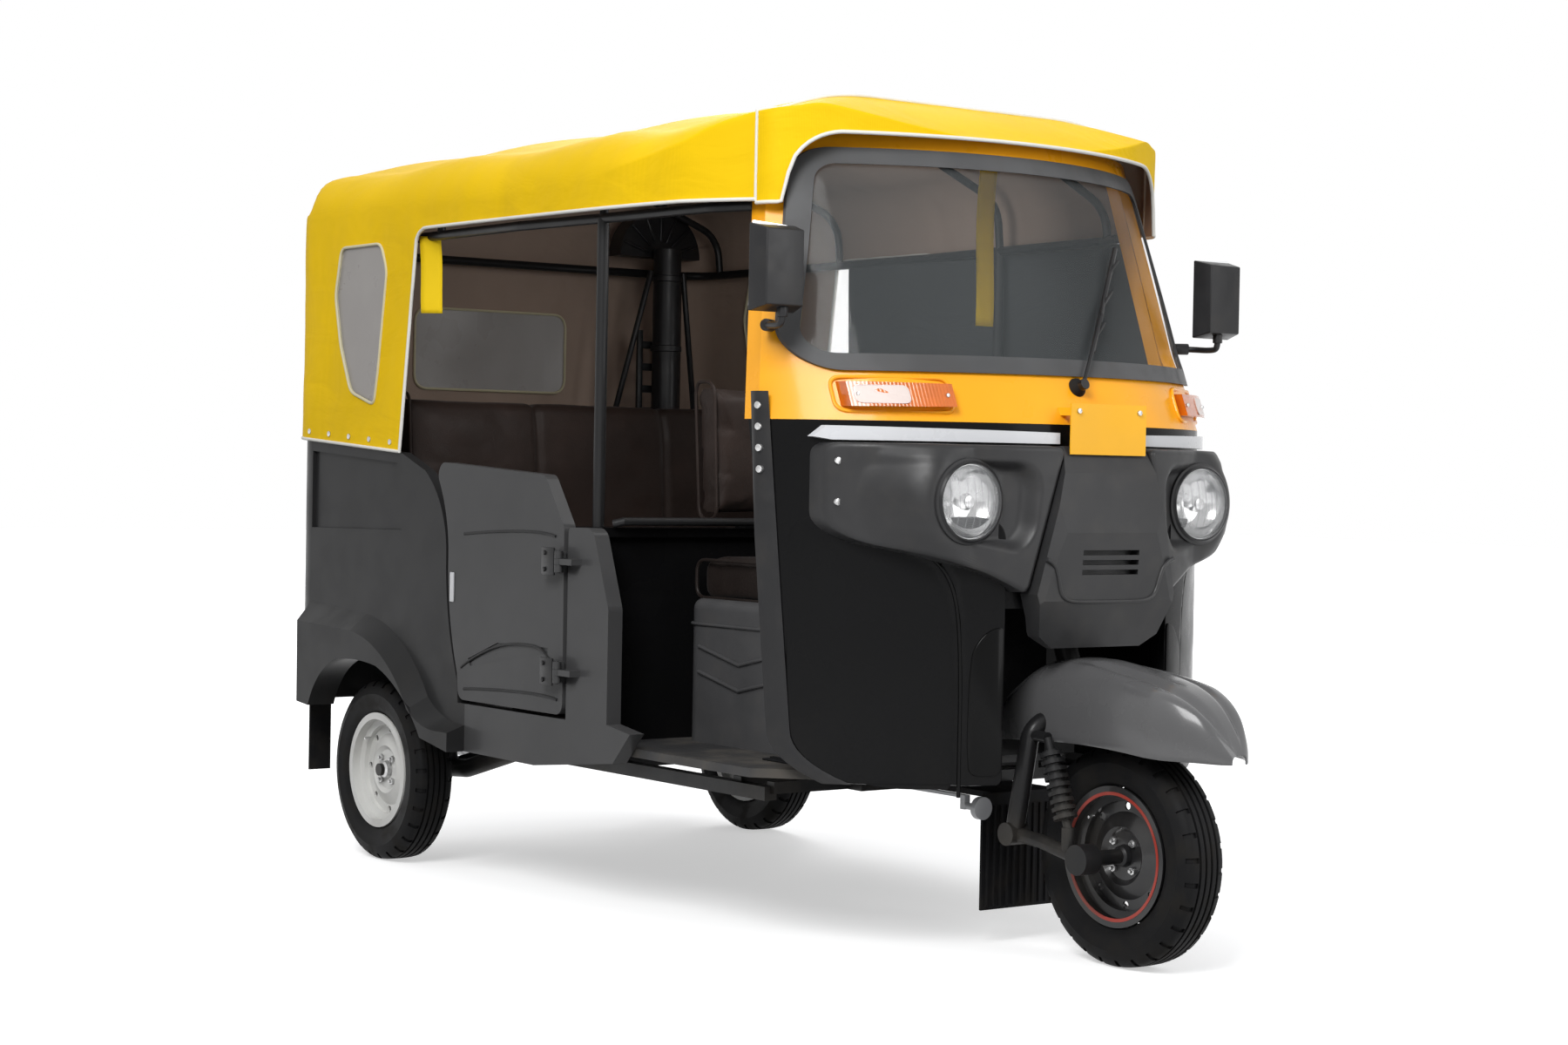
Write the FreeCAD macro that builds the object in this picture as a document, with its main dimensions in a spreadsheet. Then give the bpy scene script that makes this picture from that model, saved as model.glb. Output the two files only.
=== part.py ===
"""Three-wheeled passenger auto rickshaw with a canvas hood, as a parametric document.

Millimetres. +Z is up, the vehicle faces -Y, and +X is its left side. The origin lies on the
ground under the centre of the overall box. Heights are measured from the ground.
"""
import FreeCAD
import Part
import math
import os
import re

import Sketcher

Vector = FreeCAD.Vector
Rotation = FreeCAD.Rotation

SIZES = {
    # Wheels and running gear
    "tyre_radius": 218,
    "tyre_width": 112,
    "rim_radius": 139,
    "rim_seat_radius": 127,
    "rim_width": 92,
    "front_axle": 1070,
    "rear_axle": 930,
    "half_track": 550,
    "rake": 21.8,
    "trail_reach": 1120,
    "steer_tube_radius": 24,
    "fork_offset": 128,
    "fork_pivot_reach": 872,
    "fork_pivot_height": 246,
    # Cab: windscreen surround, band and lower front
    "band_radius": 681,
    "band_front": 955,
    "band_half": 591,
    "band_low": 1065,
    "brow_radius": 700,
    "brow_front": 700,
    "brow_half": 494,
    "brow_top": 1655,
    "cab_wall": 22,
    "cab_return": 46,
    "screen_low": 1163,
    "screen_top": 1617,
    "screen_low_half": 566,
    "screen_top_half": 474,
    "screen_corner": 78,
    "seal_width": 34,
    "seal_proud": 7,
    "glass_thick": 5,
    "shield_low": 345,
    "shield_wall": 20,
    "post_foot": 690,
    "post_corner": 150,
    "well_half": 215,
    "well_top": 700,
    "well_back": 668,
    "well_corner": 100,
    "lining_bite": 1.1845,
    # Nose, headlamp bezels and front trim
    "bezel_proud": 46,
    "bezel_top": 1022,
    "bezel_low": 864,
    "bezel_tail": 730,
    "bezel_outer": 530,
    "bezel_inner": 126,
    "bezel_recess": 24,
    "bezel_corner": 34,
    "lamp_offset": 314,
    "lamp_height": 910,
    "lamp_radius": 74,
    "lamp_depth": 60,
    "nose_low": 622,
    "nose_low_half": 150,
    "nose_waist_half": 186,
    "nose_seam": 2,
    "vent_height": 788,
    "vent_pitch": 19.5,
    "vent_half": 76,
    "vent_slot": 10,
    "strip_low": 1026,
    "strip_high": 1054,
    "plate_width": 204,
    "plate_height": 101,
    "plate_low": 1006,
    "plate_hole_pitch": 164,
    "plate_hole_radius": 3.2,
    "indicator_inner": 315,
    "indicator_outer": 485,
    "indicator_low": 1092,
    "indicator_high": 1141,
    "indicator_proud": 24,
    # Rear body
    "body_half": 622,
    "body_rear": 1352,
    "body_low": 360,
    "body_top": 1016,
    "body_corner": 105,
    "panel_wall": 26,
    "crease_height": 788,
    "crease_step": 9,
    "quarter_front": 572,
    "quarter_foot": 496,
    "flare_proud": 46,
    "sill_low": 308,
    "sill_high": 417,
    "sill_front": 221,
    "post_rear": 31,
    "post_front": 131,
    "post_top": 833,
    "post_slope_top": 67,
    "door_gap": 8,
    "door_top_rear": 969,
    "door_top_front": 945,
    "door_wall": 30,
    "panel_rounding": 26,
    "hinge_low": 520,
    "hinge_high": 759,
    "hinge_out": 22,
    "hinge_radius": 9,
    "hinge_pin_radius": 4,
    "hinge_clearance": 0.25,
    "hatch_half": 330,
    "hatch_low": 400,
    "hatch_high": 780,
    "bumper_rear": 1390,
    # Hood
    "hood_half": 626,
    "hood_front_half": 540,
    "hood_front": 722,
    "hood_seam": 520,
    "hood_rear": 1372,
    "hood_edge": 1515,
    "hood_ridge": 1778,
    "hood_shoulder": 1700,
    "hood_shoulder_half": 440,
    "hood_wall": 9,
    "hood_front_top": 1725,
    "hood_lip": 1642,
    "hood_corner": 130,
    "opening_rear": 715,
    "opening_foot": 782,
    "rail_height": 1500,
    "bow_radius": 11,
    "pillar_half": 566,
    "curtain_rear": 616,
    "curtain_low": 850,
    # Inside
    "floor_top": 372,
    "floor_thick": 18,
    "rail_half": 300,
    "frame_half": 18,
    "frame_depth": 40,
    "frame_front": 618,
    "frame_rear": 1180,
    "upright_half": 150,
    "bridge_height": 784,
    "sill_member_half": 505,
    "rear_pick_up": 360,
    "dash_top": 1058,
    "seat_box_half": 375,
    "seat_box_front": 470,
    "seat_box_rear": 60,
    "seat_box_top": 683,
    "driver_seat_top": 768,
    "ledge_top": 834,
    "back_top": 1160,
    "back_half": 290,
    "bench_half": 560,
    "bench_front": 500,
    "bench_rear": 905,
    "bench_top": 700,
    "bench_height": 560,
    "bench_back_top": 1140,
    "soft_gap": 0.3,
    "mirror_across": 605,
    "mirror_front": 690,
    "mirror_height": 1360,
    "mirror_arm_height": 1250,
    "mirror_root_across": 586,
    "mirror_root_along": 620,
    "wiper_across": 28,
    "wiper_height": 1140,
    "dash_half": 466,
    "dash_back": 690,
    "engine_half": 170,
    "tower_across": 416,
    "tower_along": 1200,
    "tower_top": 1560,
    "tower_radius": 38,
    "dome_radius": 130,
    "horn_across": 165,
    "horn_front": 820,
    "horn_height": 292,
    "horn_radius": 23,
    "flap_half": 120,
    "front_flap_low": 75,
    "door_bottom": 426,
    "quarter_end": 400,
    "hatch_pin_out": 14,
    "hood_foot": 990,
    "rear_window_half": 310,
    "rear_window_low": 1163,
    "rear_window_high": 1376,
    "disc_face": 12,
    "axle_radius": 15,
    "drum_radius": 80,
    "fender_tip": 1390,
    "fender_low": 446,
    "fender_top": 604,
    "fender_back": 770,
    "fender_half": 112,
    "flap_low": 178,
}

doc = FreeCAD.newDocument("auto_rickshaw")
sheet = doc.addObject("Spreadsheet::Sheet", "Sizes")
for row, (alias, number) in enumerate(SIZES.items(), start=1):
    sheet.set(f"A{row}", alias)
    sheet.set(f"B{row}", str(number))
    sheet.setAlias(f"B{row}", alias)
doc.recompute()

nodes = []


def bound(expression):
    """Return the expression with each size's name pointed at the sheet."""
    return re.sub(r"[A-Za-z_]\w*",
                  lambda word: "Sizes." + word.group(0) if word.group(0) in SIZES else word.group(0),
                  str(expression))


def value(expression):
    """Return the number that an expression of sizes gives."""
    return float(sheet.evalExpression(bound(expression)))


def point(x, y, z):
    """Return the point that three expressions of sizes give."""
    return Vector(value(x), value(y), value(z))


def keep(node, item):
    """Name a finished sub-part and list it for writing."""
    item.Label = node
    nodes.append(item)
    return item


def node_named(label):
    """Return a finished sub-part by its node's name."""
    return [item for item in nodes if item.Label == label][0]


def new_body(name):
    """Return a new empty body."""
    return doc.addObject("PartDesign::Body", name)


def draw(body, plane, loop, offset="0"):
    """Draw a closed loop in a body's origin plane, with every vertex tied to its sizes.

    Each item is (across, up) or (across, up, radius): with a radius, the edge that leaves the
    vertex is an arc, which turns left for a positive radius and right for a negative one.
    """
    sketch = body.newObject("Sketcher::SketchObject", body.Name + "_outline")
    origin_plane = [item for item in body.Origin.OriginFeatures if item.Role == plane][0]
    sketch.AttachmentSupport = [(origin_plane, "")]
    sketch.MapMode = "FlatFace"
    sketch.setExpression("AttachmentOffset.Base.z", bound(offset))
    corners = [Vector(value(item[0]), value(item[1]), 0) for item in loop]
    ends = []
    for index, item in enumerate(loop):
        start = corners[index]
        finish = corners[(index + 1) % len(loop)]
        if len(item) == 2:
            edge = Part.LineSegment(start, finish)
            ends.append((1, 2))
        else:
            radius = value(item[2])
            chord = finish - start
            reach = math.sqrt(max(radius * radius - chord.Length * chord.Length / 4, 0))
            left = Vector(-chord.y, chord.x, 0).normalize()
            side = 1 if radius > 0 else -1
            centre = (start + finish) / 2 + left * reach * side
            first, last = (start, finish) if radius > 0 else (finish, start)
            from_angle = math.atan2(first.y - centre.y, first.x - centre.x)
            to_angle = math.atan2(last.y - centre.y, last.x - centre.x)
            circle = Part.Circle(centre, Vector(0, 0, 1), abs(radius))
            edge = Part.ArcOfCircle(circle, from_angle, to_angle)
            ends.append((1, 2) if radius > 0 else (2, 1))
        sketch.addGeometry(edge, False)
    for index in range(len(loop)):
        following = (index + 1) % len(loop)
        sketch.addConstraint(Sketcher.Constraint(
            "Coincident", index, ends[index][1], following, ends[following][0]))
    for index, item in enumerate(loop):
        for kind, text, number in (("DistanceX", item[0], corners[index].x),
                                   ("DistanceY", item[1], corners[index].y)):
            place = sketch.addConstraint(Sketcher.Constraint(
                kind, -1, 1, index, ends[index][0], number))
            sketch.setExpression(f"Constraints[{place}]", bound(text))
        if len(item) == 3:
            place = sketch.addConstraint(Sketcher.Constraint(
                "Radius", index, abs(value(item[2]))))
            sketch.setExpression(f"Constraints[{place}]", bound(f"abs({item[2]})"))
    return sketch


def pad(body, plane, loop, low, high):
    """Pad a loop between two distances along the plane's own axis, +X, -Y or +Z."""
    sketch = draw(body, plane, loop, low)
    feature = body.newObject("PartDesign::Pad", body.Name + "_pad")
    feature.Profile = sketch
    feature.setExpression("Length", bound(f"({high}) - ({low})"))
    doc.recompute()
    return feature


def pocket(body, plane, loop, low, high):
    """Cut a loop out of the body between two distances along the plane's own axis."""
    before = body.Shape.Volume
    sketch = draw(body, plane, loop, low)
    feature = body.newObject("PartDesign::Pocket", body.Name + "_pocket")
    feature.Profile = sketch
    feature.Reversed = True
    feature.setExpression("Length", bound(f"({high}) - ({low})"))
    doc.recompute()
    assert body.Shape.Volume < before - 1, f"{body.Name}: a pocket cut nothing"
    return feature


def turn(body, plane, loop, axis, feature_kind="PartDesign::Revolution"):
    """Revolve a loop about one of its sketch's own axes, H_Axis or V_Axis."""
    sketch = draw(body, plane, loop)
    feature = body.newObject(feature_kind, body.Name + "_turn")
    feature.Profile = sketch
    feature.ReferenceAxis = (sketch, [axis])
    feature.Angle = 360
    doc.recompute()
    return feature


def loft(body, sections):
    """Loft a body through (plane, loop, offset) sections with the same number of edges."""
    sketches = [draw(body, plane, loop, offset) for plane, loop, offset in sections]
    feature = body.newObject("PartDesign::AdditiveLoft", body.Name + "_loft")
    feature.Profile = sketches[0]
    feature.Sections = sketches[1:]
    feature.Ruled = True
    doc.recompute()
    return feature


def round_edges(body, radius, wanted):
    """Fillet those edges of the body that the test picks."""
    base = body.Tip
    names = [f"Edge{number}" for number, edge in enumerate(base.Shape.Edges, start=1) if wanted(edge)]
    feature = body.newObject("PartDesign::Fillet", body.Name + "_round")
    feature.Base = (base, names)
    feature.setExpression("Radius", bound(radius))
    doc.recompute()
    return feature


def runs_along(axis):
    """Return a test for straight edges that lie along one axis."""
    def test(edge):
        """Tell whether an edge is straight and lies along the axis."""
        if not isinstance(edge.Curve, Part.Line):
            return False
        way = edge.Curve.Direction
        return abs(getattr(way, axis)) > 0.999
    return test


def combine(kind, name, items):
    """Join or intersect several objects, or cut the second from the first."""
    result = doc.addObject(kind, name)
    if kind == "Part::Cut":
        result.Base, result.Tool = items
    else:
        result.Shapes = items
    doc.recompute()
    return result


def cut(name, base, tool):
    """Take the tool away from the base."""
    return combine("Part::Cut", name, (base, tool))


def common(name, *items):
    """Keep what all the items share."""
    return combine("Part::MultiCommon", name, list(items))


def fuse(name, *items):
    """Join the items into one."""
    return combine("Part::MultiFuse", name, list(items))


def mirrored(item, name):
    """Mirror an object to the other side of the vehicle."""
    result = doc.addObject("Part::Mirroring", name)
    result.Source = item
    result.Normal = (1, 0, 0)
    doc.recompute()
    return result


def group(name, *items):
    """Hold several solids that don't touch as one sub-part."""
    result = doc.addObject("Part::Compound", name)
    result.Links = list(items)
    doc.recompute()
    return result


def pair(name, item):
    """Hold an object and its mirror image as one sub-part."""
    return group(name, item, mirrored(item, name + "_other_side"))


def box(name, low, high):
    """A block between two corners, each given as three expressions."""
    block = doc.addObject("Part::Box", name)
    for side, axis, first, last in zip(("Length", "Width", "Height"), "xyz", low, high):
        block.setExpression(side, bound(f"({last}) - ({first})"))
        block.setExpression(f"Placement.Base.{axis}", bound(first))
    doc.recompute()
    return block


def rod(name, start, axis, radius, length):
    """A cylinder from a start point along +x, +y or +z."""
    cylinder = doc.addObject("Part::Cylinder", name)
    turns = {"x": Rotation(Vector(0, 1, 0), 90), "y": Rotation(Vector(1, 0, 0), -90), "z": Rotation()}
    cylinder.Placement.Rotation = turns[axis]
    cylinder.setExpression("Radius", bound(radius))
    cylinder.setExpression("Height", bound(length))
    for letter, text in zip("xyz", start):
        cylinder.setExpression(f"Placement.Base.{letter}", bound(text))
    doc.recompute()
    return cylinder


def feature(name, shape):
    """Put a finished shape into the document."""
    item = doc.addObject("Part::Feature", name)
    item.Shape = shape
    return item


def tube(points, radius, bend=40):
    """A round bar of straight runs with a tangent bend at each inner point."""
    runs = []
    here = points[0]
    for before, corner, after in zip(points, points[1:], points[2:]):
        back = (before - corner).normalize()
        ahead = (after - corner).normalize()
        half_angle = math.acos(max(-1, min(1, back.dot(ahead)))) / 2
        start = corner + back * (bend / math.tan(half_angle))
        centre = corner + (back + ahead).normalize() * (bend / math.sin(half_angle))
        runs.append(column(here, start, radius))
        disc = Part.Face(Part.Wire(Part.Circle(start, back, radius).toShape()))
        runs.append(disc.revolve(centre, ahead.cross(back), 180 - 2 * math.degrees(half_angle)))
        here = corner + ahead * (bend / math.tan(half_angle))
    runs.append(column(here, points[-1], radius))
    return welded(runs)


def welded(shapes):
    """Join shapes one after another into one."""
    whole = shapes[0]
    for shape in shapes[1:]:
        whole = whole.fuse(shape)
    return whole


def column(start, finish, radius):
    """A cylinder between two points."""
    return Part.makeCylinder(radius, (finish - start).Length, start, finish - start)


RAKE = math.radians(value("rake"))
STEER_AXIS = Vector(0, math.sin(RAKE), math.cos(RAKE))
STEER_FOOT = point(0, "-trail_reach", 0)


def on_steer_axis(height):
    """The point of the steering axis at a height."""
    return STEER_FOOT + STEER_AXIS * (height / STEER_AXIS.z)


def arc_depth(radius, across):
    """Expression for how far an arc of the radius has fallen back at a distance across."""
    return f"(({radius}) - sqrt(({radius})^2 - ({across})^2))"


def crescent(radius, front, half, wall, back="0"):
    """Plan loop of a curved front wall with a straight return at each end."""
    end = f"-({front}) + {arc_depth(radius, half)}"
    inner_half = f"({half}) - ({wall})"
    inner_radius = f"({radius}) - ({wall})"
    inner_end = f"-({front}) + ({wall}) + {arc_depth(inner_radius, inner_half)}"
    tail = f"{end} + ({back})"
    return [
        (f"-({half})", end, radius),
        (half, end),
        (half, tail),
        (inner_half, tail),
        (inner_half, inner_end, f"-({inner_radius})"),
        (f"-({inner_half})", inner_end),
        (f"-({inner_half})", tail),
        (f"-({half})", tail),
    ]


def sector(radius, front, half, back):
    """Plan loop of all that lies between a curved front and a straight back."""
    end = f"-({front}) + {arc_depth(radius, half)}"
    return [(f"-({half})", end, radius), (half, end), (half, back), (f"-({half})", back)]


def curved_skin(name, outer, inner, half, low, high):
    """A raked, curved skin that lies between two offsets from the cab's front surface."""
    def solid(part_name, offset):
        """The block behind the surface at one offset."""
        body = new_body(part_name)
        loft(body, [
            ("XY_Plane", sector(f"band_radius + {offset}", f"band_front + {offset}", half, "-300"), low),
            ("XY_Plane", sector(f"brow_radius + {offset}", f"brow_front + {offset}", half, "-300"), high),
        ])
        return body
    return cut(name, solid(name + "_outer", outer), solid(name + "_inner", inner))


def screen_outline(name, inset):
    """A prism of the windscreen's rounded outline, inset from the seal's outer edge."""
    body = new_body(name)
    pad(body, "XZ_Plane", [
        (f"-(screen_low_half - {inset})", f"screen_low + {inset}"),
        (f"screen_low_half - {inset}", f"screen_low + {inset}"),
        (f"screen_top_half - {inset}", f"screen_top - {inset}"),
        (f"-(screen_top_half - {inset})", f"screen_top - {inset}"),
    ], "200", "band_front + 200")
    round_edges(body, f"screen_corner - {inset}", runs_along("y"))
    return body


def make_cab():
    """The windscreen surround with its band, the seal in it and the curved glass."""
    surround = new_body("surround")
    loft(surround, [
        ("XY_Plane", crescent("band_radius", "band_front", "band_half", "cab_wall", "cab_return"),
         "band_low"),
        ("XY_Plane", crescent("brow_radius", "brow_front", "brow_half", "cab_wall", "cab_return"),
         "brow_top"),
    ])
    opening = screen_outline("screen_opening", "seal_width / 2")
    keep("cab_surround", cut("surround_open", surround, opening))
    ring = cut("seal_ring", screen_outline("seal_outside", "0"), screen_outline("seal_inside", "seal_width"))
    face = curved_skin("seal_face", "seal_proud", "soft_gap", "band_half + 20", "band_low", "brow_top")
    proud_ring = common("seal_solid", ring, face)
    keep("windscreen_seal", cut("seal_on_surround", proud_ring, node_named("cab_surround")))
    pane = screen_outline("pane_outline", "(seal_width / 2 + 2)")
    sheet_skin = curved_skin("pane_skin", "0", "-glass_thick", "band_half + 20", "band_low", "brow_top")
    keep("windscreen_glass", common("pane_solid", pane, sheet_skin))


def make_lower_front():
    """The dark lower front: two leg shields joined by the wheel well under the nose."""
    wrap = new_body("shield_wrap")
    pad(wrap, "XY_Plane",
        crescent("band_radius", "band_front", "band_half", "shield_wall", "cab_return"),
        "shield_low", "band_low - soft_gap")
    wrap_end = f"-band_front + {arc_depth('band_radius', 'band_half')} + cab_return"
    post_line = [
        (f"{wrap_end} + 1", "band_low + 5"),
        (f"{wrap_end} - 12", "band_low + 5"),
        ("-post_foot", "shield_low + post_corner", "-post_corner"),
        ("-(post_foot + post_corner)", "shield_low"),
        ("-(post_foot + post_corner)", "shield_low - 5"),
        (f"{wrap_end} + 1", "shield_low - 5"),
    ]
    pocket(wrap, "YZ_Plane", post_line, "-(band_half + 5)", "band_half + 5")
    mouth = new_body("well_mouth")
    pad(mouth, "XZ_Plane", [
        ("-(well_half + well_corner)", "shield_low - 5"),
        ("well_half + well_corner", "shield_low - 5"),
        ("well_half + well_corner * 0.9", "shield_low + 10"),
        ("well_half", "shield_low + well_corner"),
        ("well_half", "well_top"),
        ("-well_half", "well_top"),
        ("-well_half", "shield_low + well_corner"),
        ("-(well_half + well_corner * 0.9)", "shield_low + 10"),
    ], "well_back", "band_front + 10")
    lining_front = ("-(band_front - band_radius + sqrt((band_radius - shield_wall)^2"
                    " - (well_half + shield_wall)^2) + lining_bite)")
    lining = new_body("well_lining")
    pad(lining, "XY_Plane", [
        ("-(well_half + shield_wall)", lining_front),
        ("-(well_half + shield_wall)", "-well_back"),
        ("-(well_half - 60)", "-(well_back - shield_wall - 20)"),
        ("well_half - 60", "-(well_back - shield_wall - 20)"),
        ("well_half + shield_wall", "-well_back"),
        ("well_half + shield_wall", lining_front),
    ], "shield_low + 28", "well_top + shield_wall")
    pocket(lining, "XY_Plane", [
        ("-well_half", "-(band_front + 5)"),
        ("-well_half", "-(well_back + 6)"),
        ("-(well_half - 62)", "-(well_back - 20)"),
        ("well_half - 62", "-(well_back - 20)"),
        ("well_half", "-(well_back + 6)"),
        ("well_half", "-(band_front + 5)"),
    ], "shield_low", "well_top")
    clear_of_column = feature("column_hole", column(
        on_steer_axis(value("well_top") - 60), on_steer_axis(value("well_top") + 80),
        value("steer_tube_radius") + 14))
    trimmed = cut("shield_with_mouth", wrap, mouth)
    joined = fuse("shield_joined", trimmed, lining)
    lamp_holes = [rod(f"lamp_hole_{side}", (f"{side} * lamp_offset", "-(band_front + 60)", "lamp_height"),
                      "y", "lamp_radius + soft_gap", "200") for side in (-1, 1)]
    keep("leg_shields", cut("shield_solid", joined, fuse("shield_holes", clear_of_column, *lamp_holes)))


def bezel_outline(name, inset):
    """Elevation prism of the right headlamp bezel, from the door side to the nose seam."""
    body = new_body(name)
    pad(body, "XZ_Plane", [
        (f"-(bezel_outer - {inset})", f"bezel_top - {inset}"),
        (f"-(bezel_outer - {inset})", f"bezel_low + {inset}"),
        (f"-(bezel_outer - 44 - {inset})", f"bezel_low - 36 + {inset}"),
        (f"-(nose_waist_half + 96)", f"bezel_low - 90 + {inset}"),
        (f"-(nose_waist_half + 12 + {inset})", f"bezel_tail + {inset} * 2"),
        (f"-(nose_waist_half + nose_seam + {inset})", f"bezel_tail + 6 + {inset} * 2"),
        (f"-(bezel_inner + nose_seam + {inset})", f"bezel_top - 58 - {inset} / 2"),
        (f"-(bezel_inner - 14 + {inset})", f"bezel_top - {inset}"),
    ], "300", "band_front + 200")
    round_edges(body, "bezel_corner", lambda edge: runs_along("y")(edge)
                and edge.CenterOfMass.x < -(value("bezel_outer") - 60))
    return body


def make_bezels():
    """Headlamp bezels with a dished face, the lamps in them, and the nose between."""
    skin = curved_skin_upright("bezel_skin", "bezel_proud", "soft_gap")
    plain = common("bezel_plain", bezel_outline("bezel_prism", "0"), skin)
    dish_prism = new_body("dish_prism")
    pad(dish_prism, "XZ_Plane", [
        ("-(bezel_outer - 16)", "bezel_top - 20"),
        ("-(bezel_outer - 16)", "bezel_low + 12"),
        ("-(bezel_outer - 60)", "bezel_low - 12"),
        ("-(nose_waist_half + 46)", "bezel_low - 44"),
        ("-(bezel_inner + 66)", "bezel_top - 42"),
        ("-(bezel_inner + 104)", "bezel_top - 22"),
    ], "300", "band_front + 200")
    dish = common("dish", dish_prism, curved_skin_upright("dish_skin", "bezel_proud + 5",
                                                          "bezel_proud - bezel_recess"))
    dished = cut("bezel_dished", plain, dish)
    bore = rod("lamp_bore", ("-lamp_offset", "-(band_front + 60)", "lamp_height"), "y",
               "lamp_radius + soft_gap", "180")
    keep("headlamp_bezels", pair("bezel_pair", cut("bezel_solid", dished, bore)))
    bowl = new_body("lamp_bowl")
    turn(bowl, "XY_Plane", [
        ("0", "lamp_depth"),
        ("0", "lamp_depth - 3"),
        ("lamp_radius * 0.55", "lamp_depth - 16", "-lamp_radius"),
        ("lamp_radius - 3", "8"),
        ("lamp_radius - 3", "0"),
        ("lamp_radius", "0"),
        ("lamp_radius", "10", "lamp_radius"),
        ("lamp_radius * 0.58", "lamp_depth - 10"),
    ], "V_Axis")
    bowl.setExpression("Placement.Base.x", bound("-lamp_offset"))
    bowl.setExpression("Placement.Base.y", bound("-(band_front - 20)"))
    bowl.setExpression("Placement.Base.z", bound("lamp_height"))
    keep("headlamp_bowls", pair("bowl_pair", bowl))
    lens = new_body("lamp_lens")
    turn(lens, "XY_Plane", [
        ("0", "-20", "lamp_radius * 2.4"),
        ("lamp_radius", "-6"),
        ("lamp_radius", "-soft_gap", "-lamp_radius * 2.4"),
        ("0", "-14"),
    ], "V_Axis")
    lens.setExpression("Placement.Base.x", bound("-lamp_offset"))
    lens.setExpression("Placement.Base.y", bound("-(band_front - 20)"))
    lens.setExpression("Placement.Base.z", bound("lamp_height"))
    keep("headlamp_lenses", pair("lens_pair", lens))


def curved_skin_upright(name, outer, inner):
    """An upright curved skin between two offsets from the lower front's surface."""
    body = new_body(name)
    half = "band_half - 10"
    outer_radius = f"band_radius + {outer}"
    inner_radius = f"band_radius + {inner}"
    outer_end = f"-(band_front + {outer}) + {arc_depth(outer_radius, half)}"
    inner_end = f"-(band_front + {inner}) + {arc_depth(inner_radius, half)}"
    pad(body, "XY_Plane", [
        (f"-({half})", outer_end, outer_radius),
        (half, outer_end),
        (half, inner_end, f"-({inner_radius})"),
        (f"-({half})", inner_end),
    ], "nose_low - 40", "indicator_high + 20")
    return body


def make_nose():
    """The central nose with its chamfered crest and three vent rows."""
    prism = new_body("nose_prism")
    pad(prism, "XZ_Plane", [
        ("-(bezel_inner - 16)", "bezel_top"),
        ("-bezel_inner", "bezel_top - 58"),
        ("-nose_waist_half", "bezel_tail"),
        ("-(nose_low_half + 10)", "nose_low + 24"),
        ("-(nose_low_half - 30)", "nose_low"),
        ("nose_low_half - 30", "nose_low"),
        ("nose_low_half + 10", "nose_low + 24"),
        ("nose_waist_half", "bezel_tail"),
        ("bezel_inner", "bezel_top - 58"),
        ("bezel_inner - 16", "bezel_top"),
    ], "300", "band_front + 200")
    profile = new_body("nose_profile")
    pad(profile, "YZ_Plane", [
        ("-(band_front - 14)", "bezel_top"),
        ("-(band_front + 18)", "bezel_top"),
        ("-(band_front + 42)", "bezel_top - 52"),
        ("-(band_front + 50)", "bezel_top - 170"),
        ("-(band_front + 40)", "nose_low + 95"),
        ("-(band_front + 6)", "nose_low"),
        ("-(band_front - 26)", "nose_low"),
        ("-(band_front - 14)", "nose_low + 60"),
    ], "-(nose_waist_half + 10)", "nose_waist_half + 10")
    face = curved_skin_upright("nose_skin", "60", "soft_gap")
    front = common("nose_front", prism, profile, face)
    slots = []
    for step in (-1, 0, 1):
        level = f"vent_height + ({step}) * vent_pitch"
        slots.append(box(f"vent_{step}", ("-vent_half", "-(band_front + 80)", level),
                         ("vent_half", "-(band_front + 24)", f"{level} + vent_slot")))
    keep("nose_panel", cut("nose_solid", front, fuse("vent_slots", *slots)))


def front_trim(name, loop, proud, raked=False):
    """A piece of the given elevation outline that follows the front, upright or raked."""
    prism = new_body(name + "_prism")
    pad(prism, "XZ_Plane", loop, "300", "band_front + 200")
    if raked:
        skin = curved_skin(name + "_skin", proud, "soft_gap", "band_half", "band_low", "brow_top")
    else:
        skin = curved_skin_upright(name + "_skin", proud, "soft_gap")
    return common(name + "_piece", prism, skin)


def make_front_trim():
    """Bright strips, turn signals, blank plate, wiper, mirrors."""
    strip = front_trim("strip", [
        ("-(bezel_outer + 4)", "strip_low + 6"),
        ("-(bezel_outer - 22)", "strip_low"),
        ("-(plate_width / 2 + 3)", "strip_low"),
        ("-(plate_width / 2 + 3)", "strip_high - 6"),
        ("-(bezel_outer - 14)", "strip_high"),
    ], "12")
    keep("bright_strips", pair("strip_pair", strip))
    signal = front_trim("signal", [
        ("-indicator_outer", "indicator_low"),
        ("-indicator_inner", "indicator_low + 2"),
        ("-indicator_inner", "indicator_high - 2"),
        ("-indicator_outer", "indicator_high"),
    ], "indicator_proud", raked=True)
    keep("front_signals", pair("signal_pair", signal))
    plate_top = "plate_low + plate_height"
    plate = box("plate_sheet", ("-plate_width / 2", "-(band_front + 32)", "plate_low"),
                ("plate_width / 2", "-(band_front + 29)", plate_top))
    stays = []
    holes = []
    for side in (-1, 1):
        across = f"{side} * plate_hole_pitch / 2"
        stays.append(box(f"plate_stay_{side}", (f"{across} - 8", "-(band_front + 30)", f"{plate_top} - 24"),
                         (f"{across} + 8", "-(band_front - 30)", f"{plate_top} - 8")))
        holes.append(rod(f"plate_hole_{side}", (across, "-(band_front + 40)", f"{plate_top} - 16"), "y",
                         "plate_hole_radius", "30"))
    stay_pair = cut("plate_stays", fuse("plate_stay_pair", *stays), node_named("cab_surround"))
    plate_solid = fuse("plate_solid", plate, stay_pair)
    keep("front_plate", cut("plate_drilled", plate_solid, fuse("plate_holes", *holes)))


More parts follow.
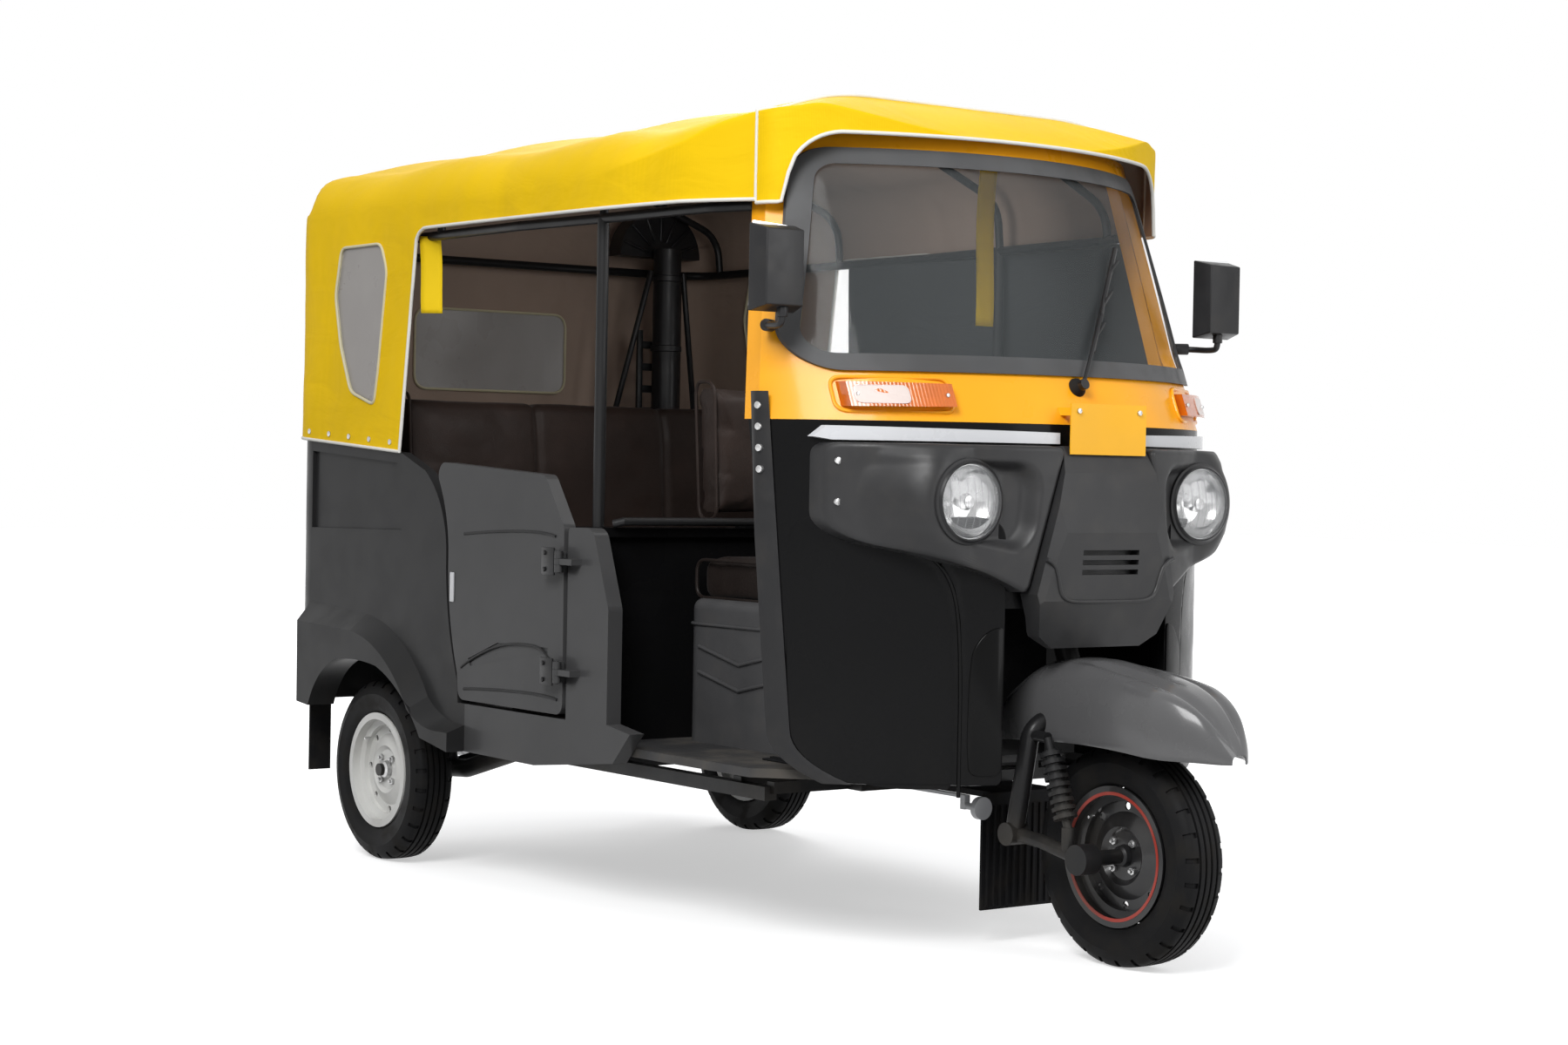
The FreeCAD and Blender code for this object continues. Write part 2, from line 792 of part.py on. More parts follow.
def make_wiper():
    """One wiper: a spindle on the band, an arm and a blade that lies along the glass."""
    def on_glass(across, height, lift):
        """A point that stands off the raked glass by a lift."""
        share = (height - value("band_low")) / (value("brow_top") - value("band_low"))
        radius = value("band_radius") + share * (value("brow_radius") - value("band_radius"))
        front = value("band_front") + share * (value("brow_front") - value("band_front"))
        return Vector(across, -front - lift + radius - math.sqrt(radius ** 2 - across ** 2), height)
    arm_radius = 4
    blade_radius = 5
    spindle_radius = 11
    pivot = on_glass(-value("wiper_across"), value("wiper_height"), 0)
    knee = on_glass(80, value("wiper_height") + 152, 22)
    tip = on_glass(205, value("wiper_height") + 300, 16)
    spindle = column(pivot + Vector(0, 8, -2), pivot + Vector(0, -24, 8), spindle_radius)
    arm = column(pivot + Vector(0, -18, 6), knee, arm_radius)
    low_end = on_glass(30, value("wiper_height") + 75, 13)
    blade = column(low_end, tip, blade_radius)
    link = column(knee, (low_end + tip) / 2, arm_radius)
    shape = spindle.fuse([arm, blade, link])
    surround = node_named("cab_surround")
    seal = node_named("windscreen_seal")
    keep("wiper", feature("wiper_solid", shape.cut([surround.Shape, seal.Shape])))


def make_mirrors():
    """Door mirrors on bent arms, each housing with its glass facing back."""
    def outline_at(*reaches):
        """Four corners, each given as how far it lies across and up from the mirror's middle."""
        return [(f"-(mirror_across + {across})", f"mirror_height + {up}") for across, up in reaches]
    edge = outline_at((62, -86), (-58, -90), (-60, 90), (56, 96))
    shell = new_body("mirror_shell")
    loft(shell, [
        ("XZ_Plane", outline_at((46, -72), (-40, -78), (-44, 76), (42, 82)), "mirror_front + 28"),
        ("XZ_Plane", edge, "mirror_front - 8"),
    ])
    rim = new_body("mirror_rim")
    pad(rim, "XZ_Plane", edge, "mirror_front - 26", "mirror_front - 8")
    seat = new_body("mirror_seat")
    outline = outline_at((54, -78), (-50, -82), (-52, 82), (48, 88))
    pad(seat, "XZ_Plane", outline, "mirror_front - 30", "mirror_front - 20")
    low = value("mirror_height") - 84
    across = -value("mirror_across")
    front = -value("mirror_front")
    arm_height = value("mirror_arm_height")
    root_across, root_along = -value("mirror_root_across"), -value("mirror_root_along")
    arm_path = [Vector(root_across, root_along, arm_height), Vector(across + 6, front - 8, arm_height),
                Vector(across + 6, front - 6, low + 20)]
    root = column(Vector(root_across + 41, root_along + 30, arm_height),
                  Vector(root_across - 3, root_along - 2, arm_height), 9)
    arm = feature("mirror_arm", tube(arm_path, 7, 12).fuse(root))
    surround = node_named("cab_surround")
    housing = fuse("mirror_housing", cut("mirror_hollow", fuse("mirror_block", shell, rim), seat), arm)
    clear = fuse("mirror_clearance", surround, node_named("windscreen_seal"), node_named("windscreen_glass"))
    keep("mirror_housings", pair("mirror_pair", cut("mirror_seated", housing, clear)))
    glass = new_body("mirror_glass")
    pad(glass, "XZ_Plane", outline, "mirror_front - 25", "mirror_front - 20 - soft_gap")
    keep("mirror_glasses", pair("mirror_glass_pair", glass))


def side_prism(name, loop, inner="0", outer="800"):
    """A prism of a right-hand side outline, given as (y, z) pairs."""
    body = new_body(name)
    pad(body, "YZ_Plane", loop, f"-({outer})", f"-({inner})")
    return body


QUARTER_OUTLINE = [
    ("quarter_foot - 32", "sill_low"),
    ("rear_axle - 339", "body_low - 30", "-420"),
    ("rear_axle - 122", "tyre_radius + 263", "-700"),
    ("rear_axle + 79", "tyre_radius + 266", "-215"),
    ("rear_axle + 228", "body_low"),
    ("hood_rear + 60", "body_low"),
    ("hood_rear + 60", "body_top + 14 - soft_gap"),
    ("opening_foot", "body_top - 26 - soft_gap"),
    ("quarter_front + 93", "door_top_rear - 20", "230"),
    ("quarter_front - 13", "crease_height - 39", "-700"),
    ("quarter_foot + 4", "door_bottom + 40"),
    ("quarter_foot", "sill_high"),
    ("quarter_foot - 32", "sill_high"),
]


def make_rear_body():
    """Rear quarters with wheel arches and flares, the rear panel and its hatch."""
    wall = new_body("quarter_wall")
    pad(wall, "XY_Plane", [
        ("-body_half", "quarter_foot - 40"),
        ("-body_half", "body_rear - body_corner", "-body_corner"),
        ("-(body_half - body_corner)", "body_rear"),
        ("-quarter_end", "body_rear"),
        ("-quarter_end", "body_rear - panel_wall"),
        ("-(body_half - body_corner)", "body_rear - panel_wall", "body_corner - panel_wall"),
        ("-(body_half - panel_wall)", "body_rear - body_corner"),
        ("-(body_half - panel_wall)", "quarter_foot - 40"),
    ], "sill_low", "body_top + 20")
    pocket(wall, "YZ_Plane", [
        ("opening_foot - 6", "crease_height + 18"),
        ("body_rear - body_corner - 8", "crease_height + 12"),
        ("body_rear - body_corner - 8", "body_top - 24"),
        ("opening_foot + 20", "body_top - 50"),
    ], "-(body_half + 5)", "-(body_half - crease_step)")
    outline = side_prism("quarter_outline", QUARTER_OUTLINE)
    trimmed = common("quarter_trimmed", wall, outline)
    arch = [
        ("quarter_foot - 32", "sill_low"),
        ("rear_axle - 339", "body_low - 30", "-420"),
        ("rear_axle - 122", "tyre_radius + 263", "-700"),
        ("rear_axle + 79", "tyre_radius + 266", "-215"),
        ("rear_axle + 228", "body_low"),
        ("rear_axle + 300", "body_low"),
    ]
    flare = new_body("flare")
    loft(flare, [
        ("YZ_Plane", arch + [
            ("rear_axle + 306", "tyre_radius + 397"), ("rear_axle + 14", "tyre_radius + 380", "420"),
            ("rear_axle - 294", "tyre_radius + 203", "-260"), ("rear_axle - 450", "sill_low + 60"),
            ("quarter_foot - 32", "sill_low + 60")], "-(body_half - soft_gap)"),
        ("YZ_Plane", arch[:-1] + [("rear_axle + 290", "body_low + 6")] + [
            ("rear_axle + 292", "tyre_radius + 350"), ("rear_axle + 10", "tyre_radius + 340", "400"),
            ("rear_axle - 276", "tyre_radius + 172", "-260"), ("rear_axle - 430", "sill_low + 44"),
            ("quarter_foot - 32", "sill_low + 44")], "-(body_half + flare_proud)"),
    ])
    quarter = fuse("quarter_solid", trimmed, flare)
    keep("quarter_panel_right", quarter)
    keep("quarter_panel_left", mirrored(quarter, "quarter_left"))
    rear = box("rear_wall", ("-(quarter_end - soft_gap)", "body_rear - panel_wall", "body_low"),
               ("quarter_end - soft_gap", "body_rear", "body_top + 8"))
    opening = box("hatch_opening", ("-hatch_half", "body_rear - panel_wall - 5", "hatch_low"),
                  ("hatch_half", "body_rear + 5", "hatch_high"))
    door = box("hatch_sheet",
               ("-(hatch_half - door_gap)", "body_rear - panel_wall + 2", "hatch_low + door_gap"),
               ("hatch_half - door_gap", "body_rear + 1", "hatch_high - door_gap"))
    louvres = [box(f"louvre_{step}", ("-hatch_half * 0.6", "body_rear - 8", f"hatch_low + 90 + {step} * 30"),
                   ("hatch_half * 0.6", "body_rear + 5", f"hatch_low + 102 + {step} * 30"))
               for step in range(5)]
    lugs = []
    for side in (-1, 1):
        low_x = f"{side} * hatch_half * 0.6 - 18"
        high_x = f"{side} * hatch_half * 0.6 + 18"
        inner = "body_rear + hatch_pin_out - hinge_radius"
        outer = "hatch_pin_out + body_rear + hinge_radius"
        lugs.append(box(f"hatch_lug_{side}", (low_x, "body_rear + 0.5", "hatch_high - 34"),
                        (high_x, outer, "hatch_high - door_gap")))
        lugs.append(box(f"hatch_neck_{side}", (low_x, inner, "hatch_high - 20"),
                        (high_x, outer, "hatch_high + 4")))
        lugs.append(rod(f"hatch_knuckle_{side}", (low_x, "body_rear + hatch_pin_out", "hatch_high + 4"), "x",
                        "hinge_radius", "36"))
    bores = [rod(f"hatch_bore_{side}", (f"{side} * hatch_half * 0.6 - 30", "body_rear + hatch_pin_out",
                                        "hatch_high + 4"), "x", "hinge_pin_radius + hinge_clearance", "60")
             for side in (-1, 1)]
    trimmed_door = cut("hatch_louvred", door, fuse("louvres", *louvres))
    keep("engine_hatch", cut("hatch_solid", fuse("hatch_with_lugs", trimmed_door, *lugs),
                             fuse("hatch_bores", *bores)))
    brackets = []
    for side in (-1, 1):
        centre = f"{side} * hatch_half * 0.6"
        for ear in (-1, 1):
            near = f"{centre} + {ear} * 19"
            far = f"{centre} + {ear} * 27"
            first, last = (far, near) if ear < 0 else (near, far)
            brackets.append(box(f"hatch_ear_{side}_{ear}", (first, "body_rear", "hatch_high + 2"),
                                (last, "hatch_pin_out + body_rear + hinge_radius", "hatch_high + 30")))
        brackets.append(rod(f"hatch_pin_{side}", (f"{centre} - 27", "body_rear + hatch_pin_out",
                                                  "hatch_high + 4"), "x", "hinge_pin_radius", "54"))
    keep("rear_panel", fuse("rear_with_hinges", cut("rear_solid", rear, opening), *brackets))


def make_sides():
    """Door posts with the sill, half doors and their hinges, right and left."""
    post = side_prism("post_block", [
        ("-sill_front", "sill_high - 10"),
        ("-(sill_front - 64)", "sill_low + 32"),
        ("quarter_foot - 338", "sill_low - 2"),
        ("quarter_foot - 32 - soft_gap", "sill_low"),
        ("quarter_foot - 32 - soft_gap", "sill_high"),
        ("post_rear", "sill_high"),
        ("post_rear", "post_top"),
        ("-post_slope_top", "post_top"),
        ("-post_front", "post_top - 169"),
        ("-post_front", "sill_high + 3"),
    ], "body_half - panel_wall - 10", "body_half")
    round_edges(post, "12", lambda edge: runs_along("x")(edge)
                and edge.CenterOfMass.z > value("sill_high + 5") and edge.CenterOfMass.y > 0)
    round_edges(post, "panel_rounding + 8", lambda edge: runs_along("x")(edge)
                and edge.CenterOfMass.z > value("sill_high + 5") and edge.CenterOfMass.y < 0)
    rear_edge = [
        ("quarter_foot - door_gap", "door_bottom"),
        ("quarter_foot - door_gap + 6", "door_bottom + 60", "700"),
        ("quarter_front - 30", "crease_height - 30", "-330"),
        ("quarter_front + 26", "door_top_rear - 30"),
        ("quarter_front + 6", "door_top_rear"),
    ]
    door = side_prism("door_block", [
        ("post_rear + door_gap", "door_bottom"),
    ] + rear_edge + [
        ("post_rear + 93", "door_top_front"),
        ("post_rear + door_gap + 3", "post_top"),
    ], "body_half - door_wall + 4", "body_half + 4")
    round_edges(door, "panel_rounding", lambda edge: runs_along("x")(edge)
                and not value("door_bottom + 2") < edge.CenterOfMass.z < value("post_top - 2"))
    pocket(door, "YZ_Plane", [
        ("post_rear + 70", "door_bottom + 130"),
        ("quarter_foot - 60", "door_bottom + 80"),
        ("quarter_foot - 50", "door_bottom + 96"),
        ("quarter_foot - 180", "door_bottom + 140"),
        ("post_rear + 70", "door_bottom + 142"),
    ], "-(body_half + 10)", "-(body_half + 1)")
    knuckles = []
    for number, level in enumerate(("hinge_low", "hinge_high")):
        for part in (-1, 1):
            knuckles.append(rod(f"knuckle_{number}_{part}", (
                "-(body_half + hinge_out)", "post_rear + 4", f"{level} + {part} * 15 - 8"), "z",
                "hinge_radius", "16"))
            knuckles.append(box(f"leaf_{number}_{part}", (
                "-(body_half + hinge_out + 4)", "post_rear + 4", f"{level} + {part} * 15 - 8"),
                ("-(body_half + 4 - 1)", "post_rear + 60", f"{level} + {part} * 15 + 8")))
    bores = [rod(f"knuckle_bore_{level}", ("-(body_half + hinge_out)", "post_rear + 4", f"{level} - 40"),
                 "z", "hinge_pin_radius + hinge_clearance", "80") for level in ("hinge_low", "hinge_high")]
    leaves = cut("leaf_solids", fuse("leaf_blocks", *knuckles), fuse("leaf_bores", *bores))
    hung = fuse("door_hung", door, leaves)
    keep("half_door_right", hung)
    keep("half_door_left", mirrored(hung, "door_left"))
    pins = []
    for level in ("hinge_low", "hinge_high"):
        spine = rod(f"pin_rod_{level}", ("-(body_half + hinge_out)", "post_rear + 4", f"{level} - 25"), "z",
                    "hinge_pin_radius", "50")
        barrel = rod(f"pin_barrel_{level}", ("-(body_half + hinge_out)", "post_rear + 4", f"{level} - 6.5"),
                     "z", "hinge_radius", "13")
        leaf = box(f"pin_plate_{level}",
                   ("-(body_half + hinge_out + 4)", "post_rear - 54", f"{level} - 6.5"),
                   ("-(body_half)", "post_rear + 2", f"{level} + 6.5"))
        pins.append(fuse(f"pin_{level}", spine, barrel, leaf))
    whole_post = fuse("post_with_pins", post, *pins)
    keep("door_post_right", whole_post)
    keep("door_post_left", mirrored(whole_post, "post_left"))


def hood_block(name, inset):
    """The hood's outer form, or the hollow in it, as three outlines that meet."""
    profile = new_body(name + "_profile")
    pad(profile, "YZ_Plane", [
        (f"hood_rear - {inset}", "hood_foot - 40"),
        (f"hood_rear - {inset}", "hood_ridge - 118", "112"),
        ("hood_rear - 110", f"hood_ridge - 10 - {inset}", "20000"),
        ("-206", f"hood_ridge - {inset}", "1200"),
        ("-hood_seam", f"hood_front_top + 14 - {inset}", "900"),
        (f"-(hood_front - {inset})", f"hood_lip + 6 - {inset}"),
        (f"-(hood_front - {inset})", "hood_foot - 40"),
    ], "-700", "700")
    section = new_body(name + "_section")
    pad(section, "XZ_Plane", [
        (f"-(hood_half - {inset})", "hood_foot - 40"),
        (f"hood_half - {inset}", "hood_foot - 40"),
        (f"hood_half - {inset}", "hood_shoulder - 130", "hood_corner"),
        (f"hood_shoulder_half + 50", f"hood_shoulder - 8 - {inset}", "1513"),
        (f"-(hood_shoulder_half + 50)", f"hood_shoulder - 8 - {inset}", "hood_corner"),
        (f"-(hood_half - {inset})", "hood_shoulder - 130"),
    ], "-1500", "900")
    plan = new_body(name + "_plan")
    pad(plan, "XY_Plane", [
        (f"-(hood_front_half - 24 - {inset})", f"-(hood_front - 150 - {inset})", "868"),
        (f"hood_front_half - 24 - {inset}", f"-(hood_front - 150 - {inset})", "60"),
        (f"hood_front_half - {inset}", "-(hood_seam - 4)", "900"),
        (f"hood_half - 18 - {inset}", "-(hood_seam - 160)", "4000"),
        (f"hood_half - {inset}", "40"),
        (f"hood_half - {inset}", "hood_rear - 110", f"110 - {inset}"),
        ("hood_half - 110", f"hood_rear - {inset}"),
        ("-(hood_half - 110)", f"hood_rear - {inset}", f"110 - {inset}"),
        (f"-(hood_half - {inset})", "hood_rear - 110"),
        (f"-(hood_half - {inset})", "40", "4000"),
        (f"-(hood_half - 18 - {inset})", "-(hood_seam - 160)", "900"),
        (f"-(hood_front_half - {inset})", "-(hood_seam - 4)", "60"),
    ], "900", "1900")
    return common(name, profile, section, plan)


def make_hood():
    """The canvas hood in two sections, its clear windows, and the tube frame that carries it."""
    shell = cut("hood_shell", hood_block("hood_outside", "0"), hood_block("hood_inside", "hood_wall"))
    foot_cut = new_body("hood_opening")
    pad(foot_cut, "YZ_Plane", [
        ("-900", "hood_foot - 60"),
        ("hood_rear + 60", "hood_foot - 60"),
        ("hood_rear + 60", "body_top + 14"),
        ("opening_foot", "body_top - 26"),
        ("opening_rear", "hood_edge", "-6000"),
        ("-hood_seam - 60", "hood_edge - 10"),
        ("-900", "hood_edge - 14"),
    ], "-750", "750")
    open_shell = cut("hood_open", shell, foot_cut)
    brow = new_body("brow_opening")
    pad(brow, "XZ_Plane", [
        ("-(hood_front_half - 34)", "hood_edge - 60"),
        ("hood_front_half - 34", "hood_edge - 60"),
        ("hood_front_half - 34", "hood_lip - 96", "96"),
        ("hood_front_half - 130", "hood_lip"),
        ("-(hood_front_half - 130)", "hood_lip", "96"),
        ("-(hood_front_half - 34)", "hood_lip - 96"),
    ], "hood_seam + 20", "hood_front + 60")
    ahead = box("ahead_of_seam", ("-800", "-(hood_front + 100)", "900"),
                ("800", "-(hood_seam + soft_gap)", "1900"))
    behind = box("behind_seam", ("-800", "-hood_seam", "900"), ("800", "hood_rear + 100", "1900"))
    over_brow = cut("hood_front_solid", common("hood_front_part", open_shell, ahead), brow)
    keep("hood_front", cut("hood_front_seated", over_brow, node_named("cab_surround")))
    main = common("hood_main_part", open_shell, behind)
    quarter_window = [
        ("opening_rear + 377", "hood_edge - 23"),
        ("opening_rear + 175", "hood_edge - 23"),
        ("opening_rear + 143", "hood_edge - 88"),
        ("opening_rear + 198", "hood_edge - 411", "110"),
        ("opening_rear + 320", "hood_edge - 378", "1200"),
        ("opening_rear + 406", "hood_edge - 140"),
    ]
    holes = side_prism("quarter_hole", quarter_window, "560", "700")
    rear_hole = new_body("rear_hole")
    pad(rear_hole, "XZ_Plane", [
        ("-(rear_window_half)", "rear_window_low"), ("rear_window_half", "rear_window_low"),
        ("rear_window_half", "rear_window_high"), ("-(rear_window_half)", "rear_window_high"),
    ], "-1500", "-1300")
    round_edges(rear_hole, "40", runs_along("y"))
    all_holes = fuse("hood_holes", holes, mirrored(holes, "quarter_hole_left"), rear_hole)
    keep("hood_main", cut("hood_main_solid", main, all_holes))
    pane_shell = cut("pane_shell", hood_block("pane_outside", "2"), hood_block("pane_inside", "6"))
    keep("hood_windows", common("hood_panes", pane_shell, all_holes))


def cab_tail(height):
    """How far back the cab surround's side returns end at a height."""
    share = (height - value("band_low")) / (value("brow_top") - value("band_low"))
    radius = value("band_radius") + share * (value("brow_radius") - value("band_radius"))
    front = value("band_front") + share * (value("brow_front") - value("band_front"))
    half = value("band_half") + share * (value("brow_half") - value("band_half"))
    return -front + radius - math.sqrt(radius ** 2 - half ** 2) + value("cab_return")


def make_hood_frame():
    """Side rails, roof bows, pillars and the rear bar, in one welded frame."""
    high = value("rail_height")
    wide = value("hood_half") - 34
    narrow = value("hood_front_half") - 32
    middle = value("pillar_half")
    front = cab_tail(high) + 18
    rear = value("hood_rear") - 62
    radius = value("bow_radius")
    crown = value("hood_ridge") - value("hood_wall") - radius - 6
    parts = []
    for side in (-1, 1):
        parts.append(tube([
            Vector(side * narrow, front, high), Vector(side * (narrow + 36), front + 90, high),
            Vector(side * middle, 0, high), Vector(side * wide, 300, high),
            Vector(side * wide, rear - 60, high), Vector(side * (wide - 70), rear, high),
            Vector(0, rear, high)], radius, 60))
        foot = Vector(side * middle, 0, value("ledge_top"))
        parts.append(column(foot, Vector(side * middle, 0, high), radius + 2))
        parts.append(column(Vector(side * (wide - 64), rear, value("bench_height")),
                            Vector(side * (wide - 64), rear, high - 1), radius - 1))
    bows = ((front + 60, narrow + 24, 44), (0, middle, 0), (660, wide, 0), (rear - 110, wide, 12))
    for along, half, drop in bows:
        top = crown - drop
        parts.append(tube([Vector(-half, along, high), Vector(-half + 10, along, top - 136),
                           Vector(-320, along, top - 36), Vector(0, along, top),
                           Vector(320, along, top - 36), Vector(half - 10, along, top - 136),
                           Vector(half, along, high)], radius - 1.5, 90))
    keep("hood_frame", feature("hood_frame_solid", welded(parts)))


def make_curtain():
    """The curtain that closes the left side between the hood's edge and the body."""
    curtain = new_body("curtain")
    pad(curtain, "YZ_Plane", [
        ("curtain_rear", "curtain_low"), ("curtain_rear", "rail_height"),
        ("-430", "rail_height"), ("-510", "rail_height - 170"),
        ("-560", "rail_height - 300"), ("-530", "band_low + 60"), ("-530", "curtain_low"),
    ], "hood_half - 42", "hood_half - 38")
    keep("side_curtain", cut("curtain_hung", curtain, fuse("curtain_bounds", node_named("hood_frame"),
                                                           node_named("hood_main"))))


def bench_block(name, inset, setback):
    """The bench's stepped box, or the hollow in it that is open to the rear."""
    bench = new_body(name)
    foot = "floor_top" if inset == "0" else "floor_top - 20"
    pad(bench, "XZ_Plane", [
        (f"-(half_track - 76 - {inset})", foot), (f"half_track - 76 - {inset}", foot),
        (f"half_track - 76 - {inset}", f"bench_height - 64 + {inset}"),
        (f"bench_half - {inset}", f"bench_height - 64 + {inset}"),
        (f"bench_half - {inset}", f"bench_height - {inset}"),
        (f"-(bench_half - {inset})", f"bench_height - {inset}"),
        (f"-(bench_half - {inset})", f"bench_height - 64 + {inset}"),
        (f"-(half_track - 76 - {inset})", f"bench_height - 64 + {inset}"),
    ], f"-(bench_rear + {inset})", f"-(bench_front + {setback})")
    return bench


def make_deck():
    """The sheet that runs from the bench to the rear panel, over the engine."""
    deck = new_body("deck_sheet")
    half = "body_half - panel_wall - 14"
    pad(deck, "XY_Plane", [
        (f"-({half})", "bench_rear - 20"), (half, "bench_rear - 20"),
        (half, "body_rear - body_corner - 4"),
        ("body_half - body_corner", "body_rear - panel_wall - 6"),
        ("-(body_half - body_corner)", "body_rear - panel_wall - 6"),
        (f"-({half})", "body_rear - body_corner - 4"),
    ], "bench_height - 14", "bench_height")
    return deck


def make_interior():
    """Floor, driver's seat on its moulded box, bulkhead, passenger bench, dash."""
    floor = new_body("floor")
    pad(floor, "XY_Plane", [
        ("-(body_half - panel_wall - 14)", "-590"),
        ("-400", "-790"), ("-(well_half + 24)", "-875"), ("-(well_half + 24)", "-(well_back - 44)"),
        ("well_half + 24", "-(well_back - 44)"), ("well_half + 24", "-875"), ("400", "-790"),
        ("body_half - panel_wall - 14", "-590"),
        ("body_half - panel_wall - 14", "bench_front + 120"),
        ("-(body_half - panel_wall - 14)", "bench_front + 120"),
    ], "floor_top - floor_thick", "floor_top")
    holes = []
    for side in (-1, 1):
        middle = f"{side} * upright_half"
        holes.append(box(f"floor_hole_{side}",
                         (f"{middle} - 15", "-(frame_front + 1)", "floor_top - floor_thick - 5"),
                         (f"{middle} + 15", "-(frame_front - 29)", "floor_top + 5")))
    keep("floor_pan", cut("floor_pierced", floor, fuse("floor_holes", *holes)))
    seat_box = new_body("seat_box")
    pad(seat_box, "XY_Plane", [
        ("-seat_box_half", "-seat_box_front"), ("seat_box_half", "-seat_box_front"),
        ("seat_box_half", "-seat_box_rear"), ("-seat_box_half", "-seat_box_rear"),
    ], "floor_top", "seat_box_top")
    round_edges(seat_box, "48", runs_along("z"))
    round_edges(seat_box, "22", lambda edge: edge.BoundBox.ZMin > value("seat_box_top - 1"))
    keep("driver_seat_box", seat_box)
    cushion = box("driver_cushion_block",
                  ("-(seat_box_half - 12)", "-(seat_box_front - 6)", "seat_box_top + soft_gap"),
                  ("seat_box_half - 12", "-(seat_box_rear + 4)", "driver_seat_top"))
    keep("driver_cushion", cushion)
    wall = box("bulkhead_wall", ("-(body_half - panel_wall - 14)", "-24", "floor_top"),
               ("body_half - panel_wall - 14", "0", "ledge_top - 20"))
    ledge = box("bulkhead_ledge", ("-(body_half - panel_wall - 14)", "-40", "ledge_top - 20"),
                ("body_half - panel_wall - 14", "78", "ledge_top"))
    rest = new_body("driver_back")
    pad(rest, "YZ_Plane", [
        ("-38", "ledge_top + 16"), ("34", "ledge_top + 16"), ("56", "back_top - 20"),
        ("46", "back_top"), ("-2", "back_top"), ("-18", "back_top - 20"),
    ], "-back_half", "back_half")
    stays = [box(f"back_stay_{side}", (f"{side} * back_half * 0.6 - 16", "-22", "ledge_top"),
                 (f"{side} * back_half * 0.6 + 16", "18", "ledge_top + 16 - soft_gap")) for side in (-1, 1)]
    keep("driver_backrest", rest)
    keep("bulkhead", fuse("bulkhead_solid", wall, ledge, *stays))
    hollow_bench = cut("bench_box", bench_block("bench_outside", "0", "0"),
                       bench_block("bench_inside", "20", "20"))
    keep("bench_base", fuse("bench_base_solid", hollow_bench, make_deck()))
    keep("bench_cushion", box("bench_cushion_block",
                              ("-bench_half", "bench_front - 14", "bench_height + soft_gap"),
                              ("bench_half", "bench_rear - 60", "bench_top")))
    back = new_body("bench_back_block")
    pad(back, "YZ_Plane", [
        ("bench_rear - 56", "bench_height + soft_gap"), ("bench_rear + 20", "bench_height + soft_gap"),
        ("bench_rear + 50", "bench_back_top"), ("bench_rear - 26", "bench_back_top"),
        ("bench_rear - 56", "bench_top + 40"),
    ], "-bench_half", "bench_half")
    keep("bench_back", back)
    dash = new_body("dash_block")
    pad(dash, "XY_Plane",
        sector("band_radius - shield_wall - soft_gap", "band_front - shield_wall - soft_gap",
               "dash_half", "-dash_back"), "dash_top - 50", "dash_top")
    column_hole = feature("dash_hole", column(on_steer_axis(900), on_steer_axis(1200), 46))
    keep("dashboard", cut("dash_solid", dash, column_hole))


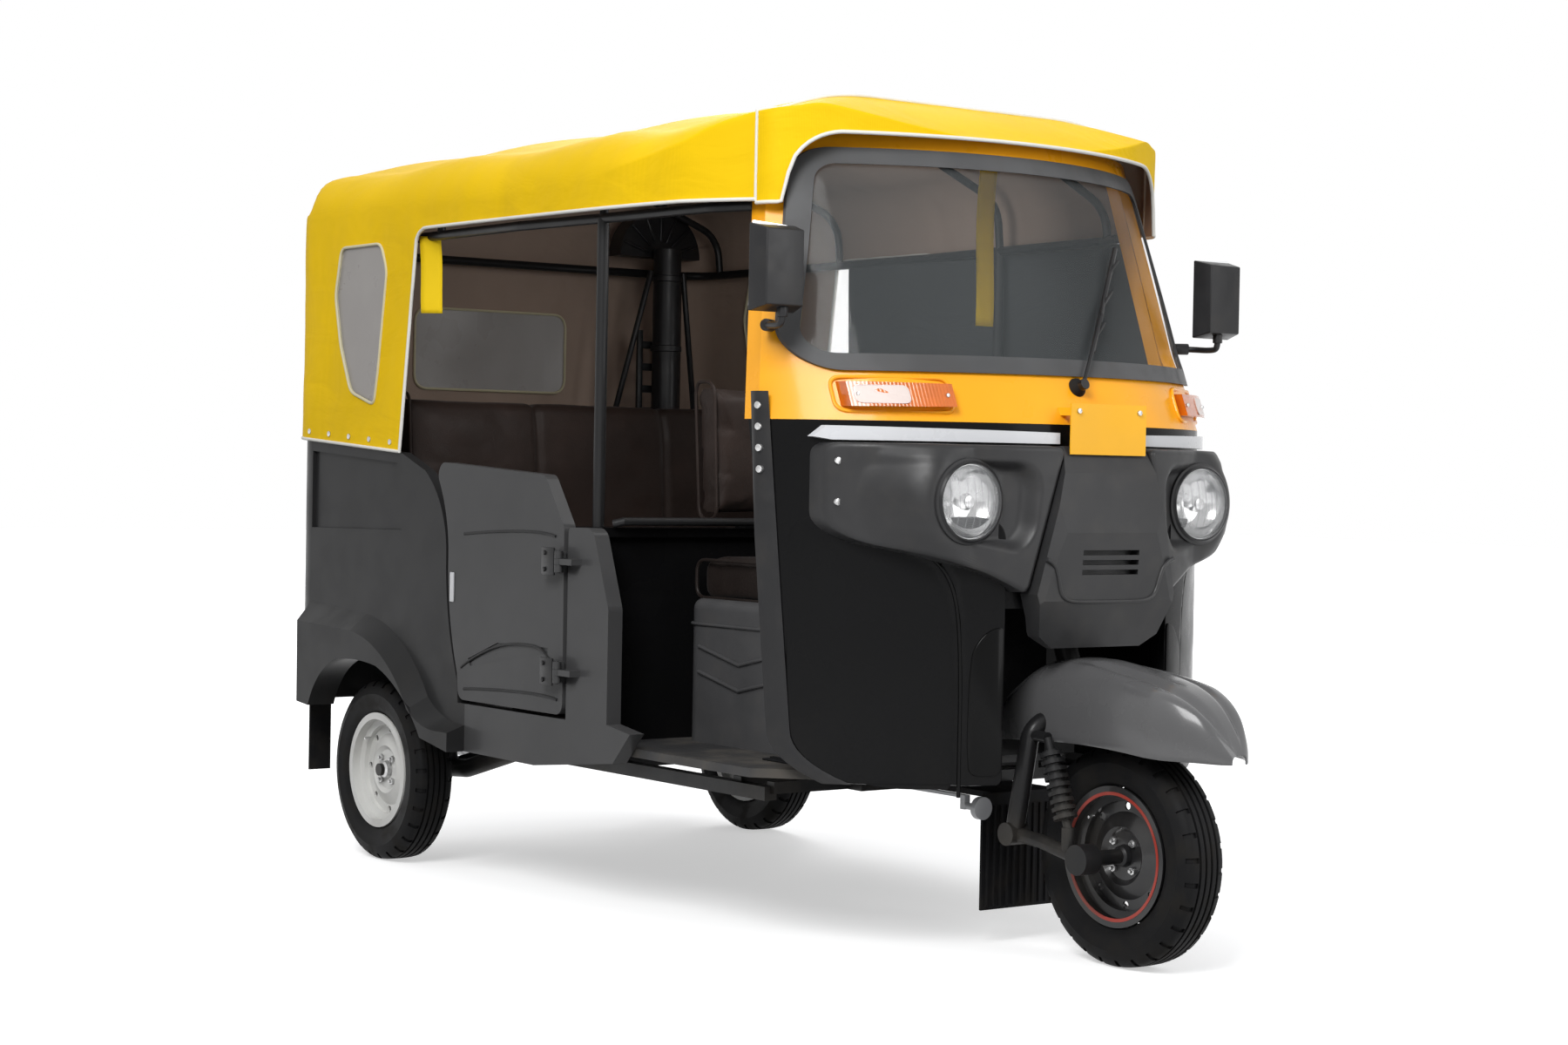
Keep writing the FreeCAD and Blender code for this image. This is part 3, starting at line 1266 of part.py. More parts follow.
def make_wheel(name, along, across, outward):
    """Tyre and rim turned about the axle; outward is the side that the disc faces."""
    tyre = new_body(name + "_tyre_ring")
    turn(tyre, "XY_Plane", [
        ("-(rim_width / 2 - 5 - soft_gap)", "rim_seat_radius + soft_gap"),
        ("rim_width / 2 - 5 - soft_gap", "rim_seat_radius + soft_gap"),
        ("rim_width / 2 - 5 - soft_gap", "rim_radius + soft_gap"),
        ("rim_width / 2 + 2", "rim_radius + 1", "90"),
        ("tyre_width / 2 - 10", "tyre_radius - 12", "26"),
        ("tyre_width / 2 - 26", "tyre_radius"),
        ("-(tyre_width / 2 - 26)", "tyre_radius", "26"),
        ("-(tyre_width / 2 - 10)", "tyre_radius - 12", "90"),
        ("-(rim_width / 2 + 2)", "rim_radius + 1"),
        ("-(rim_width / 2 - 5 - soft_gap)", "rim_radius + soft_gap"),
    ], "H_Axis")
    rim = new_body(name + "_rim_ring")
    side = f"({outward})"
    turn(rim, "XY_Plane", [
        ("-rim_width / 2", "rim_radius"),
        ("-(rim_width / 2 - 5)", "rim_radius"),
        ("-(rim_width / 2 - 5)", "rim_seat_radius"),
        ("-rim_width / 4", "rim_seat_radius"),
        ("-rim_width / 5", "rim_seat_radius - 15"),
        ("rim_width / 5", "rim_seat_radius - 15"),
        ("rim_width / 4", "rim_seat_radius"),
        ("rim_width / 2 - 5", "rim_seat_radius"),
        ("rim_width / 2 - 5", "rim_radius"),
        ("rim_width / 2", "rim_radius"),
        ("rim_width / 2", "rim_seat_radius - 4"),
        ("rim_width / 4 + 2", "rim_seat_radius - 4"),
        ("rim_width / 5 + 2", "rim_seat_radius - 19"),
        ("-(rim_width / 5 + 2)", "rim_seat_radius - 19"),
        ("-(rim_width / 4 + 2)", "rim_seat_radius - 4"),
        ("-rim_width / 2", "rim_seat_radius - 4"),
    ], "H_Axis")
    disc = new_body(name + "_disc")
    turn(disc, "XY_Plane", [
        ("disc_face - 4", "rim_seat_radius - 18"),
        ("disc_face - 4", "rim_seat_radius - 40"),
        ("disc_face + 10", "58"),
        ("disc_face + 2", "48"),
        ("disc_face + 2", "axle_radius + 0.3"),
        ("disc_face - 58", "axle_radius + 0.3"),
        ("disc_face - 58", "drum_radius"),
        ("disc_face - 10", "drum_radius"),
        ("disc_face - 6", "66"),
        ("disc_face - 9", "rim_seat_radius - 40"),
        ("disc_face - 9", "rim_seat_radius - 18"),
    ], "H_Axis")
    slots = []
    for number in range(8):
        angle = number * 45
        slot = doc.addObject("Part::Cylinder", f"{name}_slot_{number}")
        slot.Radius = 8
        slot.Height = 60
        slot.Placement = FreeCAD.Placement(
            Vector(-20, 98 * math.cos(math.radians(angle)), 98 * math.sin(math.radians(angle))),
            Rotation(Vector(0, 1, 0), 90))
        slots.append(slot)
    doc.recompute()
    wheel = cut(name + "_rim_slotted", fuse(name + "_rim_joined", rim, disc), fuse(name + "_slots", *slots))
    for node, item in ((name + "_tyre", tyre), (name + "_rim", wheel)):
        placed = doc.addObject("Part::Compound", node + "_placed")
        placed.Links = [item]
        turn_round = Rotation(Vector(0, 0, 1), 180) if outward < 0 else Rotation()
        placed.Placement.Rotation = turn_round
        placed.setExpression("Placement.Base.x", bound(across))
        placed.setExpression("Placement.Base.y", bound(along))
        placed.setExpression("Placement.Base.z", bound("tyre_radius"))
        doc.recompute()
        keep(node, placed)


def make_wheels():
    """The three wheels."""
    make_wheel("front", "-front_axle", "0", -1)
    make_wheel("rear_right", "rear_axle", "-half_track", -1)
    make_wheel("rear_left", "rear_axle", "half_track", 1)


def make_steering():
    """Steering column with its single-sided fork, link, damper, fender and handlebar."""
    radius = value("steer_tube_radius")
    crown = on_steer_axis(488)
    offset = -value("fork_offset")
    pivot = Vector(offset, -value("fork_pivot_reach"), value("fork_pivot_height"))
    axle = Vector(0, -value("front_axle"), value("tyre_radius"))
    stem = column(crown, on_steer_axis(1090), radius)
    leg = tube([crown + STEER_AXIS * 6, Vector(offset, crown.y + 6, crown.z - 20), pivot], 19, 44)
    crown_ball = Part.makeSphere(radius + 8, crown)
    pivot_boss = column(pivot + Vector(-24, 0, 0), pivot + Vector(24, 0, 0), 23)
    shock_eye = Vector(offset, -966, 446)
    bracket = column(Vector(offset, crown.y + 6, crown.z - 40), shock_eye, 11)
    link_end = Vector(offset, axle.y, axle.z)
    arm = tube([pivot, pivot + Vector(0, -80, -6), link_end], 14, 60)
    eye = column(link_end + Vector(-16, 0, 0), link_end + Vector(26, 0, 0), 30)
    stub = column(link_end, Vector(28, axle.y, axle.z), value("axle_radius"))
    lug = column(Vector(offset, -1030, 224), Vector(offset, -1030, 276), 13)
    fork = stem.fuse([leg, crown_ball, pivot_boss, bracket, arm, eye, stub, lug])
    keep("steering_fork", feature("fork_solid", fork))
    low_eye = Vector(offset, -1030, 272)
    way = (shock_eye - low_eye).normalize()
    length = (shock_eye - low_eye).Length
    rod_part = column(low_eye, shock_eye, 9)
    pitch = (length - 60) / 8
    coils = [column(low_eye + way * (22 + number * pitch), low_eye + way * (30 + number * pitch), 24)
             for number in range(9)]
    spring = rod_part.fuse(coils + [column(low_eye + way * 20, low_eye + way * (length - 26), 17)])
    keep("front_damper", feature("damper_solid", spring.cut(fork)))
    bar_height = 1110
    clamp = on_steer_axis(bar_height)
    bar = tube([clamp + Vector(-290, 90, 0), clamp + Vector(-180, 50, 10), clamp + Vector(-50, 0, 10),
                clamp + Vector(50, 0, 10), clamp + Vector(180, 50, 10), clamp + Vector(290, 90, 0)], 12, 60)
    grips = [column(clamp + Vector(side * 290, 90, 0), clamp + Vector(side * 200, 57, 8), 17)
             for side in (-1, 1)]
    head = column(on_steer_axis(1090), on_steer_axis(1126), 30)
    keep("handlebar", feature("bar_solid", bar.fuse(grips + [head])))
    fender_outer = fender_block("fender_outside", "0")
    fender_inner = fender_block("fender_inside", "5")
    shell = cut("fender_shell", fender_outer, fender_inner)
    hole = feature("fender_hole", column(on_steer_axis(470), on_steer_axis(700), radius + 0.3))
    relief = feature("leg_relief", fork.copy())
    keep("front_fender", cut("fender_solid", cut("fender_pierced", shell, hole), relief))


def fender_block(name, inset):
    """The front fender's form, or the hollow under it, as a side outline and a plan outline."""
    profile = new_body(name + "_profile")
    pad(profile, "YZ_Plane", [
        (f"-(fender_tip - {inset} * 3)", "fender_low" if inset == "0" else "fender_low - 80"),
        (f"-(fender_back + 150)", "fender_low" if inset == "0" else "fender_low - 80"),
        (f"-(fender_back + {inset})", "fender_low - 40" if inset == "0" else "fender_low - 80"),
        (f"-(fender_back + {inset})", f"fender_top - 66 - {inset}"),
        (f"-(fender_back + 70)", f"fender_top - 14 - {inset}", "500"),
        (f"-(front_axle + 60)", f"fender_top - 14 - {inset}", "330"),
        (f"-(fender_tip - {inset} * 3)", f"fender_low + 12 - {inset}"),
    ], "-200", "200")
    plan = new_body(name + "_plan")
    pad(plan, "XY_Plane", [
        (f"-(40 - {inset})", f"-(fender_tip - {inset} * 2)", "80"),
        (f"40 - {inset}", f"-(fender_tip - {inset} * 2)", "600"),
        (f"fender_half - {inset}", f"-(front_axle + 100)"),
        (f"fender_half - {inset}", f"-(fender_back + 60)"),
        (f"fender_half - 50 - {inset}", f"-(fender_back + {inset})"),
        (f"-(fender_half - 50 - {inset})", f"-(fender_back + {inset})"),
        (f"-(fender_half - {inset})", f"-(fender_back + 60)"),
        (f"-(fender_half - {inset})", f"-(front_axle + 100)", "600"),
    ], "300", "700")
    section = new_body(name + "_section")
    pad(section, "XZ_Plane", [
        (f"-(fender_half - {inset})", "300"),
        (f"fender_half - {inset}", "300"),
        (f"fender_half - {inset}", f"fender_top - 90", "80"),
        (f"fender_half - 70", f"fender_top - 8 - {inset}", "500"),
        (f"-(fender_half - 70)", f"fender_top - 8 - {inset}", "80"),
        (f"-(fender_half - {inset})", f"fender_top - 90"),
    ], "700", "1450")
    return common(name, profile, plan, section)


def make_chassis():
    """Ladder rails with cross members, the steering head, sill members and rear pick-ups."""
    top = "floor_top - floor_thick"
    foot = f"{top} - frame_depth"
    parts = []
    for side in (-1, 1):
        parts.append(box(f"rail_{side}", (f"{side} * rail_half - frame_half", "-frame_front", foot),
                         (f"{side} * rail_half + frame_half", "frame_rear", top)))
        parts.append(box(f"upright_{side}", (f"{side} * upright_half - 14", "-frame_front", foot),
                         (f"{side} * upright_half + 14", "-(frame_front - 28)", "bridge_height + 28")))
        parts.append(box(f"sill_{side}", (f"{side} * sill_member_half - 15", "-560", f"{foot} - 14"),
                         (f"{side} * sill_member_half + 15", "quarter_foot - 40", f"{foot} + 14")))
        parts.append(box(f"tower_{side}", (f"{side} * rear_pick_up - 12", "frame_rear - 100", f"{top} - 4"),
                         (f"{side} * rear_pick_up + 12", "frame_rear - 76", "bench_height - 14")))
        between = f"{side} * (rail_half + rear_pick_up) / 2"
        parts.append(box(f"tower_foot_{side}", (f"{between} - 44", "frame_rear - 100", f"{top} - 24"),
                         (f"{between} + 44", "frame_rear - 76", f"{top} - 4")))
        parts.append(box(f"engine_mount_{side}", (f"{side} * 120 - 12", "rear_axle + 200", f"{foot} + 6"),
                         (f"{side} * 120 + 12", "frame_rear - 20", f"{foot} + 30")))
    for number, along in enumerate(("-frame_front + 28", "-430", "0", "quarter_foot - 60")):
        reach = "sill_member_half" if number in (1, 2, 3) else "rail_half"
        parts.append(box(f"cross_{number}", (f"-{reach}", f"{along} - 28", foot),
                         (reach, along, f"{foot} + 24")))
    parts.append(box("cross_front", ("-sill_member_half", "-572", foot),
                     ("sill_member_half", "-548", f"{foot} + 24")))
    parts.append(box("cross_rear", ("-rail_half", "frame_rear - 28", foot),
                     ("rail_half", "frame_rear", f"{foot} + 30")))
    parts.append(box("bridge", ("-upright_half", "-frame_front", "bridge_height"),
                     ("upright_half", "-(frame_front - 28)", "bridge_height + 28")))
    parts.append(box("bridge_arm", ("-20", "-790", "bridge_height"),
                     ("20", "-(frame_front - 14)", "bridge_height + 28")))
    radius = value("steer_tube_radius")
    head = feature("head_tube", column(on_steer_axis(742), on_steer_axis(930), radius + 12))
    bore = feature("head_bore", column(on_steer_axis(700), on_steer_axis(1000), radius + 0.3))
    keep("chassis_frame", cut("frame_solid", fuse("frame_welded", *parts, head), bore))


def make_drive():
    """Engine block, drive shafts, trailing arms with axle stubs, dampers, exhaust."""
    engine = box("engine_block", ("-engine_half", "rear_axle - 110", "tyre_radius + 10"),
                 ("engine_half", "rear_axle + 200", "bench_height - 40"))
    keep("engine", engine)
    arm_x = value("half_track") - 118
    axle = Vector(-(value("half_track")), value("rear_axle"), value("tyre_radius"))
    pivot = Vector(-arm_x + 30, value("rear_axle") - 400, value("floor_top") - 70)
    hub = Vector(-arm_x, axle.y, axle.z)
    arm = tube([pivot, Vector(-arm_x + 4, axle.y - 150, axle.z + 10), hub], 22, 60)
    cross = column(pivot + Vector(-30, 0, 0), pivot + Vector(110, 0, 0), 24)
    carrier = column(hub + Vector(-26, 0, 0), hub + Vector(24, 0, 0), 48)
    stub = column(hub, Vector(axle.x - 40, axle.y, axle.z), value("axle_radius"))
    frame = node_named("chassis_frame").Shape
    arm_right = arm.fuse([cross, carrier, stub]).cut(frame)
    shaft = column(Vector(-value("engine_half"), axle.y + 10, axle.z + 50), hub + Vector(24, 0, 0), 13)
    driven = arm_right.fuse(shaft).cut(engine.Shape)
    keep("rear_suspension", pair("suspension_pair", feature("suspension_right", driven)))
    low_eye = hub + Vector(10, -70, 20)
    high_eye = Vector(-value("rear_pick_up"), value("frame_rear") - 100 - 13, value("bench_height") - 60)
    way = (high_eye - low_eye).normalize()
    length = (high_eye - low_eye).Length
    pitch = (length - 120) / 6
    body = column(low_eye, high_eye, 13).fuse([
        column(low_eye + way * (60 + number * pitch), low_eye + way * (70 + number * pitch), 32)
        for number in range(7)])
    keep("rear_dampers", pair("damper_pair", feature("damper_right", body.cut([driven, frame]))))


def make_rear_fittings():
    """Tail lamps, bumper bar, mud flaps, front flap, horn and the intake tower."""
    lamp = box("tail_lamp_block",
               ("-(body_half - body_corner - 4)", "body_rear + soft_gap", "crease_height - 96"),
               ("-(quarter_end + 12)", "body_rear + 30", "crease_height + 44"))
    keep("tail_lamps", pair("tail_lamp_pair", lamp))
    bar_level = value("body_low") + 26
    rear = value("bumper_rear") - 16
    bar = tube([Vector(-470, value("body_rear") + 1, bar_level), Vector(-430, rear, bar_level),
                Vector(430, rear, bar_level), Vector(470, value("body_rear") + 1, bar_level)], 16, 20)
    behind = [item.Shape for item in nodes if item.Label in
              ("rear_panel", "quarter_panel_right", "quarter_panel_left")]
    keep("rear_bumper", feature("bumper_solid", bar.cut(behind)))
    flap = box("rear_flap", ("-(half_track + 25)", "body_rear - 26", "flap_low"),
               ("-(half_track - 34)", "body_rear - 20", "body_low"))
    level = "floor_top - floor_thick - frame_depth"
    front_flap = box("front_flap_sheet", ("-flap_half", "-(well_back + 98)", "front_flap_low"),
                     ("flap_half", "-(well_back + 92)", level))
    hanger = box("front_flap_hanger", ("-(flap_half - 30)", "-(well_back + 98)", f"{level} - 12"),
                 ("flap_half - 30", "-552", level))
    front = fuse("front_flap_solid", front_flap, hanger)
    keep("mud_flaps", group("flap_set", front, pair("rear_flap_pair", flap)))
    across = -value("horn_across")
    height = value("horn_height")
    face, back, root = [-value("horn_front") + reach for reach in (0, 14, 60)]
    disc = column(Vector(across, face, height), Vector(across, back, height), value("horn_radius"))
    arm = column(Vector(across, back, height), Vector(across, root, height), 7)
    riser = box("horn_riser", ("-(horn_across + 7)", "-(horn_front - 50)", "horn_height - 7"),
                ("-(horn_across - 7)", "-(horn_front - 64)", level))
    foot = box("horn_foot", ("-(horn_across + 7)", "-(horn_front - 50)", f"{level} - 6"),
               ("-(horn_across - 7)", "-552", level))
    mounted = fuse("horn_mounted", feature("horn_disc", disc.fuse(arm)), riser, foot)
    keep("horn", cut("horn_solid", mounted, node_named("chassis_frame")))
    across = value("tower_across")
    along = value("tower_along")
    top = value("tower_top")
    tower = column(Vector(across, along, value("bench_height")), Vector(across, along, top),
                   value("tower_radius"))
    dome = column(Vector(across, along + 34, top - 20), Vector(across, along + 94, top - 20),
                  value("dome_radius"))
    lower = box("dome_below", ("tower_across - 216", "tower_along", "tower_top - 260"),
                ("tower_across + 284", "tower_along + 100", "tower_top - 20"))
    keep("intake_tower", fuse("tower_solid", feature("tower_column", tower),
                              cut("tower_dome", feature("dome_disc", dome), lower)))


def export_all():
    """Check every object and write each sub-part to its own file."""
    doc.recompute()
    for item in doc.Objects:
        if "Invalid" in item.State or "Error" in item.State:
            raise RuntimeError(f"{item.Name} failed: {item.State}")
    os.makedirs("parts", exist_ok=True)
    for item in nodes:
        shape = item.Shape
        if shape.isNull() or not shape.isValid() or not shape.Solids:
            raise RuntimeError(f"{item.Label} has no valid solid")
    for item in nodes:
        item.Shape.exportStep(f"parts/{item.Label}.step")


make_cab()
make_lower_front()
make_bezels()
make_nose()
make_front_trim()
make_wiper()
make_mirrors()
make_rear_body()
make_sides()
make_hood()
make_hood_frame()
make_curtain()
make_interior()
make_wheels()
make_steering()
make_chassis()
make_drive()
make_rear_fittings()
export_all()
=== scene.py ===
"""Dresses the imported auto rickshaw: finishes, canvas, upholstery, tyres, fittings, studio."""

import logging
import math
from collections.abc import Callable, Sequence
from dataclasses import dataclass
from enum import Enum

import bpy
from mathutils import Matrix, Vector, noise


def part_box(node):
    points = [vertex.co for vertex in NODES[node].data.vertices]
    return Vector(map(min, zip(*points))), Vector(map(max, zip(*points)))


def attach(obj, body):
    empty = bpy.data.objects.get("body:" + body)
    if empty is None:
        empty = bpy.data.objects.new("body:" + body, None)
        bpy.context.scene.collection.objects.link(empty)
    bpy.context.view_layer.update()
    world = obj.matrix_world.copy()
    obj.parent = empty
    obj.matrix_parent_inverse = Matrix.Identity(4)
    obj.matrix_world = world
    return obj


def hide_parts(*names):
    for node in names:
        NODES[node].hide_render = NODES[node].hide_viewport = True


Piece = bpy.types.Object
Socket = bpy.types.NodeSocket
Pair = tuple[float, float]
Triple = tuple[float, float, float]
Outline = tuple[Pair, ...]

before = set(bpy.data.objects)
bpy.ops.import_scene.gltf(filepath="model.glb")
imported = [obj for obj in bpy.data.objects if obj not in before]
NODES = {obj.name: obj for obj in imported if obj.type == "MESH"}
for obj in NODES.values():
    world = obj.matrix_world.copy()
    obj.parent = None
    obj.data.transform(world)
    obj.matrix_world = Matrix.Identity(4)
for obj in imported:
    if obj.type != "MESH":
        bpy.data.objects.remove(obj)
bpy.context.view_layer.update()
LOG = logging.getLogger("rickshaw")
MIRROR = Matrix.Scale(-1, 4, Vector((1, 0, 0)))
LAMP_X, LAMP_Z = 0.314, 0.910
BEAD = 0.0042


class Body(Enum):
    """The moving bodies that a piece can ride on."""

    CHASSIS = "chassis"
    STEERING = "steering"
    FRONT_WHEEL = "front_wheel"
    REAR_WHEEL_RIGHT = "rear_wheel_right"
    REAR_WHEEL_LEFT = "rear_wheel_left"
    DOOR_RIGHT = "door_right"
    DOOR_LEFT = "door_left"
    HATCH = "hatch"


class NodePad:
    """The node tree of one material while it is laid out."""

    def __init__(self, name: str) -> None:
        """Starts a material with its Principled shader and object coordinates.

        Args:
            name: Name of the material.
        """
        self.material = bpy.data.materials.new(name)
        self.material.use_nodes = True
        self.tree = self.material.node_tree
        self.shader = self.tree.nodes["Principled BSDF"]
        self.place = self.node("ShaderNodeTexCoord").outputs["Object"]

    def node(self, kind: str, **settings: object) -> bpy.types.Node:
        """Adds a node and sets its attributes.

        Args:
            kind: Blender's name of the node type.
            **settings: Attributes of the node.

        Returns:
            The new node.
        """
        made = self.tree.nodes.new(kind)
        for key, setting in settings.items():
            setattr(made, key, setting)
        return made

    def join(self, source: Socket, target: Socket) -> None:
        """Links two sockets."""
        self.tree.links.new(source, target)

    def stretched(self, stretch: Sequence[float]) -> Socket:
        """Returns the object coordinates scaled by a factor along each axis."""
        mapping = self.node("ShaderNodeMapping")
        mapping.inputs["Scale"].default_value = stretch
        self.join(self.place, mapping.inputs["Vector"])
        return mapping.outputs["Vector"]

    def noise(self, scale: float, detail: float = 3.0, stretch: Sequence[float] | None = None,
              warp: float = 0.0) -> Socket:
        """Adds a noise texture.

        Args:
            scale: Number of features per metre.
            detail: Octaves.
            stretch: Factors along the axes, for streaks.
            warp: Distortion.

        Returns:
            The noise value, about 0.3 to 0.7.
        """
        made = self.node("ShaderNodeTexNoise")
        made.inputs["Scale"].default_value = scale
        made.inputs["Detail"].default_value = detail
        made.inputs["Distortion"].default_value = warp
        self.join(self.place if stretch is None else self.stretched(stretch), made.inputs["Vector"])
        return made.outputs["Fac"]

    def cells(self, scale: float) -> Socket:
        """Returns the distance value of a cell pattern with the given cells per metre."""
        made = self.node("ShaderNodeTexVoronoi")
        made.inputs["Scale"].default_value = scale
        self.join(self.place, made.inputs["Vector"])
        return made.outputs["Distance"]

    def bands(self, direction: str, pitch: float, wobble: float = 0.0) -> Socket:
        """Adds parallel bands across one axis.

        Args:
            direction: X, Y, Z or DIAGONAL.
            pitch: Distance between the bands in metres.
            wobble: Distortion of the bands.

        Returns:
            The band value, 0 to 1.
        """
        made = self.node("ShaderNodeTexWave", bands_direction=direction)
        made.inputs["Scale"].default_value = math.tau / 20 / pitch
        made.inputs["Distortion"].default_value = wobble
        self.join(self.place, made.inputs["Vector"])
        return made.outputs["Fac"]

    def axis(self, name: str) -> Socket:
        """Returns one object coordinate in metres."""
        split = self.node("ShaderNodeSeparateXYZ")
        self.join(self.place, split.inputs[0])
        return split.outputs[name]

    def grade(self, source: Socket, low: float, high: float,
              to_low: float = 0.0, to_high: float = 1.0) -> Socket:
        """Maps a value from one range to another, smoothly and clamped."""
        made = self.node("ShaderNodeMapRange", interpolation_type="SMOOTHSTEP")
        for key, number in (("From Min", low), ("From Max", high), ("To Min", to_low), ("To Max", to_high)):
            made.inputs[key].default_value = number
        self.join(source, made.inputs["Value"])
        return made.outputs["Result"]

    def math(self, operation: str, first: Socket,
             second: Socket | float) -> Socket:
        """Combines two values by a Math operation."""
        made = self.node("ShaderNodeMath", operation=operation)
        self.join(first, made.inputs[0])
        if isinstance(second, (int, float)):
            made.inputs[1].default_value = second
        else:
            self.join(second, made.inputs[1])
        return made.outputs[0]

    def blend(self, amount: Socket, low: Sequence[float] | Socket,
              high: Sequence[float] | Socket) -> Socket:
        """Mixes two colours by an amount."""
        made = self.node("ShaderNodeMix", data_type="RGBA")
        self.join(amount, made.inputs[0])
        for index, colour in ((6, low), (7, high)):
            if isinstance(colour, Socket):
                self.join(colour, made.inputs[index])
            else:
                made.inputs[index].default_value = (*colour[:3], 1.0)
        return made.outputs[2]

    def tinted(self, amount: Socket, colour: Sequence[float], low: float,
               high: float) -> Socket:
        """Mixes two strengths of one colour by an amount."""
        return self.blend(amount, scaled(colour, low), scaled(colour, high))

    def bump(self, height: Socket, depth: float, strength: float = 0.6,
             under: Socket | None = None) -> Socket:
        """Adds relief.

        Args:
            height: The relief, 0 to 1.
            depth: Its depth in metres.
            strength: How strongly it shades.
            under: Another relief that it lies on.

        Returns:
            The bumped normal.
        """
        made = self.node("ShaderNodeBump")
        made.inputs["Distance"].default_value = depth
        made.inputs["Strength"].default_value = strength
        self.join(height, made.inputs["Height"])
        if under is not None:
            self.join(under, made.inputs["Normal"])
        return made.outputs["Normal"]

    def set(self, **values: object) -> None:
        """Sets constant shader values; underscores in the names stand for spaces."""
        for key, number in values.items():
            self.shader.inputs[key.replace("_", " ")].default_value = number

    def feed(self, key: str, source: Socket) -> None:
        """Links a value to one of the shader's inputs."""
        self.join(source, self.shader.inputs[key])


def scaled(colour: Sequence[float], factor: float) -> Triple:
    """Returns a colour multiplied by a factor."""
    return tuple(min(1.0, part * factor) for part in colour[:3])


ROAD_DUST = (0.19, 0.165, 0.13)


@dataclass(frozen=True)
class Enamel:
    """Sprayed enamel on sheet steel, with dust near the ground, a fine orange-peel ripple and soft dents."""

    colour: Triple
    roughness: float = 0.32
    gloss: float = 0.3
    dust: float = 0.35
    dust_reach: float = 0.9
    shine: float = 0.3

    def make(self, name: str) -> bpy.types.Material:
        """Returns the enamel as a material."""
        pad = NodePad(name)
        tone = pad.grade(pad.noise(2.6, 4), 0.3, 0.7)
        paint = pad.tinted(tone, self.colour, 0.93, 1.06)
        low = pad.grade(pad.axis("Z"), 0.1, self.dust_reach, 1.0, 0.0)
        cloud = pad.grade(pad.noise(7, 6, (1, 1, 0.45)), 0.42, 0.72)
        dusty = pad.math("MULTIPLY", pad.math("MULTIPLY", low, cloud), self.dust)
        pad.feed("Base Color", pad.blend(dusty, paint, ROAD_DUST))
        rough = pad.grade(pad.noise(11, 5), 0.3, 0.7, self.roughness - 0.05, self.roughness + 0.09)
        pad.feed("Roughness", pad.math("ADD", rough, pad.math("MULTIPLY", dusty, 0.6)))
        pad.set(Coat_Weight=self.gloss, Coat_Roughness=0.12, Specular_IOR_Level=self.shine)
        peel = pad.bump(pad.noise(420, 2), 0.0004, 0.10)
        dents = pad.bump(pad.noise(3.2, 2), 0.004, 0.12, peel)
        pad.feed("Normal", dents)
        return pad.material


@dataclass(frozen=True)
class Moulding:
    """Injection moulded plastic with a fine grain."""

    colour: Triple
    roughness: float = 0.5
    grain: float = 900
    depth: float = 0.00025
    dust: float = 0.2

    def make(self, name: str) -> bpy.types.Material:
        """Returns the moulding as a material."""
        pad = NodePad(name)
        tone = pad.grade(pad.noise(4, 3), 0.35, 0.7)
        base = pad.tinted(tone, self.colour, 0.9, 1.1)
        film = pad.math("MULTIPLY", pad.grade(pad.noise(16, 5), 0.45, 0.75), self.dust)
        pad.feed("Base Color", pad.blend(film, base, scaled(ROAD_DUST, 0.7)))
        rough = pad.grade(pad.noise(22, 4), 0.3, 0.7, self.roughness - 0.06, self.roughness + 0.1)
        pad.feed("Roughness", rough)
        pad.set(Specular_IOR_Level=0.25)
        pad.feed("Normal", pad.bump(pad.cells(self.grain), self.depth, 0.35))
        return pad.material


@dataclass(frozen=True)
class CoatedCanvas:
    """Woven canvas with a rubbery coat: fine weave, soft creases and faded patches."""

    colour: Triple
    thread: float = 0.0014
    crease: float = 0.5
    roughness: float = 0.62
    soil: float = 0.25

    def make(self, name: str) -> bpy.types.Material:
        """Returns the canvas as a material."""
        pad = NodePad(name)
        fade = pad.grade(pad.noise(1.7, 5), 0.3, 0.72)
        cloth = pad.tinted(fade, self.colour, 0.9, 1.05)
        streak = pad.math("MULTIPLY", pad.grade(pad.noise(9, 6, (1, 1, 0.25)), 0.5, 0.8), self.soil)
        weave = pad.math("MULTIPLY", pad.bands("Y", self.thread, 0.4),
                         pad.math("ADD", pad.bands("X", self.thread, 0.4), pad.bands("Z", self.thread, 0.4)))
        shade = pad.math("MULTIPLY", pad.grade(weave, 0.0, 1.4, 1.0, 0.0), 0.10)
        soiled = pad.blend(streak, cloth, scaled(self.colour, 0.55))
        pad.feed("Base Color", pad.blend(shade, soiled, scaled(self.colour, 0.5)))
        pad.set(Roughness=self.roughness, Specular_IOR_Level=0.12, Sheen_Weight=0.02, Sheen_Roughness=0.4)
        threads = pad.bump(weave, 0.0003, 0.25)
        folds = pad.bump(pad.noise(5.5, 4, (1, 0.6, 1.4), 0.8), 0.009, self.crease, threads)
        pad.feed("Normal", folds)
        return pad.material


@dataclass(frozen=True)
class Upholstery:
    """Vinyl upholstery with a leather grain and rubbed high spots."""

    colour: Triple
    roughness: float = 0.48
    grain: float = 420

    def make(self, name: str) -> bpy.types.Material:
        """Returns the vinyl as a material."""
        pad = NodePad(name)
        rub = pad.grade(pad.noise(6, 5), 0.4, 0.75)
        base = pad.tinted(rub, self.colour, 0.85, 1.35)
        pad.feed("Base Color", base)
        rough = pad.grade(pad.noise(14, 4), 0.3, 0.7, self.roughness - 0.08, self.roughness + 0.1)
        pad.feed("Roughness", rough)
        grain = pad.bump(pad.cells(self.grain), 0.0006, 0.4)
        creases = pad.bump(pad.noise(26, 5, None, 1.2), 0.003, 0.3, grain)
        pad.feed("Normal", creases)
        pad.set(Sheen_Weight=0.03, Specular_IOR_Level=0.16)
        return pad.material


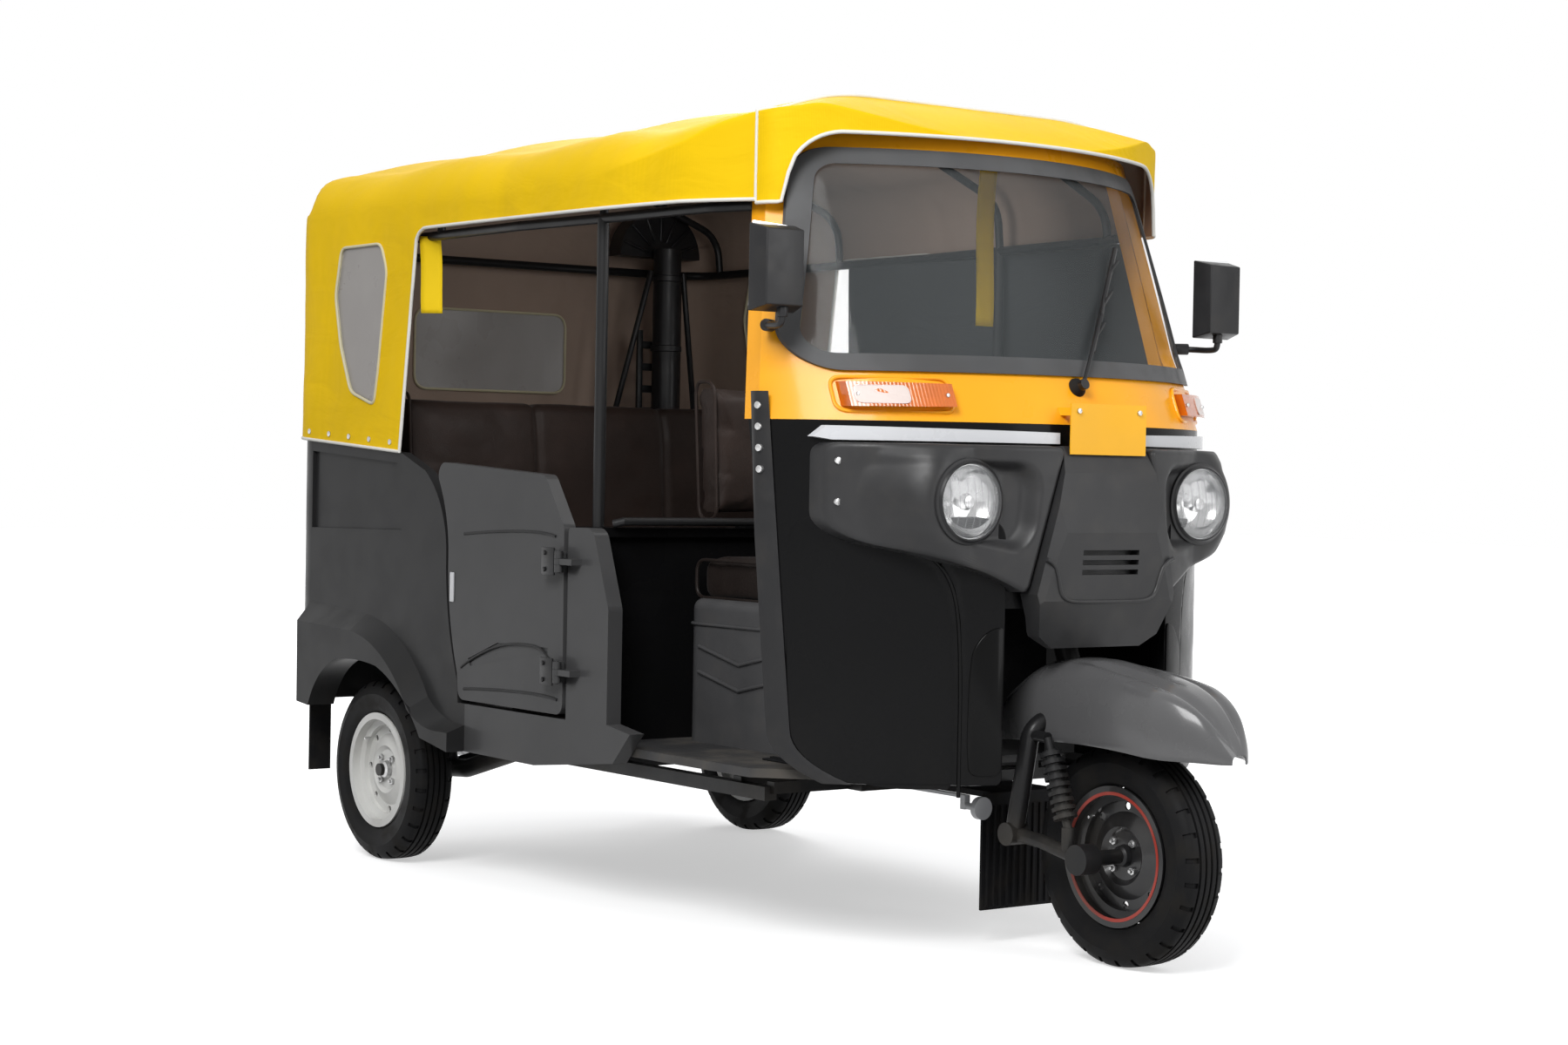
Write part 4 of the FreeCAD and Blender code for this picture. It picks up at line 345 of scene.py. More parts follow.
@dataclass(frozen=True)
class RubberSkin:
    """Vulcanised rubber, dusty in its hollows."""

    colour: Triple
    roughness: float = 0.72
    dust: float = 0.45

    def make(self, name: str) -> bpy.types.Material:
        """Returns the rubber as a material."""
        pad = NodePad(name)
        cloud = pad.grade(pad.noise(18, 6), 0.4, 0.75)
        dusty = pad.math("MULTIPLY", cloud, self.dust)
        tone = pad.grade(pad.noise(5, 2), 0.3, 0.7)
        base = pad.tinted(tone, self.colour, 0.85, 1.15)
        pad.feed("Base Color", pad.blend(dusty, base, scaled(ROAD_DUST, 0.45)))
        pad.feed("Roughness", pad.grade(cloud, 0.0, 1.0, self.roughness - 0.08, self.roughness + 0.12))
        pad.set(Specular_IOR_Level=0.08)
        pad.feed("Normal", pad.bump(pad.noise(700, 3), 0.0004, 0.35))
        return pad.material


@dataclass(frozen=True)
class BareMetal:
    """Machined, plated or cast metal with a film of grime."""

    colour: Triple
    roughness: float = 0.3
    grime: float = 0.3
    cast: float = 0.0

    def make(self, name: str) -> bpy.types.Material:
        """Returns the metal as a material."""
        pad = NodePad(name)
        dirt = pad.math("MULTIPLY", pad.grade(pad.noise(30, 6), 0.42, 0.7), self.grime)
        pad.feed("Base Color", pad.blend(dirt, self.colour, (0.05, 0.045, 0.04)))
        pad.set(Metallic=1.0)
        rough = pad.grade(pad.noise(55, 4), 0.3, 0.7, max(0.04, self.roughness - 0.06), self.roughness + 0.12)
        pad.feed("Roughness", pad.math("ADD", rough, pad.math("MULTIPLY", dirt, 0.5)))
        relief = pad.bump(pad.noise(260, 4), 0.0008, 0.08 + self.cast)
        pad.feed("Normal", relief)
        return pad.material


@dataclass(frozen=True)
class ClearSheet:
    """Glass or clear vinyl: see-through, glossy, with a faint film."""

    colour: Triple
    veil: float = 0.12
    roughness: float = 0.03
    ripple: float = 0.0

    def make(self, name: str) -> bpy.types.Material:
        """Returns the clear sheet as a material."""
        pad = NodePad(name)
        pad.set(Base_Color=(*self.colour, 1.0), IOR=1.5, Specular_IOR_Level=0.35)
        pad.set(Coat_Weight=0.1, Coat_Roughness=0.02)
        film = pad.grade(pad.noise(3.5, 6), 0.4, 0.75, self.veil, self.veil * 1.12)
        pad.feed("Alpha", film)
        pad.feed("Roughness", pad.grade(pad.noise(12, 4), 0.3, 0.7, self.roughness, self.roughness + 0.08))
        if self.ripple:
            pad.feed("Normal", pad.bump(pad.noise(9, 3), 0.006, self.ripple))
        return pad.material


@dataclass(frozen=True)
class LensPlastic:
    """Coloured lens plastic that lets light in, with fine ribs."""

    colour: Triple
    see_through: float = 0.35
    rib: float = 0.006

    def make(self, name: str) -> bpy.types.Material:
        """Returns the lens as a material."""
        pad = NodePad(name)
        tone = pad.grade(pad.noise(20, 3), 0.3, 0.7)
        pad.feed("Base Color", pad.blend(tone, scaled(self.colour, 0.85), self.colour))
        pad.set(Roughness=0.14, Transmission_Weight=self.see_through, IOR=1.49, Coat_Weight=0.6)
        pad.feed("Normal", pad.bump(pad.bands("X", self.rib), 0.0012, 0.35))
        return pad.material


FINISHES: dict[str, object] = {
    "cab_yellow": Enamel((0.90, 0.385, 0.010), 0.30, 0.25, 0.06, 1.2, 0.15),
    "body_grey": Enamel((0.021, 0.021, 0.0215), 0.33, 0.06, 0.07, 0.7, 0.07),
    "shield_black": Enamel((0.0052, 0.0052, 0.0055), 0.24, 0.08, 0.03, 0.6, 0.04),
    "fender_grey": Enamel((0.095, 0.095, 0.097), 0.24, 0.45, 0.04, 0.6, 0.2),
    "door_grey": Enamel((0.058, 0.058, 0.059), 0.33, 0.08, 0.05, 0.7, 0.07),
    # Darker than the shield's own black: painted shade, used for the plate in the shield's pocket and for the
    # painted shadow line along its step.
    "painted_shade_black": Enamel((0.0015, 0.0015, 0.0016), 0.30, 0.12, 0.0, 0.6, 0.05),
    "frame_black": Enamel((0.012, 0.012, 0.0125), 0.42, 0.10, 0.18, 0.7, 0.15),
    "floor_grey": Enamel((0.030, 0.030, 0.031), 0.6, 0.05, 0.35, 1.4),
    "wheel_white": Enamel((0.60, 0.60, 0.58), 0.35, 0.3, 0.25, 0.8),
    "wheel_black": Enamel((0.012, 0.012, 0.013), 0.33, 0.3, 0.12, 0.8),
    "ring_red": Enamel((0.34, 0.035, 0.022), 0.45, 0.2, 0.3, 0.8),
    "plate_yellow": Enamel((0.90, 0.45, 0.010), 0.4, 0.25, 0.05, 1.4),
    "trim_white": Enamel((0.62, 0.63, 0.65), 0.28, 0.4, 0.15, 1.5),
    "bezel_grey": Moulding((0.026, 0.026, 0.027), 0.38, 900, 0.00025, 0.06),
    "seat_box_grey": Moulding((0.060, 0.060, 0.062), 0.44, 900, 0.00025, 0.08),
    "satin_black": Moulding((0.013, 0.013, 0.014), 0.36, 700, 0.0002, 0.05),
    "gasket": RubberSkin((0.085, 0.086, 0.088), 0.5, 0.08),
    "tyre_rubber": RubberSkin((0.0085, 0.0085, 0.009), 0.62, 0.10),
    "flap_rubber": RubberSkin((0.011, 0.011, 0.012), 0.72, 0.15),
    "hood_yellow": CoatedCanvas((0.88, 0.565, 0.003), 0.0014, 0.75, 0.62, 0.08),
    "lining_brown": CoatedCanvas((0.42, 0.32, 0.26), 0.002, 0.35, 0.85, 0.2),
    "curtain_grey": CoatedCanvas((0.050, 0.053, 0.056), 0.0016, 0.6, 0.7, 0.15),
    "strap_yellow": CoatedCanvas((0.82, 0.56, 0.010), 0.0012, 0.2, 0.7, 0.2),
    "piping_white": CoatedCanvas((0.80, 0.79, 0.74), 0.0012, 0.1, 0.6, 0.2),
    "welt_cream": CoatedCanvas((0.66, 0.61, 0.42), 0.0012, 0.1, 0.6, 0.1),
    "signal_pale": Enamel((0.66, 0.56, 0.52), 0.30),
    "seat_brown": Upholstery((0.014, 0.0095, 0.008)),
    "back_brown": Upholstery((0.020, 0.0125, 0.010)),
    "seat_red": Upholstery((0.085, 0.022, 0.016)),
    "bright_metal": BareMetal((0.80, 0.80, 0.80), 0.12, 0.12),
    "bolt_steel": BareMetal((0.55, 0.55, 0.55), 0.28, 0.3),
    "damper_grey": BareMetal((0.30, 0.30, 0.31), 0.4, 0.5),
    "cast_alloy": BareMetal((0.42, 0.42, 0.42), 0.5, 0.55, 0.5),
    "reflector_bowl": BareMetal((0.66, 0.66, 0.66), 0.14, 0.06),
    "mirror_silver": BareMetal((0.92, 0.93, 0.94), 0.03, 0.02),
    "windscreen": ClearSheet((0.30, 0.33, 0.34), 0.07),
    "window_vinyl": ClearSheet((0.34, 0.32, 0.305), 0.80, 0.26, 0.3),
    "lamp_glass": ClearSheet((0.50, 0.51, 0.52), 0.16, 0.03),
    "amber": LensPlastic((0.85, 0.20, 0.010)),
    "red_lens": LensPlastic((0.50, 0.010, 0.008)),
}

_MADE: dict[str, bpy.types.Material] = {}


def finish(name: str) -> bpy.types.Material:
    """Returns a finish's material, which is made at its first use."""
    if name not in _MADE:
        _MADE[name] = FINISHES[name].make(name)
    return _MADE[name]


def clear_selection() -> None:
    """Leaves edit mode and deselects everything."""
    if bpy.context.object and bpy.context.object.mode != "OBJECT":
        bpy.ops.object.mode_set(mode="OBJECT")
    bpy.ops.object.select_all(action="DESELECT")


def pick(piece: Piece) -> None:
    """Makes a piece the only selected and the active one."""
    clear_selection()
    piece.select_set(True)
    bpy.context.view_layer.objects.active = piece


def settle(piece: Piece, name: str) -> Piece:
    """Moves a piece's placement into its mesh and names it."""
    pick(piece)
    bpy.ops.object.transform_apply(location=True, rotation=True, scale=True)
    piece.name = name
    piece.data.name = name
    return piece


def modify(piece: Piece, kind: str, **settings: object) -> None:
    """Adds a modifier to a piece and applies it.

    Args:
        piece: The piece.
        kind: Blender's name of the modifier type.
        **settings: Attributes of the modifier.
    """
    pick(piece)
    modifier = piece.modifiers.new(kind.lower(), kind)
    for key, setting in settings.items():
        setattr(modifier, key, setting)
    bpy.ops.object.modifier_apply(modifier=modifier.name)


def soften(piece: Piece, width: float, segments: int = 2, angle: float = 35) -> None:
    """Rounds a piece's sharp edges and shades it smooth.

    Args:
        piece: The piece.
        width: Width of the rounding in metres; 0 leaves the edges.
        segments: Faces across the rounding.
        angle: Edges sharper than this, in degrees, are rounded.
    """
    pick(piece)
    if width > 0:
        modify(piece, "BEVEL", width=width, segments=segments, limit_method="ANGLE",
               angle_limit=math.radians(angle), use_clamp_overlap=True)
    bpy.ops.object.shade_smooth_by_angle(angle=math.radians(angle))


def block(name: str, low: Sequence[float], high: Sequence[float], rounding: float = 0.002,
          segments: int = 2) -> Piece:
    """Adds a rounded block between two corners.

    Args:
        name: Name of the piece.
        low: Lowest corner in metres.
        high: Highest corner in metres.
        rounding: Radius of its edges.
        segments: Faces across each rounding.

    Returns:
        The piece.
    """
    clear_selection()
    bottom, top = Vector(low), Vector(high)
    bpy.ops.mesh.primitive_cube_add(size=1.0, location=(bottom + top) / 2)
    piece = bpy.context.object
    piece.scale = top - bottom
    settle(piece, name)
    soften(piece, rounding, segments)
    return piece


def rod(name: str, start: Sequence[float], end: Sequence[float], radius: float,
        rounding: float = 0.001, sides: int = 24) -> Piece:
    """Adds a round bar or disc from one point to another."""
    clear_selection()
    first, last = Vector(start), Vector(end)
    turn = (last - first).to_track_quat("Z", "Y").to_euler()
    bpy.ops.mesh.primitive_cylinder_add(vertices=sides, radius=radius, depth=(last - first).length,
                                        location=(first + last) / 2, rotation=turn)
    piece = settle(bpy.context.object, name)
    soften(piece, rounding, 2)
    return piece


def lathe(name: str, profile: Sequence[Pair], centre: Sequence[float],
          axis: Sequence[float], steps: int = 48) -> Piece:
    """Spins a profile about an axis.

    Args:
        name: Name of the piece.
        profile: Pairs of radius and distance along the axis, in metres.
        centre: A point on the axis.
        axis: Direction of the axis.
        steps: Steps round the full turn.

    Returns:
        The piece, closed where the profile meets the axis.
    """
    clear_selection()
    bpy.ops.mesh.primitive_plane_add(size=0.01)
    piece = bpy.context.object
    bpy.ops.object.mode_set(mode="EDIT")
    bpy.ops.mesh.select_mode(type="VERT")
    bpy.ops.mesh.select_all(action="SELECT")
    bpy.ops.mesh.merge(type="CENTER")
    here = Vector((0, 0, 0))
    for number, (radius, along) in enumerate(profile):
        target = Vector((radius, 0, along))
        if number == 0:
            bpy.ops.transform.translate(value=target)
        else:
            bpy.ops.mesh.extrude_region_move(TRANSFORM_OT_translate={"value": target - here})
        here = target
    bpy.ops.mesh.select_all(action="SELECT")
    bpy.ops.mesh.spin(steps=steps, angle=math.tau, center=(0, 0, 0), axis=(0, 0, 1))
    bpy.ops.mesh.select_all(action="SELECT")
    bpy.ops.mesh.remove_doubles(threshold=0.00002)
    bpy.ops.mesh.normals_make_consistent(inside=False)
    bpy.ops.object.mode_set(mode="OBJECT")
    turn = Vector(axis).to_track_quat("Z", "Y").to_matrix().to_4x4()
    piece.data.transform(Matrix.Translation(Vector(centre)) @ turn)
    piece.name = name
    piece.data.name = name
    bpy.ops.object.shade_smooth_by_angle(angle=math.radians(35))
    return piece


def bent_rod(name: str, route: Sequence[Sequence[float]], radius: float, smooth: bool = True,
             sides: int = 4) -> Piece:
    """Adds a round bar that follows a route.

    Args:
        name: Name of the piece.
        route: The points that it follows.
        radius: Radius of the bar.
        smooth: Whether it bends smoothly or runs straight between the points.
        sides: Bevel resolution of the bar.

    Returns:
        The piece, as a mesh.
    """
    clear_selection()
    bpy.ops.curve.primitive_nurbs_path_add()
    piece = bpy.context.object
    line = piece.data
    line.splines.clear()
    spline = line.splines.new("NURBS" if smooth else "POLY")
    spline.points.add(len(route) - 1)
    for point, place in zip(spline.points, route):
        point.co = (*place, 1.0)
    if smooth:
        spline.use_endpoint_u = True
        spline.order_u = 3
        spline.resolution_u = 6
    line.dimensions = "3D"
    line.bevel_depth = radius
    line.bevel_resolution = sides
    line.use_fill_caps = True
    pick(piece)
    bpy.ops.object.convert(target="MESH")
    piece = settle(bpy.context.object, name)
    soften(piece, 0)
    return piece


def merged(name: str, pieces: Sequence[Piece]) -> Piece:
    """Joins pieces into one object."""
    clear_selection()
    for piece in pieces:
        piece.select_set(True)
    bpy.context.view_layer.objects.active = pieces[0]
    if len(pieces) > 1:
        bpy.ops.object.join()
    pieces[0].name = name
    pieces[0].data.name = name
    return pieces[0]


def copied(piece: Piece, name: str, matrix: Matrix) -> Piece:
    """Copies a piece with its own mesh, moved by a matrix."""
    twin = piece.copy()
    twin.data = piece.data.copy()
    twin.name = name
    twin.data.name = name
    twin.data.transform(matrix)
    if matrix.determinant() < 0:
        twin.data.flip_normals()
    bpy.context.scene.collection.objects.link(twin)
    return twin


def dress(piece: Piece, look: str, body: Body = Body.CHASSIS) -> Piece:
    """Gives a new piece its finish and its body, and logs which body it rides on."""
    piece.data.materials.clear()
    piece.data.materials.append(finish(look))
    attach(piece, body.value)
    LOG.info("%s rides on %s", piece.name, body.value)
    return piece


def paired(right: Piece, name: str, look: str) -> None:
    """Adds the named mirror image of a right piece of the chassis and dresses both."""
    left = copied(right, name, MIRROR)
    for piece in (right, left):
        dress(piece, look)


def assembled(name: str, pieces: Sequence[Piece], look: str) -> Piece:
    """Joins pieces into one of the chassis and dresses it."""
    return dress(merged(name, pieces), look)


def from_points(name: str, points: Sequence[Vector], faces: Sequence[tuple[int, ...]],
                weld: float = 0.0) -> Piece:
    """Adds a mesh with its faces turned outward.

    Args:
        name: Name of the piece.
        points: The corners.
        faces: Each face as indices of its corners.
        weld: Points nearer than this, in metres, become one; 0 leaves them.

    Returns:
        The piece.
    """
    mesh = bpy.data.meshes.new(name)
    mesh.from_pydata([tuple(point) for point in points], [], faces)
    piece = bpy.data.objects.new(name, mesh)
    bpy.context.scene.collection.objects.link(piece)
    pick(piece)
    bpy.ops.object.mode_set(mode="EDIT")
    bpy.ops.mesh.select_mode(type="VERT")
    bpy.ops.mesh.select_all(action="SELECT")
    if weld:
        bpy.ops.mesh.remove_doubles(threshold=weld)
    bpy.ops.mesh.normals_make_consistent(inside=False)
    bpy.ops.object.mode_set(mode="OBJECT")
    return piece


def grid_sheet(name: str, rows: Sequence[Sequence[Vector]]) -> Piece:
    """Adds a sheet, one layer thick, through rows of points that are all of one length."""
    across = len(rows[0])
    faces = [(row * across + column, (row + 1) * across + column,
              (row + 1) * across + column + 1, row * across + column + 1)
             for row in range(len(rows) - 1) for column in range(across - 1)]
    piece = from_points(name, [point for row in rows for point in row], faces, weld=0.0002)
    bpy.ops.object.shade_smooth()
    return piece


def prism(name: str, outline: Sequence[Vector], depth: Vector) -> Piece:
    """Adds a prism that carries an outline along a depth."""
    count = len(outline)
    faces = [tuple(range(count)), tuple(reversed(range(count, 2 * count)))]
    faces += [(step, count + step, count + (step + 1) % count, (step + 1) % count) for step in range(count)]
    return from_points(name, [*outline, *(point + depth for point in outline)], faces)


def select_faces(piece: Piece, wanted: Callable[[bpy.types.MeshPolygon], bool]) -> None:
    """Enters edit mode with only the wanted faces of a piece selected."""
    pick(piece)
    bpy.ops.object.mode_set(mode="EDIT")
    bpy.ops.mesh.select_mode(type="FACE")
    bpy.ops.mesh.select_all(action="DESELECT")
    bpy.ops.object.mode_set(mode="OBJECT")
    for face in piece.data.polygons:
        face.select = wanted(face)
    bpy.ops.object.mode_set(mode="EDIT")


def surface(piece: Piece) -> float:
    """Returns a sheet's area in square metres."""
    return sum(face.area for face in piece.data.polygons)


def arc_between(start: Sequence[float], end: Sequence[float], radius: float, steps: int) -> list[Vector]:
    """Returns points on a plan arc that bulges away from the origin.

    Args:
        start: First point (x, y).
        end: Last point.
        radius: Radius of the arc.
        steps: Number of spans.

    Returns:
        The points, both ends among them.
    """
    first, last = Vector(start), Vector(end)
    middle = (first + last) / 2
    half = (last - first).length / 2
    rise = math.sqrt(max(radius * radius - half * half, 0.0))
    across = Vector(((last - first).y, -(last - first).x)).normalized()
    if across.dot(middle) > 0:
        across = -across
    centre = middle + across * rise
    begin = math.atan2(first.y - centre.y, first.x - centre.x)
    finish_angle = math.atan2(last.y - centre.y, last.x - centre.x)
    turn = (finish_angle - begin + math.pi) % math.tau - math.pi
    angles = [begin + turn * step / steps for step in range(steps + 1)]
    return [centre + radius * Vector((math.cos(angle), math.sin(angle))) for angle in angles]


@dataclass
class Studio:
    """The pale studio: floor, backdrop, lamps and the photograph's camera."""

    place: Triple = (-3.7337, -4.9165, 0.9631)
    look: Triple = (0.5978, 0.8014, -0.0191)
    roll: float = 1.053
    focal: float = 62.064
    floor_size: float = 60.0

    def camera(self) -> None:
        """Adds the camera that matches the photograph."""
        forward = Vector(self.look).normalized()
        flat_right = forward.cross(Vector((0, 0, 1))).normalized()
        flat_up = flat_right.cross(forward)
        tilt = math.radians(self.roll)
        right = flat_right * math.cos(tilt) + flat_up * math.sin(tilt)
        up = flat_up * math.cos(tilt) - flat_right * math.sin(tilt)
        turn = Matrix((right, up, -forward)).transposed().to_4x4()
        lens = bpy.data.cameras.new("photo_camera")
        lens.lens = self.focal
        lens.sensor_width = 36.0
        camera = bpy.data.objects.new("photo_camera", lens)
        camera.matrix_world = Matrix.Translation(Vector(self.place)) @ turn
        bpy.context.scene.collection.objects.link(camera)
        bpy.context.scene.camera = camera

    def backdrop(self) -> None:
        """Gives the world a soft sky for light, and plain white where it is seen or mirrored."""
        world = bpy.data.worlds.new("studio_world")
        world.use_nodes = True
        bpy.context.scene.world = world
        tree = world.node_tree
        back = tree.nodes["Background"]
        place, split, ramp, path, sharp, seen, mix = (
            tree.nodes.new(f"ShaderNode{kind}")
            for kind in ("TexCoord", "SeparateXYZ", "ValToRGB", "LightPath", "Math", "Math", "Mix"))
        low, high = ramp.color_ramp.elements
        low.position, low.color = 0.35, (0.20, 0.20, 0.205, 1)
        high.position, high.color = 0.95, (0.80, 0.81, 0.83, 1)
        sharp.operation = seen.operation = "MAXIMUM"
        mix.data_type = "RGBA"
        mix.inputs[7].default_value = (1.0, 1.0, 1.0, 1.0)
        for source, target in ((path.outputs["Is Camera Ray"], sharp.inputs[0]),
                               (path.outputs["Is Glossy Ray"], sharp.inputs[1]),
                               (sharp.outputs[0], seen.inputs[0]),
                               (path.outputs["Is Transmission Ray"], seen.inputs[1]),
                               (place.outputs["Generated"], split.inputs[0]),
                               (split.outputs["Z"], ramp.inputs[0]),
                               (seen.outputs[0], mix.inputs[0]),
                               (ramp.outputs["Color"], mix.inputs[6]),
                               (mix.outputs[2], back.inputs["Color"])):
            tree.links.new(source, target)
        back.inputs["Strength"].default_value = 1.0

    def floor(self) -> None:
        """Adds the pale floor, which keeps the soft shadow under the vehicle."""
        clear_selection()
        bpy.ops.mesh.primitive_plane_add(size=self.floor_size, location=(0, 0, -0.0005))
        ground = bpy.context.object
        ground.name = "studio_floor"
        pad = NodePad("studio_floor")
        pad.set(Roughness=0.9, Specular_IOR_Level=0.1, Emission_Color=(1, 1, 1, 1))
        rays = pad.node("ShaderNodeLightPath").outputs
        sharp = pad.math("MAXIMUM", rays["Is Camera Ray"], rays["Is Glossy Ray"])
        seen = pad.math("MAXIMUM", sharp, rays["Is Transmission Ray"])
        pad.feed("Base Color", pad.blend(seen, (0.34, 0.34, 0.34), (0.80, 0.80, 0.80)))
        across, along = pad.axis("X"), pad.axis("Y")
        away = pad.math("ADD", pad.math("MULTIPLY", across, across), pad.math("MULTIPLY", along, along))
        pad.feed("Emission Strength", pad.math("MULTIPLY", seen, pad.grade(away, 4.0, 60.0, 0.50, 1.0)))
        ground.data.materials.append(pad.material)

    def lamp(self, name: str, place: Sequence[float], aim: Sequence[float], size: float,
             watts: float) -> None:
        """Adds one soft square lamp that looks at a point."""
        light = bpy.data.lights.new(name, "AREA")
        light.energy = watts
        light.shape = "SQUARE"
        light.size = size
        lamp = bpy.data.objects.new(name, light)
        lamp.location = place
        lamp.rotation_euler = (Vector(aim) - Vector(place)).to_track_quat("-Z", "Y").to_euler()
        bpy.context.scene.collection.objects.link(lamp)

    def build(self) -> None:
        """Adds the whole studio."""
        self.camera()
        self.backdrop()
        self.floor()
        self.lamp("key_lamp", (-4.6, -3.4, 4.6), (0, -0.2, 0.9), 2.6, 340)
        self.lamp("fill_lamp", (2.4, -6.5, 3.0), (0, -0.6, 0.8), 4.0, 170)
        self.lamp("back_lamp", (3.5, 5.0, 4.5), (0, 0.2, 1.0), 3.0, 160)
        self.lamp("cabin_lamp", (-0.05, -0.15, 1.60), (0, 0.75, 1.15), 0.5, 3.2)
        bpy.context.scene.view_settings.view_transform = "Standard"


CAD_LOOKS: dict[str, str] = {
    "cab_surround": "cab_yellow", "windscreen_seal": "gasket", "windscreen_glass": "windscreen",
    "leg_shields": "shield_black", "headlamp_bowls": "reflector_bowl",
    "headlamp_lenses": "lamp_glass", "nose_panel": "bezel_grey", "bright_strips": "trim_white",
    "front_plate": "plate_yellow", "front_signals": "amber", "wiper": "satin_black",
    "mirror_glasses": "mirror_silver", "quarter_panel_right": "body_grey",
    "quarter_panel_left": "body_grey", "rear_panel": "body_grey", "engine_hatch": "body_grey",
    "door_post_right": "door_grey", "door_post_left": "door_grey", "half_door_right": "door_grey",
    "half_door_left": "door_grey", "hood_frame": "frame_black",
    "floor_pan": "floor_grey", "driver_seat_box": "seat_box_grey", "bulkhead": "shield_black",
    "bench_base": "shield_black", "dashboard": "bezel_grey", "front_rim": "wheel_black",
    "rear_right_rim": "wheel_white", "rear_left_rim": "wheel_white", "steering_fork": "frame_black",
    "front_damper": "frame_black", "handlebar": "satin_black",
    "chassis_frame": "frame_black", "engine": "cast_alloy", "rear_suspension": "frame_black",
    "rear_dampers": "damper_grey", "tail_lamps": "red_lens", "rear_bumper": "frame_black",
    "mud_flaps": "flap_rubber", "horn": "trim_white", "intake_tower": "satin_black",
}


def dress_frame() -> None:
    """Gives every shown CAD node its finish."""
    for node, look in CAD_LOOKS.items():
        mesh = NODES[node].data
        mesh.materials.clear()
        mesh.materials.append(finish(look))
    LOG.info("%d CAD nodes dressed", len(CAD_LOOKS))


@dataclass
class Hood:
    """The canvas hood: one main sheet with its windows and one short front sheet over the brow."""

    half: float = 0.626
    front_half: float = 0.540
    seam: float = -0.520
    front: float = -0.722
    rear: float = 1.372
    edge: float = 1.515
    opening_top: float = 0.715
    opening_foot: float = 0.782
    thickness: float = 0.002
    bows: tuple[float, ...] = (-0.414, 0.0, 0.660, 1.262)
    sag: float = 0.013
    ridge: float = 0.0016
    pulls: float = 0.0032
    puckers: float = 0.0010
    flat_half: float = 0.49
    crown_radius: float = 1.513
    rear_bow: float = 1.262
    rear_corner: float = 0.516
    rear_radius: float = 0.110
    brow_corner: Pair = (0.516, -0.572)
    brow_top: float = 1.642
    brow_side: float = 1.546
    brow_low: float = 1.499
    brow_flat: float = 0.41
    brow_half: float = 0.506
    brow_turn: float = 0.096

    def across(self, x: float) -> float:
        """Returns the height of the cross section at a distance from the middle."""
        wide = abs(x)
        if wide > self.flat_half:
            return 1.570 + 0.122 * math.sqrt(max(0.0, 1 - ((wide - self.flat_half) / 0.136) ** 2))
        edge = math.sqrt(self.crown_radius ** 2 - self.flat_half ** 2)
        return 1.692 + math.sqrt(self.crown_radius ** 2 - wide ** 2) - edge

    def along(self, y: float) -> float:
        """Returns the height of the long profile at a place."""
        stations = ((self.front, 1.648, 0.0068), (self.seam, 1.739, 0.0104), (-0.206, 1.778, 0.0135),
                    (self.rear_bow, 1.768, 0.0))
        for (low, start, bulge), (high, end, _) in zip(stations, stations[1:]):
            if y <= high:
                share = max(0.0, (y - low) / (high - low))
                return start + (end - start) * share + 4 * bulge * share * (1 - share)
        return 1.660 + 0.108 * math.sqrt(max(0.0, 1 - ((y - self.rear_bow) / self.rear_radius) ** 2))

    def shoulder(self, x: float, y: float) -> float:
        """Returns the height that the large rounding of the rear corners allows."""
        wide = max(0.0, abs(x) - 0.45) / 0.176
        deep = max(0.0, y - 1.235) / 0.137
        return 1.585 + 0.195 * math.sqrt(max(0.0, 1 - wide * wide - deep * deep)) if deep > 0 else 9.0

    def roof(self, x: float, y: float) -> float:
        """Returns the roof's height, the softened lower of section and profile."""
        first, second, soft = self.across(x), min(self.along(y), self.shoulder(x, y)), 0.016
        near = max(soft - abs(first - second), 0.0) / soft
        return min(first, second) - near * near * soft / 4

    def main_outline(self) -> list[Vector]:
        """Returns the main sheet's plan from the right front seam round the rear to the left."""
        half: list[Vector] = []
        half += arc_between((self.front_half, self.seam), (0.608, -0.36), 0.9, 8)[:-1]
        half += arc_between((0.608, -0.36), (self.half, 0.04), 4.0, 20)[:-1]
        for start, length, steps in ((0.04, 0.66, 32), (0.70, 0.09, 12), (0.79, 0.472, 24)):
            half += [Vector((self.half, start + length * step / steps)) for step in range(steps)]
        corner = (self.rear_corner, self.rear)
        half += arc_between((self.half, self.rear_bow), corner, self.rear_radius, 12)[:-1]
        half += [Vector((self.rear_corner * (1 - step / 26), self.rear)) for step in range(27)]
        mirrored = [Vector((-point.x, point.y)) for point in reversed(half[:-1])]
        return half + mirrored

    def front_outline(self) -> list[Vector]:
        """Returns the front sheet's plan from the right seam round the brow to the left seam."""
        corner = arc_between((self.front_half, self.seam), self.brow_corner, 0.06, 8)
        brow = arc_between(self.brow_corner, (-self.brow_corner[0], self.brow_corner[1]), 0.868, 84)
        brow = [point if point.y < 0 else Vector((point.x, -point.y)) for point in brow]
        other = [Vector((-point.x, point.y)) for point in reversed(corner)]
        return corner[:-1] + brow + other[1:]

    def main_foot(self, place: Vector) -> float:
        """Returns the height of the main sheet's lower edge."""
        if place.y <= self.opening_top:
            share = (place.y - self.seam) / (self.opening_top - self.seam)
            turn = max(0.0, 1 - (self.opening_top - place.y) / 0.050)
            return self.edge - 0.010 * (1 - share) ** 1.5 - 0.026 * turn ** 3
        if place.y <= self.opening_foot:
            share = (place.y - self.opening_top) / (self.opening_foot - self.opening_top)
            return self.edge - 0.026 - 0.499 * share
        return 0.990 + 0.040 * (place.y - self.opening_foot) / 0.65

